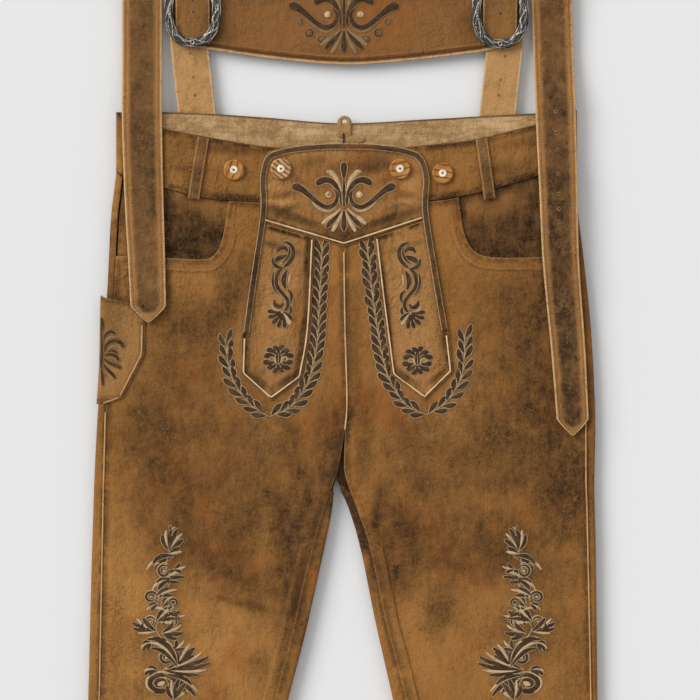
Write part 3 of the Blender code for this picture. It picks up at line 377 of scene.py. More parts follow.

# Dark stains, and in the rows marked so painted shade and painted shadows.  Columns, in mm: x, y, half
# width, half height, turn in degrees, strength.
STAINS_AND_SHADE = (
    (-132, -128, 92, 118, 6, 0.44),
    (-112, -232, 66, 46, -10, 0.34),
    (-78, -270, 36, 18, -14, 0.26),
    (-162, -8, 44, 30, 12, 0.34),
    (-164, -32, 18, 30, 0, 0.34),
    (-121, 30, 10, 34, -12, 0.48),
    (-140, -8, 15, 15, 0, 0.32),
    (-108, 22, 11, 42, -16, 0.55),
    (-96, 58, 7, 20, -8, 0.30),
    (-194, -84, 24, 40, 0, 0.38),
    (-206, -150, 18, 62, 2, 0.24),
    (-150, -100, 18, 14, 10, 0.25),
    (-176, -150, 16, 22, 0, 0.22),
    (-95, -190, 18, 26, 0, 0.24),
    (-165, -208, 18, 24, 0, 0.28),
    (-128, -240, 26, 12, -12, 0.12),
    (-44, -150, 13, 52, 14, 0.55),
    (-54, -220, 15, 52, 12, 0.70),
    (-52, -280, 12, 36, 10, 0.72),
    (-58, -345, 8, 42, 6, 0.35),
    (-20, -112, 14, 34, 10, 0.32),
    (-13, -148, 15, 38, 2, 0.62),
    (-31, -194, 11, 40, 14, 0.45),
    # Painted shade at the top of the crotch gap, this row and the next.
    (-4, -108, 4, 22, 6, 0.70),
    (7.5, -97, 4.4, 13, -8, 0.95),
    (-224, 188, 9, 26, 0, 0.60),
    (-218, 150, 8, 30, 0, 0.30),
    # Painted shade at the top of the crotch gap.
    (4, -118, 4, 16, -4, 0.60),
    (37, -190, 8, 30, -14, 0.45),
    (-84, -120, 30, 14, -10, 0.20),
    (165, -60, 54, 74, 4, 0.40),
    (184, 22, 30, 40, 0, 0.46),
    (190, -36, 20, 60, 0, 0.32),
    (196, -96, 14, 50, 0, 0.26),
    (218, 50, 18, 190, 3, 0.50),
    (140, 14, 28, 40, 10, 0.24),
    (170, -150, 62, 72, 0, 0.42),
    (222, -146, 26, 58, 3, 0.75),
    (216, -84, 16, 28, 0, 0.42),
    (62, -226, 24, 52, -16, 0.72),
    (60, -160, 28, 40, 0, 0.34),
    (90, -120, 42, 34, 10, 0.34),
    (118, -232, 46, 34, -4, 0.55),
    (106, -182, 18, 20, 0, 0.30),
    (104, -290, 18, 12, 0, 0.32),
    (150, -236, 20, 24, 0, 0.36),
    (98, -292, 14, 28, -8, 0.42),
    (22, -120, 9, 52, -6, 0.42),
    (230, -290, 26, 100, 0, 0.30),
    (190, -240, 30, 40, 0, 0.30),
    (14, -40, 6, 60, 1, 0.35),
    # These six rows darken the leather round the thighs' needlework.
    (-176, -262, 14, 40, 2, 0.30),
    (-178, -320, 20, 36, 0, 0.30),
    (-170, -356, 26, 18, 0, 0.30),
    (180, -262, 14, 40, -2, 0.30),
    (182, -316, 22, 36, 0, 0.42),
    (174, -356, 26, 18, 0, 0.30),
    (-14, -60, 8, 50, 0, 0.20),
    (-170, 120, 22, 7, -12, 0.30),
    (-112, 122, 26, 5, -3, 0.66),
    (-150, 134, 9, 14, 0, 0.50),
    (-118, 171, 36, 4, -7, 0.60),
    (112, 122, 26, 6, 4, 0.75),
    (146, 131, 9, 14, 0, 0.60),
    (166, 132, 26, 6, 14, 0.60),
    (180, 176, 22, 5, 12, 0.50),
    (205, 142, 26, 8, 16, 0.45),
    (172, 152, 22, 14, 10, 0.32),
    (-160, 150, 8, 26, 4, 0.12),
    (-184, 140, 10, 40, 0, 0.45),
    (-236, 60, 8, 60, 2, 0.22),
    (-230, 10, 12, 40, 0, 0.30),
    # Painted shadow of the left suspender on the front.
    (-175, 34, 5, 44, 3, 0.50),
    # Painted shade along the right suspender's left edge.
    (201, 20, 4, 70, -3, 0.40),
    (244, 60, 10, 60, 4, 0.40),
    (34, 156, 15, 9, 10, 0.80),
    (40, 169, 26, 3.4, -4, 0.40),
    (-92, -286, 46, 4.0, -13, 0.50),
    # Painted shade in the flap's creases, this row and the next four.
    (-62, 110, 15, 3.2, -16, 0.50),
    (-58, 125, 13, 3.2, 12, 0.45),
    (-44, 140, 10, 3.5, -30, 0.35),
    (62, 126, 12, 3.2, -12, 0.45),
    (46, 142, 10, 3.5, 30, 0.35),
    (-30, 158, 14, 6, 20, 0.50),
    (6, 152, 22, 5, 0, 0.40),
    (2, 86, 24, 7, 0, 0.90),
    (-46, 101, 30, 4.4, -17, 0.70),
    (48, 101, 30, 5, 18, 0.88),
    (-20, 140, 10, 12, 30, 0.30),
    (56, 118, 10, 8, -20, 0.35),
    (-58, 110, 12, 5, 20, 0.35),
    (-28, 30, 5, 60, 4, 0.35),
    (38, 30, 5, 60, -4, 0.35),
    (-90, 20, 5, 60, -6, 0.45),
    (96, 20, 5, 60, 6, 0.25),
    (-196, 400, 90, 40, 0, 0.20),
    (-60, 325, 46, 8, 8, 0.35),
    (70, 325, 46, 8, -8, 0.35),
    (2, 268, 150, 4, 0, 0.20),
    (-128, 290, 20, 26, 0, 0.40),
    (136, 290, 20, 26, 0, 0.40),
    # Painted shadow along the knife pocket's top edge.
    (-222, 22, 24, 3.6, -14, 0.55),
    (-150, -470, 40, 40, 0, 0.25),
    (170, -480, 50, 40, 0, 0.25),
    (-42, -196, 11, 44, 6, 0.34),
    (-10, -140, 14, 14, 0, 0.25),
    (38, -188, 8, 26, -12, 0.28),
    (168, 30, 16, 16, 0, 0.34),
    (168, -168, 16, 14, 0, 0.36),
    (180, -312, 30, 18, 0, 0.40),
    (-210, -372, 24, 13, 0, 0.42),
    (-82, -350, 12, 30, 0, 0.38),
)
# Rubbed, paler places, and in the rows marked so painted highlights.  Columns as for the stains.
RUBBED_AND_HIGHLIGHTS = (
    (-218, -310, 30, 110, 4, 1.00),
    (-74, -110, 16, 30, 0, 0.60),
    (-74, -204, 14, 20, 0, 0.60),
    (-142, -276, 26, 26, 0, 0.70),
    (-224, 110, 8, 60, 0, 0.90),
    (126, -46, 18, 50, 0, 0.60),
    (104, -92, 22, 24, 0, 0.60),
    (78, -206, 10, 20, 0, 0.50),
    (-116, -330, 46, 40, -8, 0.85),
    (-100, -420, 60, 60, 0, 0.60),
    (-150, 34, 40, 20, -8, 0.50),
    (-66, 10, 20, 70, -8, 0.45),
    (72, 10, 20, 70, 8, 0.75),
    (84, -320, 34, 40, 0, 0.45),
    (150, -330, 30, 40, 12, 0.35),
    (206, -420, 40, 70, 0, 0.45),
    (114, 60, 9, 44, 10, 0.30),
    (-8, 20, 7, 60, 1, 0.25),
    (-216, -30, 24, 40, 6, 0.55),
    (-112, 150, 20, 14, 0, 0.40),
    (112, 150, 20, 14, 0, 0.35),
    # Painted highlights on the flap's crease ridges, this row and the next three.
    (-60, 118, 14, 3.2, -4, 0.90),
    (-66, 133, 9, 5.0, 0, 0.70),
    (60, 118, 14, 3.2, 6, 0.90),
    (68, 136, 8, 8.0, 0, 0.80),
    (-24, 166, 26, 3.0, 0, 0.40),
    (-66, -50, 14, 26, 0, 0.40),
    (76, -50, 14, 26, 0, 0.60),
    (-130, 158, 24, 7, -8, 0.60),
    (168, 166, 26, 7, 12, 0.50),
    (-102, -28, 7, 30, 0, 0.55),
    (88, -98, 16, 20, 0, 0.60),
    (-164, 138, 10, 16, 0, 0.75),
    (-132, -288, 34, 10, -8, 0.45),
    (58, -345, 9, 28, 0, 0.50),
    (-240, -350, 6, 32, 0, 0.50),
)
# Stains on the flap's tongues alone, along their piped edges.
TONGUE_STAINS = (
    (-35.5, 50, 2.8, 46, -2, 0.95),
    (-38.5, -8, 2.8, 26, -8, 0.95),
    (-44, -42, 3.0, 18, -12, 0.95),
    (-56, -60, 17, 2.8, 34, 0.90),
    (-84, -60, 15, 2.8, -36, 0.75),
    (-95.5, -34, 2.8, 20, 0, 0.90),
    (-90, 30, 2.6, 30, -6, 0.55),
    (44, 18, 2.8, 62, 7, 0.85),
    (66, -58, 15, 2.8, -38, 0.85),
    (96, -56, 14, 2.8, 40, 0.85),
    (104, -26, 2.8, 20, 6, 0.75),
    (100, 34, 2.6, 30, 6, 0.50),
    (-60, 72, 22, 3.0, -17, 0.60),
    (66, 74, 22, 3.0, 17, 0.45),
)
# Painted shade and stains on the back halves alone: the rows at the crotch and down the inner-leg folds are
# painted shade in the gap between the legs; the last two darken the side folds.
BACK_SHADE_AND_STAINS = (
    (4, -168, 18, 22, 0, 1.0),
    (12, -184, 14, 26, 20, 1.0),
    (22, -206, 9, 28, 18, 0.95),
    (8, -176, 20, 20, 10, 1.0),
    (22, -204, 9, 30, -16, 0.90),
    (34, -250, 8, 40, -12, 0.55),
    (-12, -176, 7, 16, 0, 0.60),
    (-26, -220, 8, 50, 12, 0.40),
    (-44, -300, 9, 60, 10, 0.45),
    (-232, 90, 12, 40, 4, 0.40),
    (246, -60, 10, 60, 2, 0.40),
)
# Stains on the pocket facings alone, and in the rows marked so painted shadows along the mouths' edges and
# beside the suspenders.
FACING_STAINS_AND_SHADOWS = (
    (-150, 78, 32, 24, 0, 0.82),
    (-160, 102, 24, 12, -28, 0.80),
    # Painted shadow of the left suspender.
    (-173, 82, 8, 34, 0, 0.85),
    (-126, 84, 8, 20, -10, 0.55),
    (-178, 136, 8, 20, 0, 0.40),
    (166, 72, 42, 18, 6, 0.92),
    # Painted shadow beside the right suspender.
    (186, 88, 5, 36, -12, 0.95),
    (199, 80, 5, 26, -4, 0.35),
    # Painted shadow along the right pocket mouth's edge, this row and the next two.
    (120, 100, 4.5, 24, 4, 1.0),
    (128, 74, 5, 12, 30, 1.0),
    (150, 66, 32, 5, 0, 0.9),
    (168, 90, 18, 12, 40, 0.60),
    (132, 82, 14, 18, 12, 0.72),
    (-148, 92, 26, 14, -24, 0.85),
    # Painted shadow along the left pocket mouth's edge, this row and the next.
    (-134, 66, 24, 5, 0, 0.8),
    (-117, 84, 3.5, 22, 10, 0.8),
    # Painted shadow of the left suspender.
    (-173, 96, 5, 50, 0, 0.90),
    (184, 117, 13, 18, -20, 0.72),
    (160, 86, 34, 24, 0, 0.42),
)


# ---------------------------------------------------------------------------------------------
# Reading the pattern


def smooth_step(value: Array) -> Array:
    """0 below 0, 1 above 1 and an even slope between."""
    t = np.clip(value, 0.0, 1.0)
    return t * t * (3.0 - 2.0 * t)


@dataclass(frozen=True)
class Table:
    """Rows of sizes, read as smooth curves over their first column."""

    rows: tuple

    def read(self, at: Array | float, column: int) -> Array:
        """Read one column at places of the first.

        Args:
            at: Places in the first column.
            column: The column to read.

        Returns:
            The values, the same shape as the places.
        """
        rows = np.array(sorted(self.rows), float)
        x, v = rows[:, 0], rows[:, column]
        low = np.maximum(np.arange(len(x)) - 1, 0)
        high = np.minimum(np.arange(len(x)) + 1, len(x) - 1)
        slope = (v[high] - v[low]) / (x[high] - x[low])
        place = np.clip(np.asarray(at, float), x[0], x[-1])
        i = np.clip(np.searchsorted(x, place) - 1, 0, len(x) - 2)
        span = x[i + 1] - x[i]
        t = (place - x[i]) / span
        return (
            v[i] * (2 * t**3 - 3 * t**2 + 1)
            + slope[i] * span * (t**3 - 2 * t**2 + t)
            + v[i + 1] * (3 * t**2 - 2 * t**3)
            + slope[i + 1] * span * (t**3 - t**2)
        )


BAND = Table(WAISTBAND)
LEFT_LEG = Table(LEG_LEFT)
RIGHT_LEG = Table(LEG_RIGHT)


def smooth_run(points: Run, spacing: float) -> Array:
    """Points on a smooth curve through a run.

    Args:
        points: The run's points.
        spacing: About how far apart the new points are.

    Returns:
        The points, both ends among them.
    """
    run = np.array(points, float)
    ends = np.vstack([2 * run[0] - run[1], run, 2 * run[-1] - run[-2]])
    out = []
    for a, b, c, d in zip(ends, ends[1:], ends[2:], ends[3:]):
        steps = max(1, math.ceil(float(np.linalg.norm(c - b)) / spacing))
        t = (np.arange(steps) / steps)[:, None]
        out.append(
            0.5 * (2 * b + (c - a) * t + (2 * a - 5 * b + 4 * c - d) * t**2
                   + (3 * b - a - 3 * c + d) * t**3)
        )
    out.append(run[-1:])
    return np.vstack(out)


def smooth_ring(runs: Sequence[Run], spacing: float) -> Array:
    """A closed outline from runs that are each smooth, with the corners between them kept."""
    return np.vstack([smooth_run(run, spacing)[:-1] for run in runs])


def smooth_route(runs: Sequence[Run], spacing: float) -> Array:
    """An open route from its runs."""
    lines = [smooth_run(run, spacing)[:-1] for run in runs]
    return np.vstack(lines + [np.array(runs[-1][-1:], float)])


def directions(line: Array, closed: bool = False) -> Array:
    """The unit direction of a line at each of its points.

    Args:
        line: Points in two or three dimensions.
        closed: Whether the last point joins the first.

    Returns:
        One unit vector a point.
    """
    if closed:
        run = np.roll(line, -1, axis=0) - np.roll(line, 1, axis=0)
    else:
        run = np.gradient(line, axis=0)
    return run / np.maximum(np.linalg.norm(run, axis=1, keepdims=True), 1e-9)


def leftward(line: Array, closed: bool = False) -> Array:
    """The unit direction to the left of a flat line at each of its points."""
    ahead = directions(line, closed)
    return np.column_stack([-ahead[:, 1], ahead[:, 0]])


def beside(line: Array, distance: float, closed: bool = False) -> Array:
    """The line moved sideways, to its left for a positive distance.

    Args:
        line: Flat points.
        distance: How far, in mm.
        closed: Whether the last point joins the first.

    Returns:
        The moved points, without those that fall closer than that to the line.
    """
    moved = line + leftward(line, closed) * distance
    return moved[distance_to(moved, line, closed) > abs(distance) * 0.93]


def distance_to(points: Array, line: Array, closed: bool = True) -> Array:
    """How far points are from a line.

    Args:
        points: Flat points.
        line: The line's points.
        closed: Whether the last point joins the first.

    Returns:
        One distance a point.
    """
    ends = np.roll(line, -1, axis=0) if closed else line[1:]
    starts = line if closed else line[:-1]
    best = np.full(len(points), np.inf)
    for a, b in zip(starts, ends):
        run = b - a
        length = max(float(run @ run), 1e-9)
        t = np.clip(((points - a) @ run) / length, 0.0, 1.0)
        away = points - a - t[:, None] * run
        best = np.minimum(best, away[:, 0] ** 2 + away[:, 1] ** 2)
    return np.sqrt(best)


def within(points: Array, ring: Array) -> Array:
    """Whether each point lies in a closed ring.

    Args:
        points: Flat points.
        ring: The ring's points.

    Returns:
        True or False for each point.
    """
    odd = np.zeros(len(points), bool)
    for a, b in zip(ring, np.roll(ring, -1, axis=0)):
        if a[1] == b[1]:
            continue
        spans = (a[1] > points[:, 1]) != (b[1] > points[:, 1])
        cross = a[0] + (points[:, 1] - a[1]) * (b[0] - a[0]) / (b[1] - a[1])
        odd ^= spans & (points[:, 0] < cross)
    return odd


def ribbon(line: Array, across: Array, width: Array | float) -> Array:
    """Rows of flat points across a line.

    Args:
        line: The flat line.
        across: Places across it, from -1 on its right to 1 on its left.
        width: Its width, or one for each point.

    Returns:
        One row of points for each point of the line.
    """
    reach = np.broadcast_to(np.asarray(width, float) / 2, (len(line),))
    return line[:, None] + leftward(line)[:, None] * (across[None, :, None] * reach[:, None, None])


def run_length(line: Array) -> Array:
    """How far along a line each of its points is."""
    return np.concatenate([[0.0], np.cumsum(np.linalg.norm(np.diff(line, axis=0), axis=1))])


def even_steps(line: Array, spacing: float) -> Array:
    """The line's points placed anew at even steps.

    Args:
        line: Points in two or three dimensions.
        spacing: About how far apart the new points are.

    Returns:
        The new points, both ends among them.
    """
    lengths = run_length(line)
    count = max(2, int(round(lengths[-1] / spacing)) + 1)
    places = np.linspace(0.0, lengths[-1], count)
    return np.column_stack([np.interp(places, lengths, line[:, k]) for k in range(line.shape[1])])


# ---------------------------------------------------------------------------------------------
# Heights of the layers, in mm


def strap_end_rise(x: Array, y: Array) -> Array:
    """How far the suspenders' ends lift what lies on them.

    Args:
        x: Places across.
        y: Places up.

    Returns:
        The rise at each place.
    """
    rise = np.zeros(np.broadcast(x, y).shape)
    for centre, half, low, height in STRAP_ENDS:
        side = smooth_step(1 - (np.abs(x - centre) - half) / STRAP_END_SOFT)
        foot = smooth_step(1 + (y - low) / STRAP_END_SOFT * STRAP_FOOT_SHARP)
        rise = np.maximum(rise, side * foot * height)
    return rise


def fullness(x: Array, y: Array) -> Array:
    """The extra room over the pocket bags.

    Args:
        x: Places across.
        y: Places up.

    Returns:
        The rise at each place.
    """
    rise = np.zeros(np.broadcast(x, y).shape)
    for low_x, high_x, low_y, high_y, height, soft in FULLNESS:
        away_x = np.maximum(np.maximum(low_x - x, x - high_x), 0)
        away_y = np.maximum(np.maximum(low_y - y, y - high_y), 0)
        rise = np.maximum(rise, height * smooth_step(1 - np.hypot(away_x, away_y) / soft))
    return rise


def fold_rise(x: Array, y: Array) -> Array:
    """The broad folds and the finer creases, with soft ends and uneven depths.

    Args:
        x: Places across.
        y: Places up.

    Returns:
        The rise at each place, negative in a hollow.
    """
    rise = np.zeros(np.broadcast(x, y).shape)
    rows = [(*row[:4], 0.0, *row[4:]) for row in FOLDS] + list(CREASES)
    for x1, y1, x2, y2, bow, half, height in rows:
        run_x, run_y = x2 - x1, y2 - y1
        length = math.hypot(run_x, run_y)
        t = ((x - x1) * run_x + (y - y1) * run_y) / length**2
        side = ((x - x1) * run_y - (y - y1) * run_x) / length
        side = (side - bow * 4 * t * (1 - t)) / half
        ends = smooth_step(t / 0.2 + 0.4) * smooth_step((1 - t) / 0.2 + 0.4)
        uneven = 1.0 + 0.25 * np.sin(t * 11.0 + x1)
        rise = rise + height * np.exp(-side * side) * ends * (uneven if bow else 1.0)
    return rise


def edge_rise(x: Array, y: Array) -> Array:
    """The roundness of the leather near its folded edges.

    Args:
        x: Places across.
        y: Places up.

    Returns:
        The rise at each place.
    """
    rise = np.zeros(np.broadcast(x, y).shape)
    for leg in (LEFT_LEG, RIGHT_LEG):
        for column, (reach, most), low in ((2, SIDE_ROUNDNESS, False), (3, INSEAM_ROUNDNESS, True)):
            away = (x - leg.read(y, column)) / reach
            roll = most * np.exp(-away * away)
            rise = np.maximum(rise, np.where(y < CROTCH, roll, 0.0) if low else roll)
    return rise


def front_height(x: Array, y: Array) -> Array:
    """The outer face of the front, panels and seam returns alike.

    Args:
        x: Places across.
        y: Places up.

    Returns:
        The height at each place.
    """
    folds = fold_rise(x, y)
    rise = np.maximum(0.0, folds) + HOLLOW_SHARE * np.minimum(0.0, folds)
    pressed = strap_end_rise(x, y) * PRESSED_THROUGH
    return FRONT_BASE + fullness(x, y) + pressed + edge_rise(x, y) + rise


def band_height(x: Array, y: Array) -> Array:
    """The outer face of the front waistband, which stands proud of the panels."""
    below = BAND.read(x, 3) - y
    return front_height(x, y) + BAND_PROUD * smooth_step(1 - below / 14)


def flap_height(x: Array, y: Array) -> Array:
    """The outer face of the drop flap, on the waistband and the fronts."""
    return band_height(x, y) + LAID_GAP + LEATHER


def pocket_height(x: Array, y: Array) -> Array:
    """The outer face of the knife pocket, on the front."""
    return front_height(x, y) + LAID_GAP + LEATHER


def facing_height(x: Array, y: Array) -> Array:
    """The outer face of a pocket's facing, under the front."""
    return front_height(x, y) - LEATHER - LAID_GAP


def bib_height(x: Array, y: Array) -> Array:
    """The outer face of the chest bar, which sags between the buckles and is level along y."""
    middle = smooth_step(1 - (np.abs(x - 4) - 40) / 90)
    return BIB_LIFT - BIB_SAG * middle + BIB


# ---------------------------------------------------------------------------------------------
# Stains and painted shade, rubbed places and painted highlights, kept on the meshes for the finishes to read


def soft_blots(x: Array, y: Array, rows: Iterable[Sequence[float]]) -> Array:
    """The strength of a table of soft-edged blots.

    Args:
        x: Places across.
        y: Places up.
        rows: Blots, each x, y, half width, half height, turn in degrees and strength.

    Returns:
        From 0, none, to about 1.
    """
    clear = np.ones(np.broadcast(x, y).shape)
    for bx, by, wide, tall, turn, strength in rows:
        angle = math.radians(turn)
        u = ((x - bx) * math.cos(angle) + (y - by) * math.sin(angle)) / wide
        v = ((y - by) * math.cos(angle) - (x - bx) * math.sin(angle)) / tall
        clear = clear * (1 - strength * np.exp(-((u * u + v * v) ** 1.5) * 0.7))
    return 1 - clear


# ---------------------------------------------------------------------------------------------
# Meshes


@dataclass
class Wall:
    """A leather wall: its outer and its inner points, and the faces between the outer ones."""

    outer: Array
    inner: Array
    faces: list
    rim: Array
    hem: Array | None = None

    def area(self) -> float:
        """The size of the outer side.

        Returns:
            Its area, in square metres.
        """
        total = 0.0
        for face in self.faces:
            corners = self.outer[list(face)]
            for k in range(1, len(face) - 1):
                cross = np.cross(corners[k] - corners[0], corners[k + 1] - corners[0])
                total += 0.5 * float(np.linalg.norm(cross))
        return total * MM * MM


def to_frame(points: Array) -> Array:
    """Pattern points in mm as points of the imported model's frame in metres."""
    return (points - np.array([0.0, MIDDLE_Y, 0.0])) * MM


def new_object(name: str, points: Array, faces: list, materials: Sequence[Material]) -> Piece:
    """A smooth mesh object of pattern points.

    Args:
        name: The piece's name.
        points: Its points, in mm.
        faces: Its faces.
        materials: Its materials, in order.

    Returns:
        The object, linked to the scene.
    """
    mesh = bpy.data.meshes.new(name)
    mesh.from_pydata(to_frame(points).tolist(), [], faces)
    mesh.update()
    for material in materials:
        mesh.materials.append(material)
    mesh.shade_smooth()
    obj = bpy.data.objects.new(name, mesh)
    bpy.context.scene.collection.objects.link(obj)
    return obj


def set_attribute(obj: Piece, name: str, values: Array) -> None:
    """Keep one number a point on a mesh.

    Args:
        obj: The piece.
        name: The attribute's name.
        values: One value a point.
    """
    layer = obj.data.attributes.new(name, "FLOAT", "POINT")
    layer.data.foreach_set("value", np.asarray(values, np.float32))


def set_uv(obj: Piece, coords: Array) -> None:
    """Give a mesh a UV map from one pair a point.

    Args:
        obj: The piece.
        coords: One (u, v) pair a point.
    """
    layer = obj.data.uv_layers.new(name="UVMap")
    loops = np.zeros(len(obj.data.loops), np.int32)
    obj.data.loops.foreach_get("vertex_index", loops)
    layer.data.foreach_set("uv", np.asarray(coords, np.float32)[loops].ravel())


def circle(count: int) -> Array:
    """Even angles once round, in radians."""
    return 2 * math.pi * np.arange(count) / count


def laid(line: Array, height: Height, lift: float) -> Array:
    """A flat line's points set on a height, and lifted off it."""
    return np.column_stack([line, height(line[:, 0], line[:, 1]) + lift])


def raised(ring: Array, x: float, y: float, z: float, profile: Sequence[Pair]) -> Array:
    """Rings of one shape about a middle.

    Args:
        ring: The shape's flat points, at size 1.
        x: The middle, across.
        y: The middle, up.
        z: The height that the profile starts from.
        profile: The size and the height of each ring.

    Returns:
        The points, ring by ring.
    """
    return np.vstack([
        np.column_stack([x + ring[:, 0] * size, y + ring[:, 1] * size, np.full(len(ring), z + height)])
        for size, height in profile
    ])


def grid_faces(rows: int, columns: int) -> list:
    """Quads over rows of points, facing up where columns run to +X and rows to -Y.

    Args:
        rows: The number of rows.
        columns: The number of points in a row.

    Returns:
        The faces.
    """
    return [
        (i * columns + j, (i + 1) * columns + j, (i + 1) * columns + j + 1, i * columns + j + 1)
        for i in range(rows - 1)
        for j in range(columns - 1)
    ]


def ring_faces(rows: int, sides: int, closed: bool = False) -> list:
    """Quads round rows of points that each close on themselves.

    Args:
        rows: The number of rows.
        sides: The number of points in a row.
        closed: Whether the last row joins the first.

    Returns:
        The faces.
    """
    faces = []
    for k in range(rows if closed else rows - 1):
        here, after = k * sides, (k + 1) % rows * sides
        for j in range(sides):
            m = (j + 1) % sides
            faces.append((here + j, here + m, after + m, after + j))
    return faces


def turned(faces: Iterable[tuple]) -> list:
    """The faces the other way round."""
    return [tuple(reversed(face)) for face in faces]


def facing_up(points: Array, faces: list) -> list:
    """The faces, turned where the first of them looks down."""
    a, b, c = (points[k] for k in faces[0][:3])
    return turned(faces) if float(np.cross(b - a, c - a)[2]) < 0 else faces


def cut_piece(ring: Array, spacing: float) -> tuple[Array, list]:
    """Points and triangles over a flat cut piece.

    Args:
        ring: The piece's outline, either way round.
        spacing: The spacing of the points inside it.

    Returns:
        The points and the faces, which face up.
    """
    area = np.sum(ring[:, 0] * np.roll(ring[:, 1], -1) - np.roll(ring[:, 0], -1) * ring[:, 1])
    if area < 0:
        ring = ring[::-1]
    extra = [beside(ring, distance, closed=True) for distance in EDGE_ROWS]
    extra = [line[within(line, ring)] for line in extra]
    low, high = ring.min(axis=0), ring.max(axis=0)
    row_step = spacing * TRIANGLE_ROWS
    rows = np.arange(1, int((high[1] - low[1]) / row_step) + 1)
    columns = np.arange(int((high[0] - low[0]) / spacing) + 2)
    gx, gy = np.meshgrid(columns, rows)
    grid = np.column_stack(
        [(low[0] + (gx + 0.5 * (gy % 2)) * spacing).ravel(), (low[1] + gy * row_step).ravel()]
    )
    grid = grid[within(grid, ring)]
    keep = distance_to(grid, ring) > EDGE_ROWS[-1] + spacing * 0.45
    points = np.vstack([ring, *extra, grid[keep]])
    edges = [(k, (k + 1) % len(ring)) for k in range(len(ring))]
    flat = [Vector(p) for p in points.tolist()]
    new, _, faces, *_ = delaunay_2d_cdt(flat, edges, [], 1, 1e-3)
    return np.array([tuple(p) for p in new]), [tuple(face) for face in faces]


def laid_wall(
    ring: Array, height: Height, thickness: float, spacing: float = PANEL_SPACING,
    rounded: float = 0.45, groove: float = 0.0,
) -> Wall:
    """A flat cut piece laid at a height, with rounded cut edges and a stitched groove.

    Args:
        ring: The outline.
        height: The height of its outer face at a place.
        thickness: The leather's thickness.
        spacing: The spacing of its points.
        rounded: How far the outer face drops at the cut edge.
        groove: How deep the line of stitches is pulled in.

    Returns:
        The wall.
    """
    points, faces = cut_piece(ring, spacing)
    rim = distance_to(points, ring)
    top = height(points[:, 0], points[:, 1])
    drop = rounded * (1 - smooth_step(rim / EDGE_ROUND))
    drop = drop + groove * np.exp(-(((rim - STITCH_INSET) / GROOVE_HALF) ** 2))
    outer = np.column_stack([points, top - drop])
    inner = np.column_stack([points, top - thickness])
    return Wall(outer, inner, faces, rim)


def dress_wall(name: str, wall: Wall, material: Material, own_stains_and_shade: Run = ()) -> Piece:
    """Close a wall round its cut edge, and keep its stains, painted shade, rubbed places and painted
    highlights on it.

    Args:
        name: The piece's name.
        wall: The wall.
        material: Its finish.
        own_stains_and_shade: Stains and painted shade that only this piece has.

    Returns:
        The finished object.
    """
    count = len(wall.outer)
    directed = {(a, b) for face in wall.faces for a, b in zip(face, face[1:] + face[:1])}
    edge = sorted((a, b) for a, b in directed if (b, a) not in directed)
    rim_faces = [(b, a, a + count, b + count) for a, b in edge]
    under = [tuple(k + count for k in reversed(face)) for face in wall.faces]
    points = np.vstack([wall.outer, wall.inner])
    obj = new_object(name, points, wall.faces + under + rim_faces, [material])
    x, y = wall.outer[:, 0], wall.outer[:, 1]
    # The stain strength carries the tables' painted shade and shadows too, and the rubbed strength carries
    # their painted highlights.
    stains, rubbed_and_highlit = soft_blots(x, y, (*STAINS_AND_SHADE, *own_stains_and_shade)), soft_blots(x, y, RUBBED_AND_HIGHLIGHTS)
    set_attribute(obj, "stain_and_shade", np.tile(stains, 2))
    set_attribute(obj, "rubbed_and_highlit", np.tile(rubbed_and_highlit, 2))
    set_attribute(obj, "rim", np.tile(np.minimum(wall.rim, FAR_IN), 2))
    hem = np.full(count, FAR_IN) if wall.hem is None else np.minimum(wall.hem, FAR_IN)
    set_attribute(obj, "hem", np.tile(hem, 2))
    set_attribute(obj, "inside", np.repeat([0.0, 1.0], count))
    return obj


def tube(
    line: Array, radius: Array | float, sides: int, closed: bool = False,
) -> tuple[Array, list, Array]:
    """A round cord along a line.

    Args:
        line: Its centreline.
        radius: Its radius, or one for each point.
        sides: The number of sides.
        closed: Whether the ends join.

    Returns:
        Its points, its faces and one (length, turn) pair a point.
    """
    ahead = directions(line, closed)
    side = np.cross(np.array([0.0, 0.0, 1.0]), ahead)
    side /= np.maximum(np.linalg.norm(side, axis=1, keepdims=True), 1e-9)
    up = np.cross(ahead, side)
    turn = circle(sides)
    reach = np.broadcast_to(np.asarray(radius, float), (len(line),))[:, None, None]
    around = side[:, None] * np.cos(turn)[None, :, None] + up[:, None] * np.sin(turn)[None, :, None]
    points = (line[:, None] + around * reach).reshape(-1, 3)
    faces = ring_faces(len(line), sides, closed)
    if not closed:
        end = (len(line) - 1) * sides
        faces.append(tuple(reversed(range(sides))))
        faces.append(tuple(end + j for j in range(sides)))
    coords = np.column_stack([np.repeat(run_length(line), sides), np.tile(turn, len(line))])
    return points, faces, coords


@dataclass
class Heap:
    """Meshes gathered into one piece, with a UV pair a point and a material number a face."""

    points: list = field(default_factory=list)
    faces: list = field(default_factory=list)
    coords: list = field(default_factory=list)
    numbers: list = field(default_factory=list)
    count: int = 0

    def add(self, points: Array, faces: list, coords: Array, number: int = 0) -> None:
        """Gather one more mesh.

        Args:
            points: Its points.
            faces: Its faces.
            coords: One (u, v) pair a point.
            number: Its material's number.
        """
        self.points.append(points)
        self.faces += [tuple(k + self.count for k in face) for face in faces]
        self.coords.append(coords)
        self.numbers += [number] * len(faces)
        self.count += len(points)

    def build(self, name: str, materials: Sequence[Material]) -> Piece:
        """Make the piece.

        Args:
            name: Its name.
            materials: Its materials, in the order of their numbers.

        Returns:
            The object.
        """
        obj = new_object(name, np.vstack(self.points), self.faces, materials)
        obj.data.polygons.foreach_set("material_index", np.array(self.numbers, np.int32))
        set_uv(obj, np.vstack(self.coords))
        return obj


# ---------------------------------------------------------------------------------------------
# Finishes


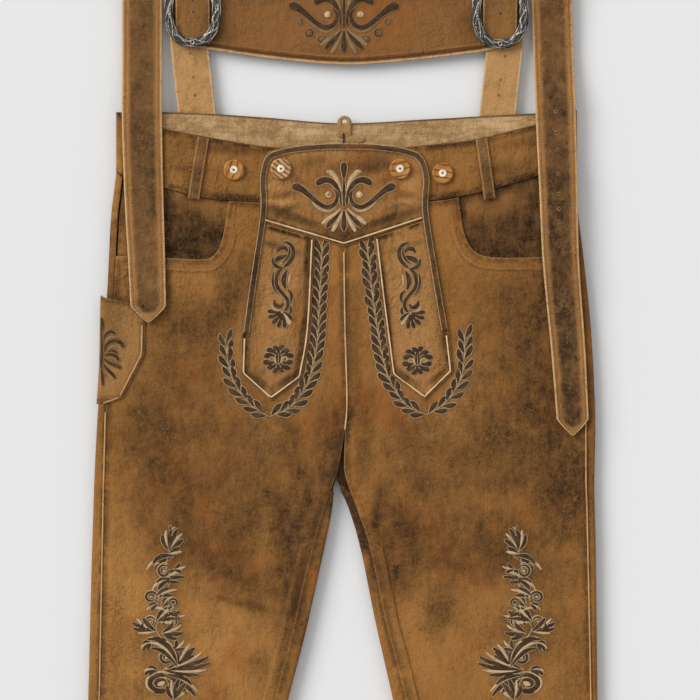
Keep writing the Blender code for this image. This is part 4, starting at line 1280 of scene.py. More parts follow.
def shade(red: float, green: float, blue: float) -> tuple[float, float, float, float]:
    """A display colour as a linear one.

    Args:
        red: Its red, 0 to 255.
        green: Its green.
        blue: Its blue.

    Returns:
        The linear colour, opaque.
    """

    def linear(value: float) -> float:
        """One channel."""
        part = value / 255
        return part / 12.92 if part <= 0.04045 else ((part + 0.055) / 1.055) ** 2.4

    return (linear(red), linear(green), linear(blue), 1.0)


FLOOR_TONE = shade(229, 229, 229)


def add_node(tree: bpy.types.NodeTree, kind: str, inputs: dict, settings: dict) -> Node:
    """Add a node to a tree.

    Args:
        tree: The tree.
        kind: The node's type.
        inputs: Values or sockets to link, by the input's name or number.
        settings: The node's properties.

    Returns:
        The node.
    """
    node = tree.nodes.new(kind)
    for key, value in settings.items():
        setattr(node, key, value)
    for key, value in inputs.items():
        if isinstance(value, Socket):
            tree.links.new(value, node.inputs[key])
        else:
            node.inputs[key].default_value = value
    return node


class Graph:
    """A material's nodes, written as calls that hand on their output sockets."""

    def __init__(self, name: str) -> None:
        """Start a material with a plain surface shader.

        Args:
            name: The material's name.
        """
        self.material = bpy.data.materials.new(name)
        self.material.use_nodes = True
        self.tree = self.material.node_tree
        self.shader = self.tree.nodes["Principled BSDF"]
        self.places = self.tree.nodes.new("ShaderNodeTexCoord")

    def node(self, kind: str, inputs: dict, **settings: object) -> Node:
        """Add a node with its inputs and its properties."""
        return add_node(self.tree, kind, inputs, settings)

    def math(self, operation: str, a: Value, b: Value = 0.0) -> Socket:
        """One sum on two numbers."""
        return self.node("ShaderNodeMath", {0: a, 1: b}, operation=operation).outputs[0]

    def times(self, a: Value, b: Value) -> Socket:
        """a times b."""
        return self.math("MULTIPLY", a, b)

    def times_plus(self, a: Value, b: Value, c: Value, clamp: bool = False) -> Socket:
        """a times b plus c."""
        inputs = {0: a, 1: b, 2: c}
        return self.node("ShaderNodeMath", inputs, operation="MULTIPLY_ADD", use_clamp=clamp).outputs[0]

    def between(self, value: Value, low: float, high: float) -> Socket:
        """0 at low, 1 at high and smooth between."""
        inputs = {"Value": value, "From Min": low, "From Max": high}
        return self.node("ShaderNodeMapRange", inputs, interpolation_type="SMOOTHSTEP").outputs[0]

    def falling(self, value: Value, low: float, high: float) -> Socket:
        """1 at low, 0 at high and smooth between."""
        return self.math("SUBTRACT", 1.0, self.between(value, low, high))

    def ridge(self, value: Value, up: Pair, down: Pair) -> Socket:
        """A rise over one range and a fall over another."""
        return self.times(self.between(value, *up), self.falling(value, *down))

    def mix(self, share: Value, a: Value, b: Value) -> Socket:
        """A colour between two colours."""
        return self.node("ShaderNodeMix", {0: share, 6: a, 7: b}, data_type="RGBA").outputs[2]

    def over(self, colour: Value, tone: Value, mask: Socket, share: Value) -> Socket:
        """A colour with a tone laid over it, as much of it as the mask times the share."""
        return self.mix(self.times(mask, share), colour, tone)

    def shaded(self, colour: Socket, light: Socket) -> Socket:
        """A colour times how light it is."""
        inputs = {0: 1.0, 6: colour, 7: light}
        return self.node("ShaderNodeMix", inputs, data_type="RGBA", blend_type="MULTIPLY").outputs[2]

    def noise(
        self, scale: float, detail: float, where: Socket | None = None, rough: float = 0.55,
    ) -> Socket:
        """Cloudy noise from 0 to 1.

        Args:
            scale: Clouds in a metre, or in a unit of where.
            detail: How many finer layers it has.
            where: Its coordinates; the piece's own places by default.
            rough: How strong the finer layers are.

        Returns:
            The noise.
        """
        spot = self.places.outputs["Object"] if where is None else where
        inputs = {"Vector": spot, "Scale": scale, "Detail": detail, "Roughness": rough}
        return self.node("ShaderNodeTexNoise", inputs).outputs["Fac"]

    def even_noise(
        self, scale: float, detail: float, rough: float, where: Socket | None = None,
    ) -> Socket:
        """Cloudy noise about 0, half above it and half below."""
        return self.times_plus(self.noise(scale, detail, where, rough), 1.0, -0.5)

    def stretched(self, scale: Triple, turn: float = 0.0) -> Socket:
        """The piece's places, turned in radians and then scaled."""
        inputs = {"Vector": self.places.outputs["Object"], "Rotation": (0.0, 0.0, turn), "Scale": scale}
        return self.node("ShaderNodeMapping", inputs).outputs[0]

    def kept(self, name: str) -> Socket:
        """A number kept on the mesh."""
        return self.node("ShaderNodeAttribute", {}, attribute_name=name).outputs["Fac"]

    def bump(
        self, height: Socket, strength: float, distance: float, under: Socket | None = None,
    ) -> Socket:
        """A fine relief.

        Args:
            height: Its height.
            strength: How much of it shows.
            distance: How high it is, in metres.
            under: The relief that it lies on.

        Returns:
            The relief.
        """
        inputs = {"Height": height, "Strength": strength, "Distance": distance}
        if under is not None:
            inputs["Normal"] = under
        return self.node("ShaderNodeBump", inputs).outputs[0]

    def finish(self, colour: Socket, roughness: Value, normal: Socket, **plain: object) -> Material:
        """Set the shader.

        Args:
            colour: Its colour.
            roughness: Its roughness.
            normal: Its relief.
            **plain: Values that are the same all over, by the socket's name with underscores.

        Returns:
            The finished material.
        """
        sockets = self.shader.inputs
        for key, value in (("Base Color", colour), ("Roughness", roughness), ("Normal", normal)):
            if isinstance(value, Socket):
                self.tree.links.new(value, sockets[key])
            else:
                sockets[key].default_value = value
        for key, value in plain.items():
            sockets[key.replace("_", " ")].default_value = value
        return self.material


@dataclass(frozen=True)
class Noises:
    """The cloudy noises that a leather's marks share, all about 0, from large to fine."""

    clouds: Socket
    blots: Socket
    patches: Socket
    mottle: Socket
    scuffs: Socket


@dataclass(frozen=True)
class SuedeFinish:
    """Worn suede with listed stains and painted shade, rubbed places and painted highlights, cut edges and a
    flesh side.
    """

    name: str
    tan: tuple = shade(158, 108, 55)
    pale: tuple = shade(184, 131, 71)
    dark: tuple = shade(66, 45, 27)
    rust: tuple = shade(150, 90, 42)
    flesh: tuple = shade(36, 26, 17)
    flesh_worn: tuple = shade(48, 34, 22)
    cut_edge: tuple = shade(176, 134, 84)
    edge_width: float = 0.45
    edge_dark: float = 0.55
    stain_and_shade_gain: float = 1.0
    wear: float = 1.0
    grain: float = 1.0
    # How strong the turned edges' painted highlight on the ridge and painted shade in the crease are, and
    # their relief.
    turned_edge: float = 0.0
    pucker: float = 0.0
    worn_band: float = 0.0
    inset: float = 0.0
    edge_reach: float = 8.5
    # How strong the rolled edge's painted shade in its groove and painted highlight on its swell are, and
    # their relief.
    rolled: float = 0.0
    streaks: float = 0.0

    def make(self) -> Material:
        """Build the finish.

        Returns:
            The material.
        """
        g = Graph(self.name)
        n = Noises(
            clouds=g.even_noise(15.0, 8.0, 0.60),
            blots=g.even_noise(42.0, 7.0, 0.68),
            patches=g.even_noise(125.0, 6.0, 0.72),
            mottle=g.even_noise(430.0, 4.0, 0.75),
            scuffs=g.even_noise(170.0, 5.0, 0.72, g.stretched((1.0, 0.30, 1.0), 0.35)),
        )
        # Stains and painted shade, as kept on the mesh.
        stain_and_shade = g.times(g.kept("stain_and_shade"), self.stain_and_shade_gain)
        colour = self.face(g, n, self.darkness(g, n, stain_and_shade))
        rim = g.times_plus(n.patches, 1.2, g.kept("rim"))
        handled = g.ridge(rim, (0.4, 1.6), (2.4, self.edge_reach))
        uneven = g.between(g.times_plus(n.blots, 1.0, g.times_plus(n.patches, 0.8, 0.5)), 0.32, 0.56)
        colour = g.over(colour, self.dark, g.times(handled, uneven), self.edge_dark)
        # Turned edges: a painted highlight along the raised ridge and painted shade in the crease beside it.
        if self.turned_edge:
            fold = g.times_plus(n.patches, 3.0, g.kept("hem"))
            ridge = g.ridge(fold, (5.0, 9.5), (11.6, 14.0))
            crease_shade = g.ridge(fold, (11.2, 12.6), (12.8, 16.0))
            shown = g.times(ridge, g.between(g.times_plus(n.blots, 1.0, 0.5), 0.30, 0.6))
            colour = g.over(colour, self.pale, shown, 0.30 * self.turned_edge)
            colour = g.over(colour, self.dark, crease_shade, 0.35 * self.turned_edge)
        fleshy = self.flesh_side(g, n, stain_and_shade)
        colour = g.mix(g.kept("inside"), colour, fleshy)
        bare = g.falling(rim, self.edge_width * 0.6, self.edge_width * 1.4)
        colour = g.over(colour, self.cut_edge, bare, 0.75)
        # Rolled edge: painted shade in the groove behind the bead and a painted highlight on the swell.
        if self.rolled:
            bead = g.times_plus(n.patches, 1.0, g.kept("rim"))
            cut = g.ridge(bead, (3.2, 4.2), (4.8, 6.4))
            swell = g.ridge(bead, (5.8, 7.2), (7.8, 9.8))
            colour = g.over(colour, self.dark, cut, 0.80 * self.rolled)
            colour = g.over(colour, self.pale, swell, 0.45 * self.rolled)
        colour = g.shaded(colour, g.times_plus(g.noise(1500.0, 3.0), 0.44, 0.78))
        spots = {"Vector": g.places.outputs["Object"], "Scale": 620.0}
        pebbles = g.node("ShaderNodeTexVoronoi", spots, feature="SMOOTH_F1").outputs["Distance"]
        wrinkle = self.wrinkles(g, n)
        colour = g.over(colour, self.pale, wrinkle, 0.30 * self.grain)
        relief = self.grained(g, n, pebbles, wrinkle)
        if self.turned_edge:
            relief = g.bump(ridge, 1.0, 0.0014 * self.turned_edge, relief)
        if self.rolled:
            hump = g.times_plus(swell, 0.45, g.falling(bead, 1.2, 4.4))
            relief = g.bump(hump, 1.0, 0.0022 * self.rolled, relief)
        rough = g.times_plus(n.mottle, 0.25, 0.82)
        return g.finish(
            colour, rough, relief, Sheen_Weight=0.08, Sheen_Roughness=0.5, Sheen_Tint=shade(206, 160, 110),
            Specular_IOR_Level=0.10,
        )

    def darkness(self, g: Graph, n: Noises, stain_and_shade: Socket) -> Socket:
        """How much of the dark tone the face takes.

        Args:
            g: The graph.
            n: Its noises.
            stain_and_shade: The listed stains and painted shade.

        Returns:
            The share, from 0 to 1.
        """
        room = g.times_plus(stain_and_shade, 0.42 * self.wear, 0.40 * self.wear)
        ragged = g.times_plus(n.blots, 0.9, g.times_plus(n.patches, 0.6, stain_and_shade))
        smudge = g.times(g.between(ragged, 0.10, 0.75), 0.10)
        wander = g.times_plus(n.blots, 1.5, g.times_plus(n.patches, 1.25, n.scuffs))
        wander = g.times_plus(n.mottle, 1.05, g.times_plus(n.clouds, 1.2, wander))
        share = g.times_plus(wander, room, g.times_plus(stain_and_shade, 0.74, smudge))
        share = g.math("ADD", share, 0.065 * self.wear)
        if self.worn_band:
            across = g.times_plus(n.blots, 0.40, g.math("ABSOLUTE", g.kept("across")))
            band = g.falling(g.times_plus(n.scuffs, 0.20, across), 0.56, 0.80)
            if self.inset:
                clear = g.times_plus(n.patches, 6.0, g.kept("rim"))
                band = g.times(band, g.between(clear, self.inset * 0.27, self.inset))
            depth = g.times_plus(n.patches, 0.3, g.times_plus(n.scuffs, 0.25, self.worn_band))
            share = g.times_plus(band, g.times_plus(n.blots, 0.8, depth), share)
        return g.math("MINIMUM", g.math("MAXIMUM", share, 0.0), 1.0)

    def face(self, g: Graph, n: Noises, share: Socket) -> Socket:
        """The face's colour: tan, paler where it is rubbed and where highlights are painted, ruddy in
        drifts, and darkened by stains and painted shade.

        Args:
            g: The graph.
            n: Its noises.
            share: How much of the dark tone it takes.

        Returns:
            The colour.
        """
        light = g.times_plus(n.blots, 0.8, g.times_plus(g.kept("rubbed_and_highlit"), 0.85, 0.12))
        ground = g.mix(g.times_plus(n.patches, 0.9, light, clamp=True), self.tan, self.pale)
        ruddy = g.between(g.noise(11.0, 5.0, g.stretched((1.0, 1.0, 1.0), 1.1)), 0.50, 0.68)
        return g.mix(share, g.over(ground, self.rust, ruddy, 0.55 * self.wear), self.dark)

    def flesh_side(self, g: Graph, n: Noises, stain_and_shade: Socket) -> Socket:
        """The flesh side's colour, darkened by stains and painted shade.

        Args:
            g: The graph.
            n: Its noises.
            stain_and_shade: The listed stains and painted shade.

        Returns:
            The colour.
        """
        cloudy = g.times_plus(n.patches, 0.7, g.times_plus(n.clouds, 0.8, 0.5))
        fleshy = g.mix(g.between(cloudy, 0.36, 0.66), self.flesh, self.flesh_worn)
        if self.streaks:
            drawn = g.noise(150.0, 5.0, g.stretched((0.10, 1.0, 1.0), 0.03), rough=0.6)
            fleshy = g.over(fleshy, self.flesh_worn, g.between(drawn, 0.44, 0.62), self.streaks)
        return g.over(fleshy, self.dark, stain_and_shade, 0.6)

    @staticmethod
    def wrinkles(g: Graph, n: Noises) -> Socket:
        """Fine wrinkles in worn places.

        Args:
            g: The graph.
            n: Its noises.

        Returns:
            1 along each wrinkle and 0 between.
        """
        place = g.places.outputs["Object"]
        drift = g.node("ShaderNodeTexNoise", {"Vector": place, "Scale": 60.0, "Detail": 3.0})
        bent = {0: drift.outputs["Color"], 1: (0.022, 0.022, 0.022), 2: place}
        bent = g.node("ShaderNodeVectorMath", bent, operation="MULTIPLY_ADD").outputs[0]
        cells = {"Vector": bent, "Scale": 118.0}
        cells = g.node("ShaderNodeTexVoronoi", cells, feature="DISTANCE_TO_EDGE").outputs["Distance"]
        worn_through = g.between(g.times_plus(n.clouds, 1.0, n.blots), -0.04, 0.22)
        return g.times(g.falling(cells, 0.0, 0.10), worn_through)

    def grained(self, g: Graph, n: Noises, pebbles: Socket, wrinkle: Socket) -> Socket:
        """The relief of the leather's puckers, scuffs, wrinkles and grain.

        Args:
            g: The graph.
            n: Its noises.
            pebbles: The pebbled grain.
            wrinkle: The wrinkles.

        Returns:
            The relief.
        """
        relief = g.bump(n.blots, 0.6, 0.010 + 0.012 * self.pucker)
        gathers = g.noise(34.0, 3.0, g.stretched((1.0, 0.42, 1.0), -0.6))
        relief = g.bump(gathers, 0.8 * self.pucker, 0.022, relief)
        relief = g.bump(n.patches, 0.5, 0.0040, relief)
        relief = g.bump(n.scuffs, 0.6, 0.0030, relief)
        relief = g.bump(wrinkle, 0.9 * self.grain, 0.0007, relief)
        relief = g.bump(g.times_plus(pebbles, -0.5, n.mottle), 0.75 * self.grain, 0.0008, relief)
        return g.bump(g.noise(1900.0, 2.0), 0.4 * self.grain, 0.0003, relief)


@dataclass(frozen=True)
class ThreadFinish:
    """Twisted thread, its turns read along the stitch, with painted shade between them."""

    name: str
    colour: tuple
    worn: tuple
    pitch: float = 0.9
    slant: float = 0.35

    def make(self) -> Material:
        """Build the finish.

        Returns:
            The material.
        """
        g = Graph(self.name)
        parts = g.node("ShaderNodeSeparateXYZ", {0: g.places.outputs["UV"]}).outputs
        lean = g.times(parts[1], self.slant * 6.0)
        phase = g.times_plus(parts[0], 2 * math.pi / self.pitch, lean)
        twist = g.times_plus(g.math("SINE", phase), 0.5, 0.5)
        worn = g.between(g.noise(120.0, 5.0, rough=0.7), 0.42, 0.70)
        colour = g.over(self.colour, self.worn, worn, 0.7)
        # Painted shade between the thread's turns.
        colour = g.shaded(colour, g.times_plus(twist, 0.35, 0.65))
        relief = g.bump(twist, 0.6, 0.00025)
        return g.finish(
            colour, 0.7, relief, Sheen_Weight=0.03, Sheen_Roughness=0.4, Specular_IOR_Level=0.15,
        )


@dataclass(frozen=True)
class PipingFinish:
    """Pale rolled leather with dirt in patches."""

    name: str
    colour: tuple = shade(220, 188, 140)
    dirt: tuple = shade(158, 118, 76)

    def make(self) -> Material:
        """Build the finish.

        Returns:
            The material.
        """
        g = Graph(self.name)
        dirt = g.between(g.noise(60.0, 6.0, rough=0.7), 0.46, 0.74)
        colour = g.over(self.colour, self.dirt, dirt, 0.75)
        relief = g.bump(g.noise(900.0, 4.0), 0.4, 0.0003)
        return g.finish(colour, g.times_plus(dirt, 0.15, 0.62), relief, Sheen_Weight=0.1)


@dataclass(frozen=True)
class HornFinish:
    """Polished horn with curved growth lines."""

    name: str
    amber: tuple = shade(166, 108, 40)
    line: tuple = shade(84, 46, 16)
    pale: tuple = shade(188, 134, 62)
    spread: float = 0.050
    low: float = 0.74
    high: float = 0.96

    def make(self) -> Material:
        """Build the finish.

        Returns:
            The material.
        """
        g = Graph(self.name)
        uv = g.places.outputs["UV"]
        inputs = {
            "Vector": uv, "Scale": self.spread, "Distortion": 4.2, "Detail": 2.0, "Detail Scale": 0.35,
            "Detail Roughness": 0.5,
        }
        growth = g.node("ShaderNodeTexWave", inputs, wave_type="BANDS", bands_direction="X").outputs["Fac"]
        cloud = g.noise(0.13, 4.0, uv)
        colour = g.mix(g.between(cloud, 0.42, 0.72), self.amber, self.pale)
        colour = g.over(colour, self.line, g.between(growth, self.low, self.high), 0.80)
        colour = g.over(colour, self.pale, g.kept("rimmed"), 0.30)
        relief = g.bump(growth, 0.25, 0.0003)
        return g.finish(
            colour, g.times_plus(cloud, 0.12, 0.40), relief, Coat_Weight=0.08, Coat_Roughness=0.3,
            Specular_IOR_Level=0.25,
        )


@dataclass(frozen=True)
class SilverFinish:
    """Cast silver, dark in its hollows and rubbed bright on its high places."""

    name: str
    bright: tuple = shade(182, 176, 164)
    hollow: tuple = shade(68, 64, 60)
    hollow_below: float = 0.28
    bright_above: float = 0.84

    def make(self) -> Material:
        """Build the finish.

        Returns:
            The material.
        """
        g = Graph(self.name)
        tarnish = g.noise(260.0, 5.0, rough=0.7)
        height = g.times_plus(g.times_plus(tarnish, 1.0, -0.5), 1.1, g.kept("relief"))
        high = g.between(height, self.hollow_below, self.bright_above)
        colour = g.mix(high, self.hollow, self.bright)
        rough = g.times_plus(high, -0.30, 0.62)
        relief = g.bump(tarnish, 0.35, 0.0003)
        return g.finish(colour, rough, relief, Metallic=0.85)


@dataclass(frozen=True)
class PlainFinish:
    """A quiet finish with a little cloudiness."""

    name: str
    colour: tuple
    second: tuple
    roughness: float
    scale: float = 200.0

    def make(self) -> Material:
        """Build the finish.

        Returns:
            The material.
        """
        g = Graph(self.name)
        cloud = g.noise(self.scale, 4.0)
        colour = g.mix(g.between(cloud, 0.35, 0.7), self.colour, self.second)
        return g.finish(colour, self.roughness, g.bump(cloud, 0.15, 0.0003))


class Slot(Enum):
    """The material slots of the garment's record."""

    TAN = "tan_leather"
    STRAP = "strap_leather"
    DARK = "dark_leather"
    PIPING = "pale_piping"
    HORN = "horn"
    SILVER = "antique_silver"
    THREAD = "thread"


AnyFinish = SuedeFinish | ThreadFinish | PipingFinish | HornFinish | SilverFinish | PlainFinish


def finish_field(finish: AnyFinish) -> Material:
    """A dataclass field that makes a finish's material when its owner is made."""
    return field(default_factory=finish.make)


@dataclass
class Finishes:
    """Every finish, made once."""

    body: Material = finish_field(SuedeFinish("suede_body", wear=1.15, turned_edge=0.7))
    trim: Material = finish_field(SuedeFinish(
        "suede_trim", tan=shade(167, 117, 64), pale=shade(200, 148, 90), cut_edge=shade(150, 108, 64),
        edge_width=0.7, edge_dark=1.1, edge_reach=7.2, wear=0.95, pucker=0.9,
    ))
    band: Material = finish_field(SuedeFinish(
        "suede_waistband", tan=shade(152, 104, 54), cut_edge=shade(76, 52, 32), edge_width=0.9,
        edge_dark=0.95, wear=0.95, pucker=0.9,
    ))
    facing: Material = finish_field(SuedeFinish(
        "suede_facing", tan=shade(146, 101, 55), pale=shade(164, 118, 66), dark=shade(46, 32, 20),
        cut_edge=shade(104, 74, 46), wear=1.0,
    ))
    binding: Material = finish_field(SuedeFinish(
        "suede_binding", tan=shade(80, 60, 42), pale=shade(158, 124, 86), dark=shade(28, 21, 16),
        cut_edge=shade(208, 170, 124), edge_width=0.75, edge_dark=0.0, wear=1.9, grain=0.7,
    ))
    strap: Material = finish_field(SuedeFinish(
        "suede_strap", tan=shade(174, 125, 73), pale=shade(196, 148, 92), dark=shade(68, 48, 31),
        flesh=shade(196, 150, 96), flesh_worn=shade(180, 135, 84), cut_edge=shade(224, 188, 140),
        edge_width=1.55, edge_dark=0.0, stain_and_shade_gain=0.45, wear=0.60, worn_band=0.62, inset=10.5,
    ))
    loop: Material = finish_field(SuedeFinish(
        "suede_loop", tan=shade(174, 125, 73), pale=shade(196, 148, 92), dark=shade(40, 29, 19),
        edge_width=0.6, edge_dark=0.0, stain_and_shade_gain=0.3, wear=0.8, worn_band=0.48,
    ))
    pocket: Material = finish_field(SuedeFinish(
        "suede_knife_pocket", tan=shade(170, 121, 68), pale=shade(192, 142, 86), edge_dark=0.6, wear=0.7,
    ))
    hanger: Material = finish_field(SuedeFinish(
        "suede_hanger", tan=shade(180, 140, 92), pale=shade(204, 166, 118), cut_edge=shade(206, 168, 120),
        edge_dark=0.1, stain_and_shade_gain=0.1, wear=0.5,
    ))
    band_inside: Material = finish_field(SuedeFinish(
        "suede_band_back", flesh=shade(208, 172, 124), flesh_worn=shade(160, 124, 82),
        cut_edge=shade(70, 50, 32), edge_width=2.0, stain_and_shade_gain=0.4, streaks=0.7,
    ))
    bib: Material = finish_field(SuedeFinish(
        "suede_bib", tan=shade(146, 100, 55), pale=shade(160, 114, 66), dark=shade(66, 46, 29),
        cut_edge=shade(222, 182, 130), edge_width=2.4, edge_dark=0.25, wear=0.9, rolled=1.0,
    ))
    tab: Material = finish_field(SuedeFinish(
        "suede_tab", tan=shade(150, 105, 58), pale=shade(172, 126, 76), dark=shade(76, 54, 34),
        cut_edge=shade(196, 160, 112), edge_width=1.3, edge_dark=0.3, wear=0.7,
    ))
    strap_hole: Material = finish_field(
        PlainFinish("punched_lip", shade(150, 116, 76), shade(110, 82, 54), 0.8)
    )
    # Painted shade in the punched holes: paler in the back parts' holes, dark in the others and in the
    # hanger's slit.
    pale_hole_shade: Material = finish_field(
        PlainFinish("pale_hole_shade", shade(132, 98, 62), shade(106, 78, 50), 0.9)
    )
    hole_shade: Material = finish_field(
        PlainFinish("painted_hole_shade", shade(40, 28, 20), shade(30, 22, 16), 0.9)
    )
    piping: Material = finish_field(PipingFinish("rolled_piping"))
    centre_piping: Material = finish_field(
        PipingFinish("centre_piping", shade(202, 164, 114), shade(150, 110, 68))
    )
    seam_piping: Material = finish_field(
        PipingFinish("seam_piping", shade(188, 147, 95), shade(134, 96, 58))
    )
    dark_thread: Material = finish_field(
        ThreadFinish("dark_satin_thread", shade(70, 50, 33), shade(118, 88, 59), pitch=0.55, slant=0.0)
    )
    cream_thread: Material = finish_field(
        ThreadFinish("cream_satin", shade(212, 182, 140), shade(156, 124, 84))
    )
    cord_thread: Material = finish_field(
        ThreadFinish("cream_cord", shade(204, 174, 132), shade(130, 100, 66))
    )
    quiet_thread: Material = finish_field(
        ThreadFinish("quiet_cord", shade(160, 126, 84), shade(112, 84, 54))
    )
    seam_thread: Material = finish_field(
        ThreadFinish("seam_thread", shade(146, 104, 60), shade(104, 74, 44))
    )
    rust_thread: Material = finish_field(
        ThreadFinish("rust_thread", shade(150, 82, 38), shade(104, 60, 32))
    )
    horn: Material = finish_field(HornFinish("turned_horn"))
    striped_horn: Material = finish_field(HornFinish(
        "striped_horn", amber=shade(186, 132, 72), pale=shade(216, 178, 124), line=shade(84, 52, 28),
        spread=0.072, low=0.40, high=0.66,
    ))
    silver: Material = finish_field(SilverFinish("cast_silver"))
    bone: Material = finish_field(PlainFinish("bone", shade(238, 230, 212), shade(208, 194, 170), 0.45))
    stud: Material = finish_field(
        PlainFinish("stud_metal", shade(206, 178, 132), shade(140, 106, 68), 0.4)
    )
    pin: Material = finish_field(PlainFinish("pin", shade(62, 48, 38), shade(40, 30, 24), 0.5))
    floor: Material = finish_field(PlainFinish("floor", FLOOR_TONE, FLOOR_TONE, 1.0))


# ---------------------------------------------------------------------------------------------
# What repeats along a route


def route_curve(name: str, lines: Sequence[Array]) -> Piece:
    """A curve object of open routes.

    Args:
        name: Its name.
        lines: The routes' points, in mm.

    Returns:
        The curve object.
    """
    curve = bpy.data.curves.new(name, "CURVE")
    curve.dimensions = "3D"
    for line in lines:
        spline = curve.splines.new("POLY")
        spline.points.add(len(line) - 1)
        flat = np.column_stack([to_frame(line), np.ones(len(line))])
        spline.points.foreach_set("co", flat.astype(np.float32).ravel())
    obj = bpy.data.objects.new(name, curve)
    bpy.context.scene.collection.objects.link(obj)
    return obj


TREE_INPUTS = {
    "Route": "Geometry", "Pitch": "Float", "Size": "Vector", "Unevenness": "Float", "Seed": "Int",
    "Material": "Material",
}


def repeat_tree(unit: Piece | None) -> bpy.types.NodeTree:
    """A tree that sets a unit along every route, turned to run with it.

    Args:
        unit: The object to repeat, its length along X, or None for a plain stitch.

    Returns:
        The tree, with inputs for the pitch, the unit's size, the unevenness, seed and material.
    """
    tree = bpy.data.node_groups.new("repeat_along_route", "GeometryNodeTree")
    for name, kind in TREE_INPUTS.items():
        tree.interface.new_socket(name, in_out="INPUT", socket_type="NodeSocket" + kind)
    tree.interface.new_socket("Pieces", in_out="OUTPUT", socket_type="NodeSocketGeometry")

    def node(kind: str, inputs: dict, out: int | str = 0, **settings: object) -> Socket:
        """Add a node, and hand on one of its outputs."""
        return add_node(tree, kind, inputs, settings).outputs[out]

    def sum_of(operation: str, a: Value, b: Value) -> Socket:
        """One sum on two numbers."""
        return node("ShaderNodeMath", {0: a, 1: b}, operation=operation)

    given = tree.nodes.new("NodeGroupInput").outputs
    uneven, seed = given["Unevenness"], given["Seed"]
    route = {"Curve": given["Route"], "Length": given["Pitch"]}
    points = add_node(tree, "GeometryNodeCurveToPoints", route, {"mode": "LENGTH"}).outputs
    align = "FunctionNodeAlignRotationToVector"
    run = node(align, {"Vector": points["Tangent"]}, axis="X")
    level = node(align, {"Rotation": run, "Vector": (0.0, 0.0, 1.0)}, axis="Z", pivot_axis="X")
    spread = {2: sum_of("MULTIPLY", uneven, -1.0), 3: uneven, "Seed": seed}
    jitter = node("FunctionNodeRandomValue", spread, 1, data_type="FLOAT")
    spin = node("ShaderNodeCombineXYZ", {"Z": jitter})
    spun = {"Rotation": level, "Rotate By": spin}
    turn = node("FunctionNodeRotateRotation", spun, rotation_space="LOCAL")
    if unit is None:
        ball = node("GeometryNodeMeshUVSphere", {"Segments": 6, "Rings": 4, "Radius": 0.5})
        lying = {"Geometry": ball, "Rotation": (0.0, math.pi / 2, 0.0)}
        single = node("GeometryNodeTransform", lying)
    else:
        single = node("GeometryNodeObjectInfo", {"Object": unit}, "Geometry")
    range_of = {2: sum_of("SUBTRACT", 1.0, uneven), 3: sum_of("ADD", 1.0, uneven), "Seed": seed}
    grow = node("FunctionNodeRandomValue", range_of, 1, data_type="FLOAT")
    scale = node("ShaderNodeVectorMath", {0: given["Size"], "Scale": grow}, operation="SCALE")
    placed_units = {"Points": points["Points"], "Instance": single, "Rotation": turn, "Scale": scale}
    units = node("GeometryNodeInstanceOnPoints", placed_units)
    real = node("GeometryNodeRealizeInstances", {"Geometry": units})
    paint = node("GeometryNodeSetMaterial", {"Geometry": real, "Material": given["Material"]})
    add_node(tree, "NodeGroupOutput", {"Pieces": paint}, {})
    return tree


@dataclass
class Repeat:
    """Units set along routes by a node tree, then made one plain mesh."""

    name: str
    material: Material
    pitch: float
    size: Triple
    unevenness: float = 0.06
    seed: int = 1
    unit: Piece | None = None
    lines: list = field(default_factory=list)

    def along(self, flat: Array, height: Height, lift: float) -> None:
        """Add a flat route, laid on a height.

        Args:
            flat: Its points.
            height: The height of what carries it.
            lift: How far above that it runs.
        """
        if len(flat) < 3:
            return
        self.lines.append(laid(even_steps(flat, 3.0), height, lift))

    def build(self) -> Piece:
        """Evaluate the tree and keep its result.

        Returns:
            The mesh object.
        """
        source = route_curve(self.name + "_route", self.lines)
        tree = repeat_tree(self.unit)
        modifier = source.modifiers.new("repeat", "NODES")
        modifier.node_group = tree
        values = {
            "Pitch": self.pitch * MM,
            "Size": tuple(value * MM for value in self.size) if self.unit is None else self.size,
            "Unevenness": self.unevenness,
            "Seed": self.seed,
            "Material": self.material,
        }
        for item in tree.interface.items_tree:
            if item.in_out == "INPUT" and item.name in values:
                modifier[item.identifier] = values[item.name]
        bpy.context.view_layer.update()
        evaluated = source.evaluated_get(bpy.context.evaluated_depsgraph_get())
        mesh = bpy.data.meshes.new_from_object(evaluated)
        mesh.name = self.name
        obj = bpy.data.objects.new(self.name, mesh)
        bpy.context.scene.collection.objects.link(obj)
        for old in (source, self.unit):
            if old is not None:
                bpy.data.objects.remove(old, do_unlink=True)
        bpy.data.node_groups.remove(tree)
        mesh.shade_smooth()
        return obj


# One stitch's length, width and height, and how far apart stitches are, in mm.
STITCH = (3.1, 0.75, 0.6)
STITCH_PITCH = 4.0


@dataclass
class Seams:
    """The lines of stitches of one sub-assembly."""

    name: str
    thread: Material
    size: Triple = STITCH
    pitch: float = STITCH_PITCH
    unevenness: float = 0.09
    lift: float = 0.08
    work: Repeat = field(init=False)

    def __post_init__(self) -> None:
        """Lay the thread ready."""
        self.work = Repeat(self.name, self.thread, self.pitch, self.size, self.unevenness)

    def run(self, flat: Array, height: Height) -> None:
        """Sew along a flat route on a height."""
        self.work.along(flat, height, self.lift)

    def finish(self) -> Piece:
        """Make the stitches, and let them ride on the garment.

        Returns:
            The stitches.
        """
        return settle(self.work.build(), Slot.THREAD)


def settle(obj: Piece, slot: Slot, *nodes: str) -> Piece:
    """Let a piece ride on the garment and stand for CAD nodes.

    Args:
        obj: The piece.
        slot: Not used.
        *nodes: The nodes that it replaces.

    Returns:
        The piece.
    """
    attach(obj, "root")
    if nodes:
        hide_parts(*nodes)
    count = sum(len(face.vertices) - 2 for face in obj.data.polygons)
    log.info("%s: %d triangles", obj.name, count)
    return obj


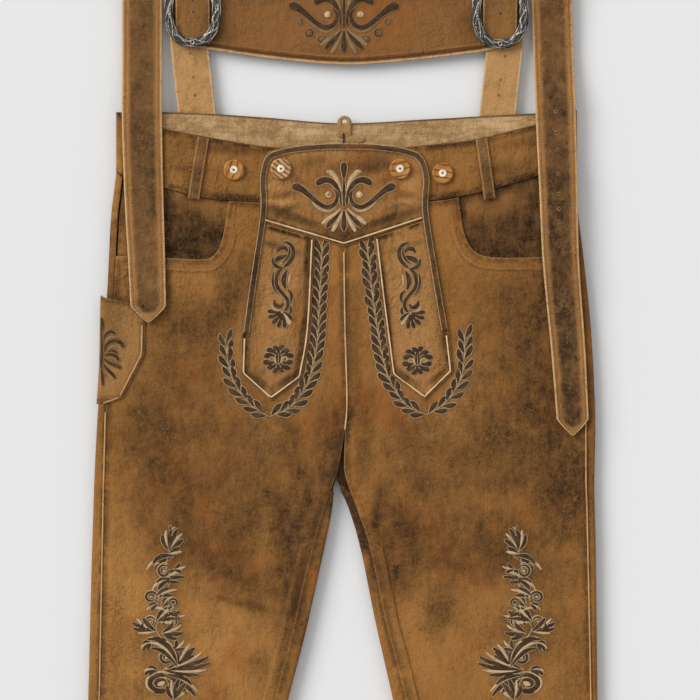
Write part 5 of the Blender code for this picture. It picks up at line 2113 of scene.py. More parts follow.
def spans(points: Array) -> Pair:
    """How wide and how tall flat points reach, in mm."""
    reach = points[:, :2].max(axis=0) - points[:, :2].min(axis=0)
    return float(reach[0]), float(reach[1])


# ---------------------------------------------------------------------------------------------
# Body


@dataclass(frozen=True)
class Half:
    """One half of the body, seen from the front."""

    word: str
    side: int
    leg: Table
    mouth: tuple
    band_seam: float
    band_end: float


HALVES = (
    Half("left", -1, LEFT_LEG, POCKET_MOUTH_LEFT, BAND_SEAM_LEFT, -226.0),
    Half("right", 1, RIGHT_LEG, POCKET_MOUTH_RIGHT, BAND_SEAM_RIGHT, 235.0),
)


@dataclass
class Body:
    """Back and front halves, pocket facings and waistband, with their sizes in mm."""

    finishes: Finishes
    fold_steps: int = 9
    flat_columns: int = 22
    turn_in: float = 24.0
    front_spacing: float = 4.4
    mouth_rows: Pair = (4.2, 8.4)
    seam_row: float = 4.0
    centre_row: float = 4.2
    centre_reach: Pair = (-80.0, 110.0)
    band_row: float = 3.6
    row_spacing: float = 8.0
    plain_edge: float = 40.0
    band_shares: tuple = (0, 0.04, 0.14, 0.26, 0.38, 0.5, 0.62, 0.74, 0.83, 0.92, 1.0)
    seams: Seams = field(init=False)

    def build(self) -> None:
        """Make every piece of the body."""
        self.seams = Seams("body_stitches", self.finishes.seam_thread)
        for half in HALVES:
            self.back(half)
            self.front(half)
            self.facing(half)
        self.band_back()
        for half in HALVES:
            self.band_front(half)
        self.seams.finish()

    def folded_edge(self, fold: Array, seam: Array, y: Array, outward: int) -> tuple[list, list]:
        """From the seam on top, out over the fold and under.

        Args:
            fold: Where the fold is, for each row.
            seam: Where the seam is.
            y: The rows.
            outward: Which way the fold faces.

        Returns:
            Lists of x and of z, one array a column.
        """
        top = front_height(seam, y)
        radius = top / 2
        centre = fold - outward * radius
        xs, zs = [seam], [top]
        for share in (0.35, 0.7):
            x = seam + (centre - seam) * share
            xs.append(x)
            zs.append(front_height(x, y) * (1 - share) + top * share)
        for k in range(self.fold_steps + 1):
            angle = math.pi * k / self.fold_steps
            xs.append(centre + outward * radius * math.sin(angle))
            zs.append(radius + radius * math.cos(angle))
        return xs, zs

    @staticmethod
    def section_wall(
        xs: list, zs: list, ys: Array, side: int, thickness: float,
    ) -> tuple[Array, Array]:
        """The outer and the inner points of a piece of sections.

        Args:
            xs: x, one array a column.
            zs: z, one array a column.
            ys: The rows' y, one for each row and column.
            side: Which way the section runs.
            thickness: The leather's thickness.

        Returns:
            The outer and the inner points, row by row.
        """
        x, z = np.column_stack(xs), np.column_stack(zs)
        run_x, run_z = np.gradient(x, axis=1), np.gradient(z, axis=1)
        length = np.maximum(np.hypot(run_x, run_z), 1e-9)
        run_x, run_z = run_x / length, run_z / length
        run_x[:, [0, -1]], run_z[:, [0, -1]] = np.sign(run_x[:, [0, -1]]), 0.0
        outer = np.stack([x, ys, z], axis=-1).reshape(-1, 3)
        reach = thickness * side
        inner = np.stack([x + run_z * reach, ys, z - run_x * reach], axis=-1)
        return outer, inner.reshape(-1, 3)

    def back(self, half: Half) -> None:
        """One back half: flat on the surface, turned up over the side and inner-leg folds.

        Args:
            half: Which half.
        """
        rise = np.arange(INNER_FOLD_TOP - 14, INNER_FOLD_TOP + 9, 3.0)
        y = np.unique(np.concatenate([np.arange(HEM, LEG_TOP, ROW_STEP), [LEG_TOP], rise]))[::-1]
        fold, seam, inseam, inner = (half.leg.read(y, k) for k in range(1, 5))
        outer_x, outer_z = self.folded_edge(fold, seam, y, half.side)
        inner_x, inner_z = self.folded_edge(inner, inseam, y, -half.side)
        legs = smooth_step((INNER_FOLD_TOP + 6 - y) / 18)
        count = len(inner_x)
        for k in range(count):
            inner_x[k] = inner_x[k] * legs + (inner + half.side * 0.45 * k) * (1 - legs)
            inner_z[k] = inner_z[k] * legs
        inner_x, inner_z = inner_x[::-1], inner_z[::-1]
        start, end = outer_x[-1], inner_x[0]
        flat = [start + (end - start) * k / (self.flat_columns + 1) for k in range(1, self.flat_columns + 1)]
        xs = outer_x + flat + inner_x
        zs = outer_z + [np.zeros(len(y))] * self.flat_columns + inner_z
        columns = len(xs)
        ys = np.repeat(y[:, None], columns, axis=1)
        foot = BAND.read(np.array([x[0] for x in xs]), 3)
        lift = smooth_step(np.array([z[0] for z in zs]) / zs[0][0])
        ys[0] = LEG_TOP + (foot - LEG_TOP) * lift - SEAM_GAP
        outer, inside = self.section_wall(xs, zs, ys, half.side, LEATHER)
        faces = grid_faces(len(y), columns)
        if half.side < 0:
            faces = turned(faces)
        edge = np.minimum(np.arange(columns), np.arange(columns)[::-1]) * 4.0
        wall = Wall(outer, inside, faces, np.tile(edge, len(y)))
        obj = dress_wall("back_half_" + half.word, wall, self.finishes.body, BACK_SHADE_AND_STAINS)
        settle(obj, Slot.TAN, "back_panel_" + half.word)

    def front_ring(self, half: Half) -> Array:
        """The outline of one front half.

        Args:
            half: Which half.

        Returns:
            The closed outline.
        """
        gap, side = SEAM_GAP, half.side
        centre = [(x + side * gap / 2, y) for y, x in CENTRE_FRONT]
        centre[0] = (centre[0][0], float(BAND.read(centre[0][0], 3)) - gap)
        low = np.arange(CROTCH - 5, HEM, -ROW_STEP)
        inseam = [(float(half.leg.read(y, 3)) + side * gap, y) for y in (*low, HEM)]
        top_y = half.mouth[-1][1]
        up = np.arange(HEM, top_y, ROW_STEP)
        seam = [(float(half.leg.read(y, 2)) - side * gap, y) for y in (*up, top_y)]
        opening = [seam[-1], *reversed(half.mouth[:-1])]
        opening[-1] = (opening[-1][0], float(BAND.read(opening[-1][0], 3)) - gap)
        top = [opening[-1]]
        for x in (side * 95 + 2, side * 60, side * 25):
            top.append((x, float(BAND.read(x, 3)) - gap))
        top.append(centre[0])
        runs = (centre, [centre[-1], inseam[0]], inseam, [inseam[-1], seam[0]], seam, opening, top)
        return smooth_ring(runs, PANEL_SPACING)

    def front(self, half: Half) -> None:
        """One front half, with its seams and its double row along the pocket mouth.

        Args:
            half: Which half.
        """
        ring = self.front_ring(half)
        wall = laid_wall(ring, front_height, LEATHER, self.front_spacing)
        x, y = wall.outer[:, 0], wall.outer[:, 1]
        near_centre = smooth_step(1 - (np.abs(x) - 34) / 12) * smooth_step((y + 230) / 30)
        near_band = smooth_step((y - BAND.read(x, 3) + 34) / 8)
        near_band = near_band * smooth_step(1 - (np.abs(x) - 100) / 8)
        near_side = smooth_step(1 - (np.abs(x - half.leg.read(y, 2)) - 18) / 6)
        near_side = near_side * smooth_step((44 - y) / 12)
        plain = np.maximum(np.maximum(near_centre, near_band), near_side)
        wall.hem = wall.rim + self.plain_edge * plain
        obj = dress_wall("front_half_" + half.word, wall, self.finishes.body)
        settle(obj, Slot.TAN, "front_panel_" + half.word)
        mouth = smooth_run(half.mouth, 3.0)
        for away in self.mouth_rows:
            self.seams.run(beside(mouth, -half.side * away)[2:-2], front_height)
        y = np.arange(HEM + 4, half.mouth[-1][1] - 12, self.row_spacing)
        x = half.leg.read(y, 2) - half.side * self.seam_row
        self.seams.run(np.column_stack([x, y]), front_height)
        y = np.arange(*self.centre_reach, self.row_spacing)
        x = Table(CENTRE_FRONT).read(y, 1) + half.side * self.centre_row
        self.seams.run(np.column_stack([x, y]), front_height)
        x = np.arange(6, 108, 6.0) * half.side
        self.seams.run(np.column_stack([x, BAND.read(x, 3) - self.seam_row]), front_height)

    def facing(self, half: Half) -> None:
        """The facing behind one pocket mouth.

        Args:
            half: Which half.
        """
        gap, side, margin = SEAM_GAP, half.side, FACING_MARGIN
        low = half.mouth[-1][1] - margin
        inner = half.mouth[0][0] - side * margin

        def seam_x(y: float) -> float:
            """The facing's outer edge at a height."""
            return float(half.leg.read(y, 2)) - side * (gap + 1.0)

        bottom = [
            (seam_x(low), low), (half.mouth[-3][0], low),
            (half.mouth[-4][0] - side * margin * 0.7, low + 5), (inner, half.mouth[-5][1] + 2),
        ]
        top_inner = (inner, float(BAND.read(inner, 3)) + 3)
        brow = float(BAND.read(half.band_seam, 3)) - 1.0
        seam = [(seam_x(y), y) for y in (brow, 104, 80, low)]
        top = [top_inner]
        for x in (side * 150, side * 190):
            top.append((x, float(BAND.read(x, 3)) + 2.0))
        top.append(seam[0])
        ring = smooth_ring((bottom, [bottom[-1], top_inner], top, seam), PANEL_SPACING)
        wall = laid_wall(ring, facing_height, FACING, rounded=0.1)
        obj = dress_wall("facing_" + half.word, wall, self.finishes.facing, FACING_STAINS_AND_SHADOWS)
        settle(obj, Slot.DARK, "pocket_facing_" + half.word)

    def band_back(self) -> None:
        """The back of the waistband, turned up round both side folds to the seams on top."""
        ends = []
        for half in HALVES:
            one = np.array([half.band_end]), np.array([half.band_seam]), np.array([LEG_TOP])
            xs, zs = self.folded_edge(*one, half.side)
            ends.append([(float(x[0]), float(z[0])) for x, z in zip(xs, zs)])
        start, stop = ends[0][-1][0], ends[1][-1][0]
        places = np.arange(start + 6, stop - 5, 6.0)
        path = np.array(ends[0] + [(x, 0.0) for x in places] + ends[1][::-1])
        shares = np.array(self.band_shares)
        top = np.where(path[:, 0] < 0, ends[0][0][1], ends[1][0][1])
        lift = smooth_step(path[:, 1] / top)
        upper = BAND.read(path[:, 0], 1)
        upper = upper + (BAND.read(path[:, 0], 2) - upper) * lift
        foot = LEG_TOP + (BAND.read(path[:, 0], 3) - LEG_TOP) * lift
        ys = upper[None] + (foot - upper)[None] * shares[:, None]
        xs = [np.full(len(shares), x) for x in path[:, 0]]
        zs = [np.full(len(shares), z) for z in path[:, 1]]
        outer, inside = self.section_wall(xs, zs, ys, -1, LEATHER)
        rise = (strap_end_rise(np.stack(xs, axis=1), ys) * (1 - lift)[None]).ravel()
        outer[:, 2] += rise
        inside[:, 2] += rise
        faces = turned(grid_faces(len(shares), len(path)))
        rim = np.repeat(np.minimum(shares, 1 - shares) * 60, len(path))
        wall = Wall(outer, inside, faces, rim)
        obj = dress_wall("band_back", wall, self.finishes.band_inside)
        settle(obj, Slot.TAN, "waistband_back")

    def band_front(self, half: Half) -> None:
        """One front of the waistband, which meets the other under the flap.

        Args:
            half: Which half.
        """
        gap, side = SEAM_GAP, half.side
        stops = [half.band_seam - side * gap, side * 200, side * 179, side * 135, side * 80, side * 40]
        centre = 2.3 + side * gap / 2
        top = [(x, float(BAND.read(x, 2))) for x in stops + [centre]]
        foot = [(x, float(BAND.read(x, 3)) + gap / 2) for x in [centre] + stops[::-1]]
        ring = smooth_ring((top, [top[-1], foot[0]], foot, [foot[-1], top[0]]), PANEL_SPACING)
        wall = laid_wall(ring, band_height, LEATHER + BAND_PROUD, groove=0.3)
        obj = dress_wall("band_front_" + half.word, wall, self.finishes.band)
        settle(obj, Slot.TAN, "waistband_front_" + half.word)
        x = np.arange(8, abs(half.band_seam) - 3, 6.0) * side
        self.seams.run(np.column_stack([x, BAND.read(x, 2) - self.band_row]), band_height)
        self.seams.run(np.column_stack([x, BAND.read(x, 3) + self.band_row]), band_height)


# ---------------------------------------------------------------------------------------------
# Flap, pockets and loops


def dress_piping(
    name: str, line: Array, height: Height, finish: Material, *nodes: str,
) -> Piece:
    """A rolled piping along a route on a height.

    Args:
        name: The piece's name.
        line: Its flat route.
        height: The height of what carries it.
        finish: Its finish.
        *nodes: The nodes that it replaces.

    Returns:
        The piece.
    """
    line = even_steps(line, 3.0)
    radius = PIPING_RADIUS * (0.82 + 0.08 * np.sin(line[:, 1] * 0.23))
    z = height(line[:, 0], line[:, 1]) + SEAM_GAP * 0.3 + PIPING_RADIUS * 0.8
    points, faces, coords = tube(np.column_stack([line, z]), radius, 8)
    obj = new_object(name, points, faces, [finish])
    set_uv(obj, coords)
    return settle(obj, Slot.PIPING, *nodes)


@dataclass
class Flap:
    """The drop flap: its top, its two tongues, its pipings and its binding, with sizes in mm."""

    finishes: Finishes
    spacing: float = 2.2
    groove: float = 0.35
    piping_row: float = 4.6
    binding_row: float = 4.4
    seams: Seams = field(init=False)

    def build(self) -> None:
        """Make the flap's pieces."""
        self.seams = Seams("flap_stitches", self.finishes.seam_thread)
        self.leather("flap_leather", "flap_top", smooth_ring(FLAP_TOP, TRIM_SPACING))
        for word, runs, pipe in (
            ("left", TONGUE_LEFT, TONGUE_PIPING_LEFT),
            ("right", TONGUE_RIGHT, TONGUE_PIPING_RIGHT),
        ):
            self.leather("tongue_" + word, "flap_tongue_" + word, smooth_ring(runs, TRIM_SPACING))
            self.cord("tongue_cord_" + word, smooth_route(pipe, TRIM_SPACING), "tongue_piping_" + word)
        route = smooth_route(FLAP_PIPING, TRIM_SPACING)
        self.cord("flap_cord", route, "flap_piping")
        self.seams.run(beside(route, self.piping_row), flap_height)
        centre = smooth_run([(x, y) for y, x in ((CENTRE_PIPING_TOP, 2.0), *CENTRE_FRONT[2:])], 3.0)
        finish = self.finishes.centre_piping
        dress_piping("centre_cord", centre, front_height, finish, "centre_piping")
        self.binding()
        self.seams.finish()

    def cord(self, name: str, route: Array, node: str) -> None:
        """One pale piping on the flap."""
        dress_piping(name, route, flap_height, self.finishes.piping, node)

    def leather(self, name: str, node: str, ring: Array) -> None:
        """One leather piece of the flap.

        Args:
            name: Its name.
            node: The node that it replaces.
            ring: Its outline.
        """
        wall = laid_wall(ring, flap_height, LEATHER, self.spacing, groove=self.groove)
        stains = TONGUE_STAINS if "tongue" in name else ()
        obj = dress_wall(name, wall, self.finishes.trim, stains)
        settle(obj, Slot.TAN, node)

    def binding(self) -> None:
        """The dark binding folded over the flap's free edge, stitched along its inner side."""
        line = even_steps(smooth_route(FLAP_BINDING, 2.5), 2.5)
        across = np.linspace(-1, 1, 7)
        flat = ribbon(line, across, BINDING_WIDTH)
        swell = 0.45 * (1 - across**2) - 0.30 * np.exp(-(((across + 0.55) / 0.16) ** 2))
        top = flap_height(flat[..., 0], flat[..., 1]) + LAID_GAP * 0.5 + BINDING + swell[None]
        outer = np.dstack([flat, top]).reshape(-1, 3)
        low = flap_height(flat[..., 0], flat[..., 1]) + 0.15
        inner = np.dstack([flat, low]).reshape(-1, 3)
        faces = facing_up(outer, turned(grid_faces(len(line), len(across))))
        rim = np.tile((1 - np.abs(across)) * BINDING_WIDTH / 2, len(line))
        obj = dress_wall("flap_edge_binding", Wall(outer, inner, faces, rim), self.finishes.binding)
        settle(obj, Slot.DARK, "flap_binding")
        self.seams.run(beside(line, -self.binding_row), flap_height)


@dataclass
class SmallPieces:
    """The knife pocket, the side pipings, the belt loops and the hanger, with sizes in mm."""

    finishes: Finishes
    side_tops: Pair = (-90.0, 58.0)
    stitch: Triple = (2.4, 0.6, 0.5)
    pitch: float = 3.2
    pocket_row: float = 2.6
    loop_bow: float = 1.5
    loop_row: float = 0.68
    hanger_at: Pair = (2.5, 198.6)
    hanger_foot: float = 183.0
    hanger_half: float = 7.5
    hanger_eye: float = 2.2
    seams: Seams = field(init=False)

    def build(self) -> None:
        """Make the small pieces."""
        self.seams = Seams("trim_stitches", self.finishes.seam_thread, self.stitch, self.pitch)
        self.side_pocket()
        for half, top in zip(HALVES, self.side_tops):
            y = np.arange(HEM, top + 1, 6.0)
            route = np.column_stack([half.leg.read(y, 2), y])
            finish, node = self.finishes.seam_piping, "side_piping_" + half.word
            dress_piping("side_cord_" + half.word, route, front_height, finish, node)
        for word, row in BELT_LOOPS.items():
            self.belt_loop(word, *row)
        self.hanger()
        self.seams.finish()

    def side_pocket(self) -> None:
        """The knife pocket: it lies on the front and goes down round the side fold."""
        radius = POCKET_RADIUS
        edge = smooth_route(SIDE_POCKET_FRONT, 3.0)
        top, foot = (np.array(p, float) for p in SIDE_POCKET_SIDE)
        outer, inside = [], []
        for k, end in enumerate(edge):
            start = top + (foot - top) * (k / (len(edge) - 1))
            fold = float(LEFT_LEG.read(end[1], 1))
            swell = POCKET_SWELL * float(smooth_step((end[1] + 60) / 80))
            bend = fold - swell + radius - LEATHER - LAID_GAP
            drop = radius * POCKET_TURN
            flat = np.concatenate([
                [bend - drop * 1.25], bend - drop * np.linspace(1, 0, 7),
                bend + (end[0] - bend) * np.linspace(0, 1, 15)[1:],
            ])
            y = start[1] + (end[1] - start[1]) * (flat - flat[0]) / (end[0] - flat[0])
            z = pocket_height(np.maximum(flat, bend), y)
            turn = np.clip((bend - flat) / radius, 0, POCKET_TURN)
            down = np.maximum(bend - flat - drop, 0)
            on_top = flat > bend
            for reach, thick, points in ((radius, 0.0, outer), (radius - LEATHER, LEATHER, inside)):
                x = np.where(on_top, flat, bend - reach * np.sin(turn))
                height = np.where(on_top, z - thick, z - radius + reach * np.cos(turn) - down)
                points.append(np.column_stack([x, y, height]))
        columns = len(outer[0])
        rows = np.minimum(np.arange(len(edge)), np.arange(len(edge))[::-1]) * 3.0
        rim = np.minimum(np.minimum(np.arange(columns)[::-1] * 4.0, 12.0)[None], rows[:, None]).ravel()
        wall = Wall(np.vstack(outer), np.vstack(inside), grid_faces(len(edge), columns), rim)
        obj = dress_wall("knife_pocket", wall, self.finishes.pocket)
        settle(obj, Slot.TAN, "side_pocket")
        route, finish = smooth_route(SIDE_POCKET_PIPING, TRIM_SPACING), self.finishes.seam_piping
        dress_piping("knife_pocket_cord", route, pocket_height, finish, "side_pocket_piping")
        self.seams.run(beside(route, -self.pocket_row), pocket_height)
        foot_line = smooth_run(((-223, -77.5), (-231, -80.6), (-238.5, -83.0)), TRIM_SPACING)
        dress_piping("knife_pocket_foot", foot_line, pocket_height, finish)
        line = np.column_stack([np.linspace(-234, -213, 9), np.linspace(20.0, 12.6, 9)])
        self.seams.run(line, pocket_height)

    def belt_loop(
        self, word: str, top_x: float, top_y: float, foot_x: float, foot_y: float, width: float,
    ) -> None:
        """One belt loop, bowed out from the waistband and stitched down both edges.

        Args:
            word: Which side it is on.
            top_x: Its upper end's x.
            top_y: Its upper end's y.
            foot_x: Its lower end's x.
            foot_y: Its lower end's y.
            width: Its width.
        """
        share = np.linspace(0, 1, 25)
        line = np.array([top_x, top_y]) + np.outer(share, [foot_x - top_x, foot_y - top_y])
        row = self.loop_row
        across = np.array([-1, -0.92, -row, -0.45, 0, 0.45, row, 0.92, 1])
        flat = ribbon(line, across, width)
        bow = self.loop_bow * np.sin(math.pi * share) ** 0.7
        shape = -0.35 * (np.abs(across) > 0.99) - 0.3 * (np.abs(np.abs(across) - row) < 0.05)
        top = band_height(flat[..., 0], flat[..., 1]) + SEAM_GAP + LEATHER
        outer = np.dstack([flat, top + bow[:, None] + shape[None]]).reshape(-1, 3)
        inner = outer - np.array([0, 0, LEATHER])
        rim = np.tile((1 - np.abs(across)) * width / 2, len(share))
        wall = Wall(outer, inner, facing_up(outer, grid_faces(len(share), len(across))), rim)
        obj = dress_wall("loop_" + word, wall, self.finishes.loop)
        set_attribute(obj, "across", np.tile(np.tile(across, len(share)), 2))
        settle(obj, Slot.TAN, "belt_loop_" + word)
        lift = SEAM_GAP + LEATHER

        def height(x: Array, y: Array) -> Array:
            """The loop's own face."""
            part = np.clip((top_y - y) / (top_y - foot_y), 0, 1)
            return band_height(x, y) + lift + self.loop_bow * np.sin(math.pi * part) ** 0.7

        for away in (-row, row):
            self.seams.run(beside(line, away * width / 2)[1:-1], height)

    def hanger(self) -> None:
        """The hanger at the centre back: a stitched leather loop on the inside of the waistband."""
        (x, hole_y), half, eye = self.hanger_at, self.hanger_half, self.hanger_eye
        turn = circle(40)
        cos, sin = np.cos(turn), np.sin(turn)
        narrow = half * (1 - 0.22 * np.maximum(sin, 0))
        outline = np.column_stack([
            x + narrow * 0.95 * cos, np.where(sin < -0.3, self.hanger_foot, hole_y + narrow * sin),
        ])
        hole = np.column_stack([x + eye * cos, hole_y + eye * sin])
        across = np.linspace(0, 1, 5)
        flat = hole[:, None] + (outline - hole)[:, None] * across[None, :, None]
        crown = 1.1 * np.sin(math.pi * across) ** 0.7
        z = LEATHER + SEAM_GAP + LEATHER - 0.3 + crown
        outer = np.dstack([flat, np.broadcast_to(z, flat.shape[:2])]).reshape(-1, 3)
        inner = outer.copy()
        inner[:, 2] = LEATHER + SEAM_GAP
        rows, columns = len(turn), len(across)
        faces = []
        for i in range(rows):
            here, after = i * columns, (i + 1) % rows * columns
            faces += [(here + j, here + j + 1, after + j + 1, after + j) for j in range(columns - 1)]
        rim = np.tile(np.minimum(across, 1 - across) * half, rows)
        wall = Wall(outer, inner, facing_up(outer, faces), rim)
        obj = dress_wall("hanger", wall, self.finishes.hanger)
        settle(obj, Slot.TAN, "hanger_loop")
        self.hanger_patches()

    def hanger_patches(self) -> None:
        """The flat patch and the slit beside the hanger, the slit a dark cord of painted shade, and the
        stitches over its foot.
        """
        patch = (
            (
                (3, 184), (12, 184.6), (18, 184.8), (22, 183.4), (23, 180.8), (21, 178.4), (16, 177),
                (3, 176),
            ),
            ((3, 176), (3, 184)),
        )
        level = 2 * LEATHER + SEAM_GAP

        def behind(x: Array, y: Array) -> Array:
            """The face of the patch beside the hanger."""
            return np.full(np.broadcast(x, y).shape, level)

        wall = laid_wall(smooth_ring(patch, 1.6), behind, LEATHER * 0.8, 1.8)
        settle(dress_wall("hanger_patch", wall, self.finishes.hanger), Slot.TAN)
        # The slit is a thin dark cord of painted shade.
        slit = np.array([(1.6, 187.0), (1.8, 181.0), (1.6, 176.0)])
        dress_piping("hanger_slit", slit, behind, self.finishes.hole_shade)
        line = np.column_stack([np.linspace(-3, 8, 6), np.full(6, 186.0)])
        self.seams.run(line, lambda x, y: behind(x, y) + 0.2)


# ---------------------------------------------------------------------------------------------
# Suspenders


@dataclass
class Suspender:
    """One suspender, folded over at the shoulder, its flesh side up on the short back part.

    Sizes are in mm; row is where its stitches run, as a share of half its width.
    """

    word: str
    back: tuple
    front: tuple
    clearance: tuple
    finishes: Finishes
    holes: tuple = ()
    step: float = 6.0
    fold_steps: int = 12
    row: float = 0.82
    row_depth: float = 0.35
    edge_depth: float = 0.5
    worn_tip: float = 26.0

    def underside(self, x: Array, y: Array) -> Array:
        """The height of the long front's underside.

        Args:
            x: Places across.
            y: Places up.

        Returns:
            The heights.
        """
        worn = front_height(x, y) + BAND_PROUD
        on_surface = float(Table(STRAP_HEIGHT).read(BAND_REACH, 1))
        share = smooth_step((y - BAND_REACH + 16) / 16)
        low = (worn + Table(self.clearance).read(y, 1)) * (1 - share)
        low = low + np.maximum(on_surface, worn) * share
        return np.where(y > BAND_REACH, Table(STRAP_HEIGHT).read(y, 1), low)

    def stations(self) -> Array:
        """Rows from the hidden end over the fold to the tip.

        Returns:
            Each row's x, y, width, turn about the fold, and part: 0 back, 1 fold, 2 front.
        """
        back, front = Table(self.back), Table(self.front)
        turn_y = self.back[-1][0] - STRAP_FOLD_RADIUS
        rows = []
        for y in np.arange(self.back[0][0], turn_y, self.step):
            rows.append((float(back.read(y, 1)), y, float(back.read(y, 2)), 0.0, 0))
        for k in range(self.fold_steps + 1):
            turn = math.pi * k / self.fold_steps
            y = turn_y + STRAP_FOLD_RADIUS * math.sin(turn)
            rows.append((self.back[-1][1], y, self.back[-1][2], turn, 1))
        tip, x, width = self.front[-1]
        for y in np.arange(turn_y - self.step, tip, -self.step):
            rows.append((float(front.read(y, 1)), y, float(front.read(y, 2)), math.pi, 2))
        for share in (0.0, 0.15, 0.3, 0.45, 0.6, 0.75, 0.88, 0.96, 1.0):
            narrow = 1 - 0.92 * share**1.15
            rows.append((x, tip - STRAP_POINT * share, width * narrow, math.pi, 2))
        return np.array(rows)

    def build(self, seams: Seams, eyelets: Heap) -> None:
        """Make the suspender, its stitches and its punched holes.

        Args:
            seams: The stitches to add to.
            eyelets: The punched holes to add to.
        """
        rows = self.stations()
        x, y, width, turn, part = rows.T
        middle, fold, front = np.column_stack([x, y]), part == 1, part == 2
        half = np.array([0.25, 0.5, 0.72, self.row, 0.9, 0.97, 1])
        across = np.concatenate([-half[::-1], [0.0], half])
        ahead = directions(middle)
        ahead[np.convolve(fold, [1, 1, 1], "same") > 0] = (0.0, 1.0)
        ahead[ahead[:, 1] < 0] *= -1.0
        side = np.column_stack([ahead[:, 1], -ahead[:, 0]])
        flat = middle[:, None] + side[:, None] * (across[None, :, None] * width[:, None, None] / 2)
        low = self.underside(flat[..., 0], flat[..., 1]) + STRAP
        settled = front & (y < self.back[-1][0] - STRAP_FOLD_RADIUS - 2)
        over = (STRAP_FOLD_RADIUS * (1 - np.cos(turn)))[:, None]
        height = np.where(settled[:, None], low, over)
        relief = np.exp(-(((np.abs(across) - self.row) / 0.05) ** 2)) * self.row_depth
        relief = relief + (np.abs(across) > 0.99) * self.edge_depth
        face = np.where(turn > math.pi / 2, 1.0, -1.0) * ~fold
        outer = np.dstack([flat, height - relief[None] * face[:, None]]).reshape(-1, 3)
        outer[:, 2] = np.maximum(outer[:, 2], 0.0)
        inner_y = flat[..., 1] - STRAP * np.sin(turn)[:, None]
        inner_z = height + STRAP * np.cos(turn)[:, None]
        inner = np.dstack([flat[..., 0], inner_y, inner_z]).reshape(-1, 3)
        faces = grid_faces(len(rows), len(across))
        if self.inside_out(outer, inner, faces):
            faces = turned(faces)
        wall = Wall(outer, inner, faces, ((1 - np.abs(across))[None] * width[:, None] / 2).ravel())
        obj = dress_wall("suspender_" + self.word, wall, self.finishes.strap)
        tip = np.where(front, smooth_step(1 - (y - y.min()) / self.worn_tip), 0.0)
        worn = np.maximum(np.abs(across)[None], tip[:, None] * 0.95)
        set_attribute(obj, "across", np.tile(worn.ravel(), 2))
        settle(obj, Slot.STRAP, "shoulder_strap_" + self.word)
        for place in (-self.row, self.row):
            line = (middle + side * (width * place / 2)[:, None])[front][2:-1]
            seams.run(line, lambda px, py: self.underside(px, py) + STRAP)
        for hole_x, hole_y, on_back, wide, tall in self.holes:
            where = np.array([[hole_x, hole_y]])
            z = STRAP if on_back else float(self.underside(where[:, 0], where[:, 1])[0]) + STRAP
            self.punch(eyelets, hole_x, hole_y, z, wide, tall, 2 if on_back else 1)

    @staticmethod
    def inside_out(outer: Array, inner: Array, faces: list) -> bool:
        """Whether the first face looks towards the wall's own inside."""
        a, b, c = (outer[k] for k in faces[0][:3])
        return float(np.cross(b - a, c - a) @ (outer[faces[0][0]] - inner[faces[0][0]])) < 0

    @staticmethod
    def punch(
        eyelets: Heap, x: float, y: float, z: float, wide: float = 1.7, tall: float = 2.0, depth: int = 1,
    ) -> None:
        """A punched hole: a rolled lip round a dished middle of painted shade, dark in most holes.

        Args:
            eyelets: The holes to add to.
            x: Its place across.
            y: Its place up.
            z: The leather's face there.
            wide: Half the lip's width.
            tall: Half the lip's height.
            depth: The number of the middle's finish, its painted shade.
        """
        sides, turn = 14, circle(14)
        ring = np.column_stack([np.cos(turn) * wide, np.sin(turn) * tall])
        points = raised(ring, x, y, z, ((1.0, 0.02), (0.82, 0.26), (0.58, 0.20)))
        eyelets.add(points, ring_faces(3, sides), points[:, :2], 0)
        disc = np.vstack([points[-sides:], [[x, y, z + 0.05]]])
        eyelets.add(disc, [(j, (j + 1) % sides, sides) for j in range(sides)], disc[:, :2], depth)


# Holes in the suspenders: x, y, whether in the back part, and the lip's half width and height.
STRAP_HOLES = {
    "left": (
        (-152.0, 267.0, True, 1.6, 1.8), (-149.0, 243.0, True, 1.6, 1.8), (-147.0, 225.0, True, 1.6, 1.8),
        *((-199.0, y, False, 0.9, tall) for y, tall in (
            (204, 1.6), (182, 2.2), (157.5, 3.4), (136, 3.8), (127, 1.4), (105, 2.0), (87, 3.0), (69, 1.5),
            (50, 1.2),
        )),
    ),
    "right": (
        (163.0, 264.0, True, 1.6, 1.8), (158.6, 240.4, True, 1.6, 1.8), (157.0, 225.0, True, 1.6, 1.8),
        *((x, y, False, 1.9, 2.0) for x, y in (
            (213.6, 208), (214.4, 187), (215.2, 170), (215.8, 146), (216.2, 126), (216.8, 111), (217.4, 98),
        )),
        *((x, y, False, 0.7, 3.6) for x, y in ((222.6, 28), (225.0, -20), (228.4, -66))),
    ),
}


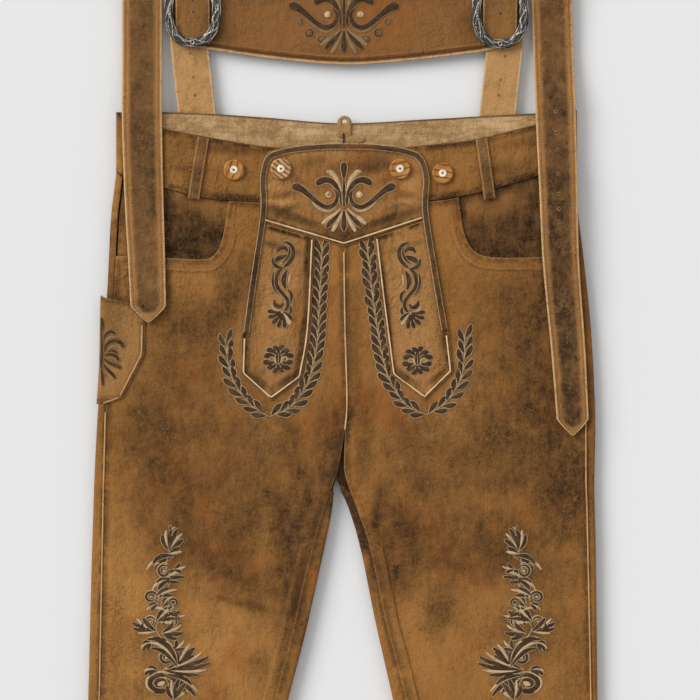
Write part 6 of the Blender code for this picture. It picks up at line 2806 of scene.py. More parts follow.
@dataclass
class Harness:
    """Both suspenders, the chest bar, and the buckles with their tabs, with sizes in mm."""

    finishes: Finishes
    stitch: Triple = (1.7, 0.8, 0.5)
    pitch: float = 2.8
    bar_rows: Pair = (3.4, 7.0)
    bar_spacing: float = 3.4
    bar_groove: float = 0.45
    tab_holes: Pair = (10.0, -1.0)
    seams: Seams = field(init=False)

    def build(self) -> None:
        """Make the harness."""
        self.seams = Seams("harness_stitches", self.finishes.rust_thread, self.stitch, self.pitch)
        eyelets = Heap()
        for word, back, front, clearance in (
            ("left", STRAP_BACK_LEFT, STRAP_FRONT_LEFT, STRAP_CLEAR_LEFT),
            ("right", STRAP_BACK_RIGHT, STRAP_FRONT_RIGHT, STRAP_CLEAR_RIGHT),
        ):
            strap = Suspender(word, back, front, clearance, self.finishes, STRAP_HOLES[word])
            strap.build(self.seams, eyelets)
        self.chest_bar()
        for word, (x, y) in BUCKLES.items():
            self.tab(word, x, y, eyelets)
            Buckle(word, x, y, self.finishes).build()
        obj = eyelets.build("punched_holes", [
            self.finishes.strap_hole, self.finishes.hole_shade, self.finishes.pale_hole_shade,
        ])
        settle(obj, Slot.STRAP)
        self.seams.finish()

    def chest_bar(self) -> None:
        """The chest bar, with a groove and two rows of stitches along its lower edge."""
        ring = smooth_ring(BIB_OUTLINE, PANEL_SPACING)
        wall = laid_wall(ring, bib_height, BIB, self.bar_spacing, groove=self.bar_groove)
        obj = dress_wall("chest_bar", wall, self.finishes.bib)
        settle(obj, Slot.TAN, "bib")
        lower = smooth_run(BIB_OUTLINE[1], 3.0)
        for row in self.bar_rows:
            self.seams.run(beside(lower, row), bib_height)

    def tab(self, word: str, x: float, y: float, eyelets: Heap) -> None:
        """A punched tab: on the bib at its foot, over the buckle's top bar and down to the strap.

        Args:
            word: Which side it is on.
            x: The buckle's centre across.
            y: The buckle's centre up.
            eyelets: The punched holes to add to.
        """
        up = np.arange(TAB_HEIGHT[0][0], TAB_HEIGHT[-1][0] + 1, 3.0)
        back = Table(STRAP_BACK_LEFT if word == "left" else STRAP_BACK_RIGHT)
        lean = smooth_step((up - 20) / 60)
        centre = x + (back.read(y + up, 1) - x) * lean
        across = np.array([-1, -0.94, -0.84, -0.6, -0.3, 0, 0.3, 0.6, 0.84, 0.94, 1])
        base = np.repeat(Table(TAB_HEIGHT).read(up, 1)[:, None], len(across), axis=1)
        drop = 0.4 * (np.abs(across) > 0.99) + 0.3 * (np.abs(np.abs(across) - 0.84) < 0.02)
        flat_x = centre[:, None] + across[None] * TAB_WIDTH / 2
        flat_y = np.repeat((y + up)[:, None], len(across), axis=1)
        outer = np.dstack([flat_x, flat_y, base + LEATHER - drop[None]]).reshape(-1, 3)
        inner = np.dstack([flat_x, flat_y, base]).reshape(-1, 3)
        faces = turned(grid_faces(len(up), len(across)))
        rim = np.tile((1 - np.abs(across)) * TAB_WIDTH / 2, len(up))
        wall = Wall(outer, inner, faces, rim)
        obj = dress_wall("punched_tab_" + word, wall, self.finishes.tab)
        settle(obj, Slot.STRAP, "bib_tab_" + word)
        for at in self.tab_holes:
            height = float(Table(TAB_HEIGHT).read(at, 1)) + LEATHER
            Suspender.punch(eyelets, x + 0.3, y + at, height)


@dataclass
class Buckle:
    """A cast oval frame, in mm: two roped rims, and interlaced vines in the channel between."""

    word: str
    x: float
    y: float
    finishes: Finishes
    half_width: float = 28.7
    half_height: float = 36.5
    band: float = 9.5
    thick: float = 4.6
    base: float = 8.4
    steps: int = 300
    section: int = 34
    squareness: float = 2.4
    vines: int = 5
    ring_at: float = 1.5 * math.pi
    ring_height: float = 1.2

    def cast(self, turn: Array, place: Array) -> Array:
        """How far the vines and the rims stand out of the channel.

        Args:
            turn: Angles round the frame, one for each row.
            place: Places across the frame, from -1 on its inner rim to 1 on its outer one.

        Returns:
            The relief, from 0 in the channel to about 1.
        """
        phase = self.vines * turn
        wander = 0.14 * np.sin(11 * turn + 1.0)
        relief = np.zeros(np.broadcast(turn, place).shape)
        for strand, sign, narrow in (
            (0.62 * np.sin(phase) + wander, 1.0, 0.12),
            (-0.62 * np.sin(phase + 0.4) + wander, -1.0, 0.12),
            (0.50 * np.sin(phase + 1.9), 0.6, 0.09),
            (0.26 * np.sin(2 * phase + 0.7) - 0.30, -0.4, 0.08),
        ):
            over = 0.76 + 0.24 * sign * np.cos(phase + 0.8)
            relief = np.maximum(relief, over * np.exp(-(((place - strand) / narrow) ** 2)))
        rope = 0.66 + 0.34 * np.sin(7 * turn + 0.6)
        return np.maximum(relief, np.exp(-(((np.abs(place) - 0.86) / 0.11) ** 2)) * rope)

    def build(self) -> None:
        """Make the frame."""
        turn = circle(self.steps)
        cos, sin = np.cos(turn), np.sin(turn)
        flat = (np.abs(cos) ** self.squareness + np.abs(sin) ** self.squareness) ** (-1 / self.squareness)
        middle = np.column_stack([
            (self.half_width - self.band / 2) * cos * flat,
            (self.half_height - self.band / 2) * sin * flat,
        ])
        away = np.column_stack([cos / self.half_width, sin / self.half_height])
        away /= np.linalg.norm(away, axis=1, keepdims=True)
        angle = circle(self.section)
        place, up, turn = np.cos(angle)[None], np.sin(angle)[None], turn[:, None]
        relief = self.cast(turn, place)
        lobed = 1 + 0.05 * np.cos(20 * turn) * np.abs(place)
        reach = place * self.band / 2 * lobed
        crown = np.abs(up) ** 0.55 * np.sign(up)
        cut = np.where(up > 0, -0.9 + 1.25 * (up > 0.02) * relief, 0.0)
        from_ring = np.hypot((turn - self.ring_at) / 0.10, place / 0.62)
        ring = np.exp(-(((from_ring - 0.72) / 0.24) ** 2)) * self.ring_height * (up > 0)
        ring = ring * (np.abs(turn - self.ring_at) < 0.147)
        height = self.base + self.thick / 2 * (1 + crown) + cut + ring
        points = np.dstack([
            self.x + middle[:, :1] + away[:, :1] * reach,
            self.y + middle[:, 1:] + away[:, 1:] * reach,
            height,
        ]).reshape(-1, 3)
        faces = [face[1:] + face[:1] for face in ring_faces(self.steps, self.section, closed=True)]
        obj = new_object("buckle_frame_" + self.word, points, faces, [self.finishes.silver])
        quiet = np.where(from_ring < 1.0, 0.1, relief)
        shown = np.where(up > 0.02, np.maximum(quiet, np.clip(ring, 0, 1)), 0.35)
        set_attribute(obj, "relief", np.clip(shown, 0, 1).ravel())
        settle(obj, Slot.SILVER, "buckle_" + self.word)


# ---------------------------------------------------------------------------------------------
# Buttons


# The horn, the pale boss and the pin, from the outside in: shares of the radius and the thickness.
BUTTON_PROFILES = (
    (
        (0.80, 0.0), (0.93, 0.10), (0.985, 0.3), (1.0, 0.5), (0.985, 0.75), (0.93, 0.95), (0.86, 1.0),
        (0.80, 0.96), (0.74, 0.86), (0.6, 0.80), (0.37, 0.80),
    ),
    ((0.37, 0.74), (0.365, 0.92), (0.30, 1.0), (0.17, 0.98), (0.13, 0.93)),
    ((0.13, 0.90), (0.09, 0.95), (0.01, 0.97)),
)
# How each button's growth lines are turned, in radians, and whether they are bold stripes.
GRAINS = ((0.25, False), (-0.95, True), (1.35, False), (1.75, False))


@dataclass
class Button:
    """A turned horn button, in mm: a raised rim, and a pale boss on a dark pin."""

    node: str
    x: float
    y: float
    grain_turn: float
    finishes: Finishes
    striped: bool = False
    radius: float = 10.5
    thick: float = 4.0
    gap: float = 0.7
    sides: int = 56

    def build(self) -> None:
        """Make the button and seat it clear of the leather round it."""
        on = flap_height if "inner" in self.node else band_height
        reach = self.radius * 0.8
        around = np.array([(0, 0), (reach, 0), (-reach, 0), (0, reach), (0, -reach)], float)
        seat = float(on(self.x + around[:, 0], self.y + around[:, 1]).max()) + self.gap
        r, h = self.radius, self.thick
        heap = Heap()
        for number, profile in enumerate(BUTTON_PROFILES):
            self.lathe(heap, [(r * share, h * up) for share, up in profile], seat, number)
        horn = self.finishes.striped_horn if self.striped else self.finishes.horn
        obj = heap.build("horn_" + self.node, [horn, self.finishes.bone, self.finishes.pin])
        points = np.vstack(heap.points)
        away = np.hypot(points[:, 0] - self.x, points[:, 1] - self.y) / r
        set_attribute(obj, "rimmed", smooth_step((away - 0.84) / 0.1))
        settle(obj, Slot.HORN, self.node)

    def lathe(self, heap: Heap, profile: Sequence[Pair], seat: float, number: int) -> None:
        """Turn one profile round the button's middle.

        Args:
            heap: The meshes to add to.
            profile: Radius and height pairs from the outside in.
            seat: The height of the button's underside.
            number: The material's number.
        """
        turn = circle(self.sides)
        ring = np.column_stack([np.cos(turn), np.sin(turn)])
        points = raised(ring, self.x, self.y, seat, profile)
        faces = ring_faces(len(profile), self.sides)
        faces.append(tuple(range(len(points) - self.sides, len(points))))
        if number == 0:
            faces.append(tuple(reversed(range(self.sides))))
        cos, sin = math.cos(self.grain_turn), math.sin(self.grain_turn)
        x, y = points[:, 0] - self.x, points[:, 1] - self.y
        coords = np.column_stack([x * cos - y * sin, x * sin + y * cos])
        heap.add(points, faces, coords + self.grain_turn * 7.0, number)


# ---------------------------------------------------------------------------------------------
# Needlework


class Tone(Enum):
    """Which thread fills a petal."""

    DARK = 0
    CREAM = 1


Petal = tuple[Tone, tuple]


def both_sides(petals: Sequence[Petal]) -> list[Petal]:
    """The petals and their mirror images about the stem."""
    return [*petals, *((tone, tuple((-x, y, w) for x, y, w in line)) for tone, line in petals)]


def placed(
    petals: Sequence[Petal], x: float, y: float, size: float = 1.0, turn: float = 0.0, flip: int = 1,
) -> list[Petal]:
    """Petals of a motif at a place.

    Args:
        petals: The motif's petals about its own middle.
        x: Where its middle goes, across.
        y: Where its middle goes, up.
        size: How large it is made.
        turn: How far it is turned, in radians.
        flip: -1 for its mirror image.

    Returns:
        The petals in their place.
    """
    cos, sin = math.cos(turn), math.sin(turn)
    out = []
    for tone, line in petals:
        moved = []
        for px, py, width in line:
            qx, qy = px * flip * size, py * size
            moved.append((x + qx * cos - qy * sin, y + qx * sin + qy * cos, width * size))
        out.append((tone, tuple(moved)))
    return out


def palmette() -> list[Petal]:
    """A bud on a stem, two pairs of shoulders, two long arms and a fan below.

    Returns:
        The petals.
    """
    dark, cream = Tone.DARK, Tone.CREAM
    middle = [
        (dark, ((0, 17, 1.6), (0, 6, 3.0), (0, -5, 4.2), (0, -13, 1.4))),
        (dark, ((0, 14, 1.8), (0, 20.5, 4.4), (0, 27.5, 6.8), (0, 32, 3.4))),
        (dark, ((0, -15.5, 1.4), (0, -22, 4.0), (0, -31, 5.6), (0, -36.5, 2.2))),
    ]
    sides = [
        (cream, ((2.6, 3, 1.2), (5, 11, 3.4), (9, 18, 4.6), (13.6, 22.4, 4.8), (17.4, 22.6, 2.2))),
        (dark, (
            (2.4, -11, 1.8), (3.6, -3, 4.0), (6.2, 5.4, 4.6), (11.4, 12.2, 5.2), (18.4, 14.6, 6.4),
            (24.8, 12.2, 6.8), (26.8, 9.2, 3.4),
        )),
        (dark, (
            (10.6, 5.4, 1.6), (7.4, 2.0, 2.8), (6.6, -4.0, 3.8), (10.4, -10.4, 4.4), (17.6, -12.6, 4.6),
            (26, -8.4, 4.6), (34, -1.6, 5.0), (41.6, 4.6, 6.4), (47.6, 7.4, 8.2), (51.4, 6.0, 5.0),
        )),
        (cream, ((8.0, -13.0, 0.9), (15.6, -16.8, 1.8), (24.6, -14.2, 1.8), (32.4, -7.6, 0.9))),
        (cream, ((3.0, -13.6, 1.0), (9, -19.6, 2.8), (16.4, -25, 4.6), (22.0, -29.4, 2.6))),
        (dark, ((2.8, -16, 1.2), (8, -22.8, 3.6), (13.8, -28.6, 4.8), (17.8, -33, 2.4))),
        (cream, ((1.8, -18, 1.0), (5, -25.4, 2.8), (9.0, -32.2, 4.2), (11.6, -37.0, 2.4))),
    ]
    return middle + both_sides(sides)


def small_palmette() -> list[Petal]:
    """The pocket's half palmette, whose stem lies along the fold.

    Returns:
        The petals.
    """
    dark, cream = Tone.DARK, Tone.CREAM
    return [
        (dark, ((0, 34, 1.8), (1.2, 27, 3.6), (0.2, 19, 2.0))),
        (dark, ((0, 20, 1.4), (0.8, 6, 2.6), (0.4, -10, 3.0), (0, -18, 1.8))),
        (dark, ((1.6, 10, 1.4), (4.4, 16.4, 2.6), (9.6, 20, 3.2), (14, 17.4, 2.4))),
        (cream, ((2.6, 8, 0.9), (7.4, 13.8, 2.2), (13, 13.6, 1.6))),
        (dark, ((2.6, 0, 1.8), (6.4, 7.4, 3.0), (13.4, 10.6, 3.7), (20, 8.2, 3.9), (22.4, 3.6, 2.2))),
        (cream, ((4.6, -2, 0.9), (8.6, 2.6, 2.0), (13.0, 4.8, 2.2), (17.4, 2.4, 1.2))),
        (cream, ((2.8, 4.0, 0.8), (6.4, 11.6, 1.4), (13.6, 14.6, 1.6), (21.6, 12.0, 1.4), (25.6, 5.6, 0.8))),
        (dark, ((6.6, -1.0, 1.0), (11.0, 0.6, 2.6), (15.0, -1.2, 2.4), (14.6, -3.6, 1.0))),
        (cream, ((3.2, -6.4, 0.8), (9.6, -8.6, 1.4), (16.4, -11.2, 1.4), (20.4, -10.6, 0.8))),
        (dark, ((3.6, -4.4, 1.6), (9, -3.4, 2.9), (15, -5.4, 3.3), (17.6, -9.6, 2.4))),
        (dark, ((3, -8, 1.6), (9, -12.6, 2.9), (15.6, -15, 3.5), (20, -17.6, 2.4))),
        (dark, ((1.8, -13, 1.4), (6.4, -19, 2.9), (11.6, -24, 3.2), (14.4, -28, 2.0))),
        (cream, ((1.2, -16, 0.8), (3.6, -23, 2.2), (7.6, -30, 1.6))),
        (dark, ((0.4, -18, 1.4), (1.2, -26, 3.3), (1.6, -35, 2.0))),
    ]


def climbing_scroll() -> list[Petal]:
    """The tongues' tall scroll: a winding stem with curls, and a fan at its foot.

    Returns:
        The petals.
    """
    dark, cream = Tone.DARK, Tone.CREAM
    petals = [
        (dark, (
            (0.4, 43.4, 1.2), (6.2, 41.4, 3.4), (10.2, 36, 4.0), (10.0, 28.6, 4.2), (5.6, 21.6, 3.8),
            (-0.6, 17.2, 2.0),
        )),
        (dark, ((-6.2, 33.4, 2.0), (-2.6, 37, 4.8), (2.6, 36.8, 4.0), (4.4, 33.4, 1.8))),
        (dark, ((-8.4, 21.6, 2.0), (-5.4, 26, 5.2), (0.6, 28.4, 4.4), (5.6, 30, 1.6))),
        (cream, ((-3.4, 20.4, 0.9), (0.6, 23.4, 2.0), (4.6, 26.2, 1.0))),
        (dark, (
            (1.6, 18.4, 1.6), (-4.4, 13.4, 3.8), (-6.6, 5.4, 4.0), (-5.2, -2.6, 4.0), (0.4, -9.4, 3.6),
            (4.6, -15.6, 3.8), (4.6, -22, 3.4), (0.6, -27.4, 1.8),
        )),
        (dark, ((4.2, 15, 1.6), (1.6, 9.4, 4.6), (0.6, 3.0, 5.0), (2.6, -3.6, 2.0))),
        (cream, ((7.4, 11.6, 0.9), (6.4, 6.4, 2.0), (6.2, 1.0, 1.0))),
        (dark, ((6.2, 38.4, 1.2), (6.6, 32.6, 2.6), (3.6, 26.0, 2.4), (-1.0, 21.8, 1.2))),
        (dark, ((-10.6, 27.4, 1.4), (-9.4, 21.6, 3.8), (-4.4, 17.6, 3.4), (0.6, 17.4, 1.2))),
        (dark, ((-9.2, 13.0, 1.2), (-10.4, 5.0, 2.6), (-8.6, -3.6, 2.2), (-4.6, -9.4, 1.2))),
        (dark, ((4.6, -4.4, 1.2), (8.0, -8.4, 3.4), (8.6, -13.6, 2.8), (6.8, -17.4, 1.2))),
        (cream, ((-4.4, 11.4, 0.8), (-5.0, 4.4, 1.6), (-3.4, -3.6, 1.4), (1.6, -10.4, 0.8))),
        (dark, ((7.0, -20.0, 1.2), (8.0, -26.0, 3.2), (4.6, -30.6, 1.6))),
        (dark, ((-9, -14.6, 1.6), (-7.6, -19.6, 4.4), (-2.6, -21.6, 3.8), (0.8, -18, 1.6))),
        (cream, ((-11.4, -20, 0.9), (-8.4, -25.0, 1.8), (-2.0, -26.2, 1.0))),
    ]
    root_x, root_y = -0.4, -26.8
    tips = (
        (-15.4, -26.2), (-14.6, -32.6), (-10.6, -38.6), (-4.6, -42.2), (2.0, -42.6), (7.8, -39.2),
        (9.2, -34.2),
    )
    for k, (x, y) in enumerate(tips):
        bow = 0.96 if k < 4 else -0.96
        out_x, out_y = x - root_x, y - root_y
        petals.append((cream if k == 5 else dark, (
            (root_x, root_y, 1.2), (root_x + out_x * 0.5, root_y + out_y * 0.5 - bow, 3.8),
            (root_x + out_x * 0.82, root_y + out_y * 0.82, 4.6), (x, y, 2.4),
        )))
    return petals


def round_flower() -> list[Petal]:
    """The tongues' round flower: a ring of round petals about two facing curls.

    Returns:
        The petals.
    """
    petals = []
    for k in range(12):
        angle = 2 * math.pi * (k + 0.5) / 12
        length = 14.6 if k % 2 else 15.6
        side = 0.26 if math.cos(angle) * math.sin(angle) > 0 else -0.26
        inner = (4.6 * math.cos(angle + side * 1.6), 4.6 * math.sin(angle + side * 1.6), 1.4)
        middle = (9.2 * math.cos(angle + side), 8.8 * math.sin(angle + side), 4.4)
        outer = (length * 0.84 * math.cos(angle), length * 0.80 * math.sin(angle), 5.6)
        tip = (length * math.cos(angle), (length - 0.8) * math.sin(angle), 3.4)
        petals.append((Tone.DARK, (inner, middle, outer, tip)))
    curls = [
        (Tone.CREAM, (
            (1.0, -8.8, 0.9), (2.4, -3.4, 1.6), (4.4, 1.4, 1.6), (8.0, 2.4, 1.4), (8.6, -1.2, 0.9),
        )),
        (Tone.DARK, ((0.7, 9.4, 1.2), (1.3, 2.0, 2.8), (0.8, -6.0, 1.2))),
    ]
    return petals + both_sides(curls)


def arc_leaf(x: float, y: float, aim: float, length: float, bend: float, width: float, tone: Tone) -> Petal:
    """One leaf that leaves a root in a direction and bends as it goes.

    Args:
        x: Its root, across.
        y: Its root, up.
        aim: The direction it leaves in, in degrees.
        length: Its length.
        bend: How far it turns by its tip, in degrees.
        width: Its greatest width.
        tone: Its thread.

    Returns:
        The petal.
    """
    steps, line = 6, [(x, y, width * 0.30)]
    for k in range(1, steps + 1):
        part = k / steps
        angle = math.radians(aim + bend * part * part)
        x += length / steps * math.cos(angle)
        y += length / steps * math.sin(angle)
        line.append((x, y, width * (0.26 + 0.80 * math.sin(math.pi * part * 0.90) ** 1.2)))
    return tone, tuple(line)


def spray(row: Sequence[float]) -> list[Petal]:
    """A sheaf of leaves that share a root, the middle ones longest, every third one cream.

    Args:
        row: x, y, first direction, last direction, leaves, length, bend and width.

    Returns:
        The petals.
    """
    x, y, first, last, leaves, length, bend, width = row
    petals = []
    for k in range(leaves):
        part = k / max(leaves - 1, 1)
        reach = length * (0.74 + 0.26 * math.sin(math.pi * part))
        tone = Tone.CREAM if k % 3 == 1 else Tone.DARK
        petals.append(arc_leaf(
            x, y, first + (last - first) * part, reach, bend * (1 - 0.5 * part),
            width * (0.7 if tone is Tone.CREAM else 1.0), tone,
        ))
    return petals


def curl(row: Sequence[float]) -> list[Petal]:
    """A spiral of satin with a pale heart and a paler line outside.

    Args:
        row: x, y, radius, start direction, hand (1 anticlockwise, -1 clockwise) and flatness.

    Returns:
        The petals.
    """
    x, y, radius, start, hand, flat = row
    petals = []
    for turns, share, fat, tone in (
        (1.15, 1.0, 0.30, Tone.DARK), (0.80, 1.34, 0.13, Tone.CREAM), (0.7, 0.5, 0.2, Tone.DARK),
    ):
        line = []
        for k in range(9):
            part = k / 8
            angle = math.radians(start) + hand * 2 * math.pi * turns * part
            away = radius * share * (1 - 0.42 * part)
            width = radius * fat * (0.45 + 1.1 * math.sin(math.pi * min(part * 1.1 + 0.06, 1.0)))
            line.append((x + away * math.cos(angle), y + flat * away * math.sin(angle), max(width, 0.9)))
        petals.append((tone, tuple(line)))
    petals.append((Tone.CREAM, (
        (x - radius * 0.26, y - radius * 0.10, radius * 0.14), (x, y, radius * 0.36),
        (x + radius * 0.26, y + radius * 0.10, radius * 0.16),
    )))
    return petals


# The left thigh's sheaves of leaves, in mm and degrees: x, y, first direction, last direction,
# leaves, length, bend, width.
THIGH_SPRAYS = (
    (-172.5, -231, 128, 46, 6, 24, -34, 4.8),
    (-171, -211, 118, 56, 2, 8, -70, 2.0),
    (-173, -233, 22, 2, 2, 17, 16, 4.8),
    (-168, -236, 172, 200, 3, 32, 66, 4.6),
    (-184, -262, 48, 4, 4, 28, -30, 4.2),
    (-171, -259, 172, 204, 3, 23, 74, 4.2),
    (-186, -276, 40, 6, 3, 22, -20, 4.0),
    (-180, -288, 80, 20, 5, 16, -40, 4.2),
    (-174, -292, 60, 330, 4, 15, 40, 4.0),
    (-186, -311, 146, 192, 5, 25, -26, 4.4),
    (-186, -302, 66, 0, 5, 26, -30, 4.4),
    (-180, -313, 30, -30, 4, 22, 36, 4.4),
    (-196, -298, 236, 290, 3, 14, 30, 3.8),
    (-164, -348, 84, 122, 6, 47, 104, 4.4),
    (-165, -347, 82, 40, 4, 27, -26, 5.4),
    (-178, -350, 22, -14, 6, 47, 26, 4.8),
    (-176, -355, -2, -34, 4, 38, -44, 4.4),
    (-184, -350, 150, 204, 4, 15, 50, 4.2),
    (-168, -380, 130, 40, 5, 22, -30, 4.6),
    (-176, -404, 168, 210, 4, 24, 40, 4.4),
    (-166, -412, 50, -10, 5, 26, 26, 4.4),
    (-172, -440, 150, 210, 4, 22, 36, 4.2),
    (-166, -448, 36, -24, 4, 22, 26, 4.2),
    (-168, -466, 236, 304, 5, 17, 12, 4.0),
    (-176, -243, 150, 196, 3, 13, 70, 3.4),
    (-168, -249, 30, -30, 3, 12, 40, 3.4),
    (-184, -284, 170, 214, 3, 13, 60, 3.4),
    (-170, -296, 20, -40, 3, 13, 40, 3.4),
    (-190, -322, 170, 230, 4, 14, 60, 3.6),
    (-168, -330, 60, 0, 3, 14, 40, 3.6),
)
# Its curls: x, y, radius, start direction, hand, flatness.
THIGH_CURLS = (
    (-178, -251, 6.2, 60, 1, 1.0),
    (-178, -268, 5.6, 100, 1, 0.95),
    (-191, -277, 6.4, 330, 1, 0.9),
    (-168.5, -283, 4.8, 230, -1, 1.0),
    (-192, -302, 5.6, 20, 1, 0.95),
    (-169, -302, 4.8, 200, -1, 1.0),
    (-175.5, -338, 7.2, 30, 1, 0.85),
    (-181, -364, 13.5, 40, 1, 0.72),
    (-172, -396, 8.0, 60, -1, 0.9),
    (-180, -424, 7.0, 40, 1, 0.9),
    (-168, -458, 4.6, 80, -1, 1.0),
)
# Its stem, and how far the right thigh's middle lies beside the left one's mirror image.
THIGH_STEM = (
    (-172, -231), (-176, -246), (-172, -262), (-180, -278), (-178, -294), (-186, -308), (-178, -322),
    (-165, -345), (-178, -352), (-168, -378), (-176, -402), (-166, -412), (-172, -438), (-168, -466),
)
THIGH_MIRROR = 4.0
# The vines, each grown from its foot along two branches, and one leaf: x, y and width, in mm.
VINES = (
    ((-73, -97), (-52, -87), (-37, -68), (-29.5, -48), (-24.6, -20), (-22.8, 14), (-19.6, 76)),
    ((-73, -97), (-92, -84), (-106, -65), (-113, -46), (-117, -18)),
    ((85, -95), (66, -86), (52, -68), (43, -46), (36, -12), (31, 22), (25, 76)),
    ((85, -95), (104, -82), (117, -63), (122, -44), (123, -14)),
)
VINE_LEAF = ((0.0, 0.4, 1.0), (4.4, 3.0, 4.2), (9.2, 5.2, 5.4), (13.8, 6.2, 1.8))


@dataclass
class Needlework:
    """Satin petals with corded outlines, laid on whatever carries them, with sizes in mm."""

    name: str
    finishes: Finishes
    height: Height
    cord: float = 0.42
    loft: float = 0.75
    least: float = 0.5
    full_width: float = 2.8
    quiet: bool = False
    layer: float = 0.0
    heap: Heap = field(default_factory=Heap)

    def sew(self, petals: Sequence[Petal], outlined: bool = True) -> None:
        """Sew petals.

        Args:
            petals: The petals in their places.
            outlined: Whether a cord runs round the dark ones.
        """
        for count, (tone, line) in enumerate(petals):
            self.layer = 0.055 * (count % 11)
            self.satin(np.array(line, float), tone)
            if outlined and tone is Tone.DARK:
                self.outline(np.array(line, float))

    def satin(self, control: Array, tone: Tone) -> None:
        """Fill one petal with raised satin stitches.

        Args:
            control: x, y and width along its middle.
            tone: The thread.
        """
        line = smooth_run(control, 2.0)
        line, width = line[:, :2], np.maximum(line[:, 2], self.least)
        across = np.array([-1.0, -0.6, 0.0, 0.6, 1.0])
        flat = ribbon(line, across, width)
        full = np.minimum(1.0, width / self.full_width)[:, None]
        loft = self.loft * full * (1 - across[None] ** 2) + 0.12
        base = self.height(flat[..., 0], flat[..., 1]) + self.layer
        points = np.dstack([flat, base + loft]).reshape(-1, 3)
        coords = np.column_stack([np.repeat(run_length(line), len(across)), np.tile(across, len(line))])
        faces = facing_up(points, turned(grid_faces(len(line), len(across))))
        self.heap.add(points, faces, coords, tone.value)

    def outline(self, control: Array) -> None:
        """Run a cord round one petal.

        Args:
            control: x, y and width along its middle.
        """
        line = smooth_run(control, 2.2)
        width = np.maximum(line[:, 2], self.least) + self.cord
        sides = ribbon(line[:, :2], np.array([-1.0, 1.0]), width)
        ring = laid(np.vstack([sides[:, 1], sides[::-1, 0]]), self.height, self.cord * 0.8 + self.layer)
        self.heap.add(*tube(ring, self.cord, 5, closed=True), 3)

    def stem(self, flat: Array, radius: float) -> None:
        """Lay a cream cord along a route.

        Args:
            flat: Its flat points.
            radius: Its radius.
        """
        line = laid(even_steps(flat, 2.0), self.height, radius * 0.7)
        self.heap.add(*tube(line, radius, 5), 3)

    def stud(self, x: float, y: float, radius: float) -> None:
        """A small domed stud in a beaded ring.

        Args:
            x: Its middle, across.
            y: Its middle, up.
            radius: Its radius.
        """
        sides, turn = 16, circle(16)
        base = float(self.height(np.array([x]), np.array([y]))[0])
        beads = radius * (1 + 0.08 * np.cos(8 * turn))
        profile = ((1.0, 0.1), (0.98, 0.9), (0.80, 1.2), (0.66, 0.9), (0.5, 1.3), (0.24, 1.7), (0.02, 1.8))
        points = raised(np.column_stack([beads * np.cos(turn), beads * np.sin(turn)]), x, y, base, profile)
        faces = ring_faces(len(profile), sides)
        faces.append(tuple(range(len(points) - sides, len(points))))
        self.heap.add(points, faces, points[:, :2], 2)

    def finish(self) -> Piece:
        """Make the needlework one piece.

        Returns:
            The piece.
        """
        cream, cord = self.finishes.cream_thread, self.finishes.cord_thread
        if self.quiet:
            cream = cord = self.finishes.quiet_thread
        threads = [self.finishes.dark_thread, cream, self.finishes.stud, cord]
        return settle(self.heap.build(self.name, threads), Slot.THREAD)


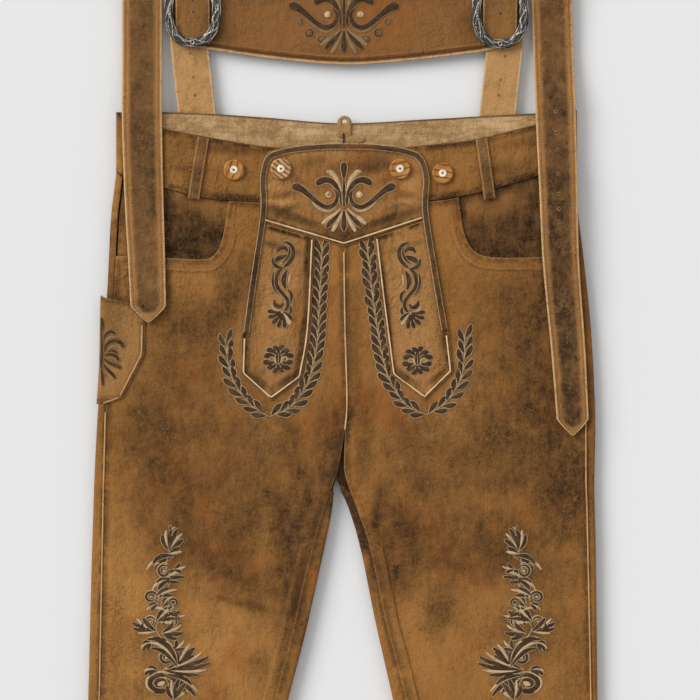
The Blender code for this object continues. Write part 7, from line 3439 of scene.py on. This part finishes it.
@dataclass
class Embroidery:
    """All the garment's needlework, with the places of its motifs in mm."""

    finishes: Finishes
    flap_at: Pair = (2.0, 125.5)
    flap_studs: tuple[Pair, ...] = ((-13.4, 125.4), (17.4, 125.4))
    scrolls: tuple[Triple, ...] = ((-59.0, 35.0, 1), (67.6, 34.0, -1))
    flowers: tuple[Pair, ...] = ((-63.6, -39.0), (75.4, -40.5))
    chest_at: Pair = (2.0, 306.0)
    chest_size: float = 1.06
    chest_studs: tuple[Pair, ...] = ((-14.4, 305.8), (18.4, 305.8))
    chest_curls: tuple = ((35.0, -19.0, 4.6, 60), (22.5, -25.0, 4.4, 100), (44.0, -8.0, 3.4, 40))
    pocket_at: Pair = (-240.5, -31.0)
    pocket_size: float = 0.98
    stud_radius: float = 3.4
    thigh_stem: float = 0.6
    vine_stem: float = 0.5
    leaf_pitch: float = 9.4
    leaf_lift: float = 0.15
    leaf_unevenness: float = 0.07

    def build(self) -> None:
        """Sew every motif."""
        flap = Needlework("flap_needlework", self.finishes, flap_height)
        flap.sew(placed(palmette(), *self.flap_at))
        for place in self.flap_studs:
            flap.stud(*place, self.stud_radius)
        flap.finish()
        tongues = Needlework("tongue_needlework", self.finishes, flap_height, cord=0.30)
        for x, y, flip in self.scrolls:
            tongues.sew(placed(climbing_scroll(), x, y, flip=flip))
        for place in self.flowers:
            tongues.sew(placed(round_flower(), *place))
        tongues.finish()
        chest = Needlework("chest_needlework", self.finishes, bib_height, quiet=True)
        chest.sew(placed(palmette(), *self.chest_at, self.chest_size))
        for side in (-1, 1):
            for row in self.chest_curls:
                chest.sew(placed(curl((*row, 1, 0.9)), *self.chest_at, flip=side))
        for place in self.chest_studs:
            chest.stud(*place, self.stud_radius)
        chest.finish()
        pocket = Needlework("pocket_needlework", self.finishes, pocket_height, quiet=True)
        pocket.sew(placed(small_palmette(), *self.pocket_at, self.pocket_size))
        pocket.finish()
        self.thighs()
        self.vines()

    def thighs(self) -> None:
        """The two thighs' leafy motif and its stem, the right one the left one's mirror image."""
        thighs = Needlework("thigh_needlework", self.finishes, front_height, cord=0.36)
        petals = [petal for row in THIGH_SPRAYS for petal in spray(row)]
        petals += [petal for row in THIGH_CURLS for petal in curl(row)]
        stem = smooth_run(THIGH_STEM, 3.0)
        for side in (1, -1):
            shift = 0.0 if side == 1 else THIGH_MIRROR
            thighs.sew(placed(petals, shift, 0.0, flip=side))
            thighs.stem(stem * np.array([side, 1.0]) + np.array([shift, 0.0]), self.thigh_stem)
        thighs.finish()

    def vines(self) -> None:
        """The laurel round the tongues: pairs of leaves repeated along each branch."""
        stems = Needlework("vine_stems", self.finishes, front_height)
        for branch in VINES:
            stems.stem(smooth_run(branch, 3.0), self.vine_stem)
        stems.finish()
        pair = [np.array(VINE_LEAF), np.array([(x + 4.8, -y, width) for x, y, width in VINE_LEAF])]
        for name, material, filled in (
            ("vine_leaves", self.finishes.dark_thread, True),
            ("vine_outlines", self.finishes.cord_thread, False),
        ):
            work = Needlework(name, self.finishes, lambda x, y: np.zeros(np.shape(x)))
            for control in pair:
                if filled:
                    work.satin(control, Tone.DARK)
                else:
                    work.outline(control)
            repeat = Repeat(
                name, material, self.leaf_pitch, (1.0, 1.0, 1.0), self.leaf_unevenness, 3,
                self.unit(work.heap),
            )
            for branch in VINES:
                repeat.along(smooth_run(branch, 3.0)[1:-3], front_height, self.leaf_lift)
            settle(repeat.build(), Slot.THREAD)

    @staticmethod
    def unit(heap: Heap) -> Piece:
        """An object of one unit about its own origin.

        Args:
            heap: The unit's meshes.

        Returns:
            The object to repeat.
        """
        mesh = bpy.data.meshes.new("leaf_pair")
        mesh.from_pydata((np.vstack(heap.points) * MM).tolist(), [], heap.faces)
        mesh.update()
        obj = bpy.data.objects.new("leaf_pair", mesh)
        bpy.context.scene.collection.objects.link(obj)
        set_uv(obj, np.vstack(heap.coords))
        return obj


# ---------------------------------------------------------------------------------------------
# Studio


@dataclass
class Studio:
    """Pale floor, soft light from the upper left, and a camera straight above.

    Sizes are in mm, but for the camera's far limit in metres; angles are in radians.
    """

    finishes: Finishes
    centre_x: float = 8.0
    centre_y: float = -30.0
    lens: float = 200.0
    sensor: float = 36.0
    across: float = 700.0
    floor_z: float = -9.0
    ground: float = 3000.0
    camera_lift: float = 6.0
    far: float = 20.0
    key_from: Triple = (-1.5, 0.9, 1.5)
    key_angle: float = 0.65
    key_power: float = 2.2
    fill_from: Triple = (0.3, 0.6, 2.4)
    fill_angle: float = 1.2
    fill_power: float = 0.5
    ambient: float = 0.42

    def build(self) -> None:
        """Make the floor, the lights and the camera."""
        corners = np.array([(-1, -1), (1, -1), (1, 1), (-1, 1)]) * self.ground
        points = np.column_stack([corners, np.full(4, self.floor_z)])
        floor = new_object("floor", points, [(0, 1, 2, 3)], [self.finishes.floor])
        self.light("key", self.key_from, self.key_angle, self.key_power)
        self.light("fill", self.fill_from, self.fill_angle, self.fill_power)
        world = bpy.data.worlds.new("studio")
        world.use_nodes = True
        sky = world.node_tree.nodes["Background"]
        sky.inputs["Color"].default_value = (1.0, 1.0, 1.0, 1.0)
        sky.inputs["Strength"].default_value = self.ambient
        scene = bpy.context.scene
        scene.world = world
        scene.view_settings.view_transform = "Standard"
        lens = bpy.data.cameras.new("camera")
        lens.lens = self.lens
        lens.sensor_width = self.sensor
        lens.clip_end = self.far
        camera = bpy.data.objects.new("camera", lens)
        distance = self.across * self.lens / self.sensor + self.camera_lift
        camera.location = (self.centre_x * MM, (self.centre_y - MIDDLE_Y) * MM, distance * MM)
        scene.collection.objects.link(camera)
        scene.camera = camera

    def light(self, name: str, place: Triple, angle: float, power: float) -> None:
        """A soft, far light.

        Args:
            name: Its name.
            place: The way it comes from.
            angle: How wide it looks from the garment, in radians.
            power: Its strength.
        """
        lamp = bpy.data.lights.new(name, "SUN")
        lamp.angle = angle
        lamp.energy = power
        obj = bpy.data.objects.new(name, lamp)
        obj.location = place
        obj.rotation_euler = (-Vector(place)).to_track_quat("-Z", "Y").to_euler()
        bpy.context.scene.collection.objects.link(obj)


def main() -> None:
    """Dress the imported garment, and report each part."""
    logging.basicConfig(level=logging.INFO, format="%(message)s")
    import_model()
    finishes = Finishes()
    Studio(finishes).build()
    Body(finishes).build()
    Flap(finishes).build()
    SmallPieces(finishes).build()
    Harness(finishes).build()
    for (node, (x, y)), (turn, striped) in zip(BUTTONS.items(), GRAINS):
        Button(node, x, y, turn, finishes, striped).build()
    Embroidery(finishes).build()


if __name__ == "__main__":
    main()
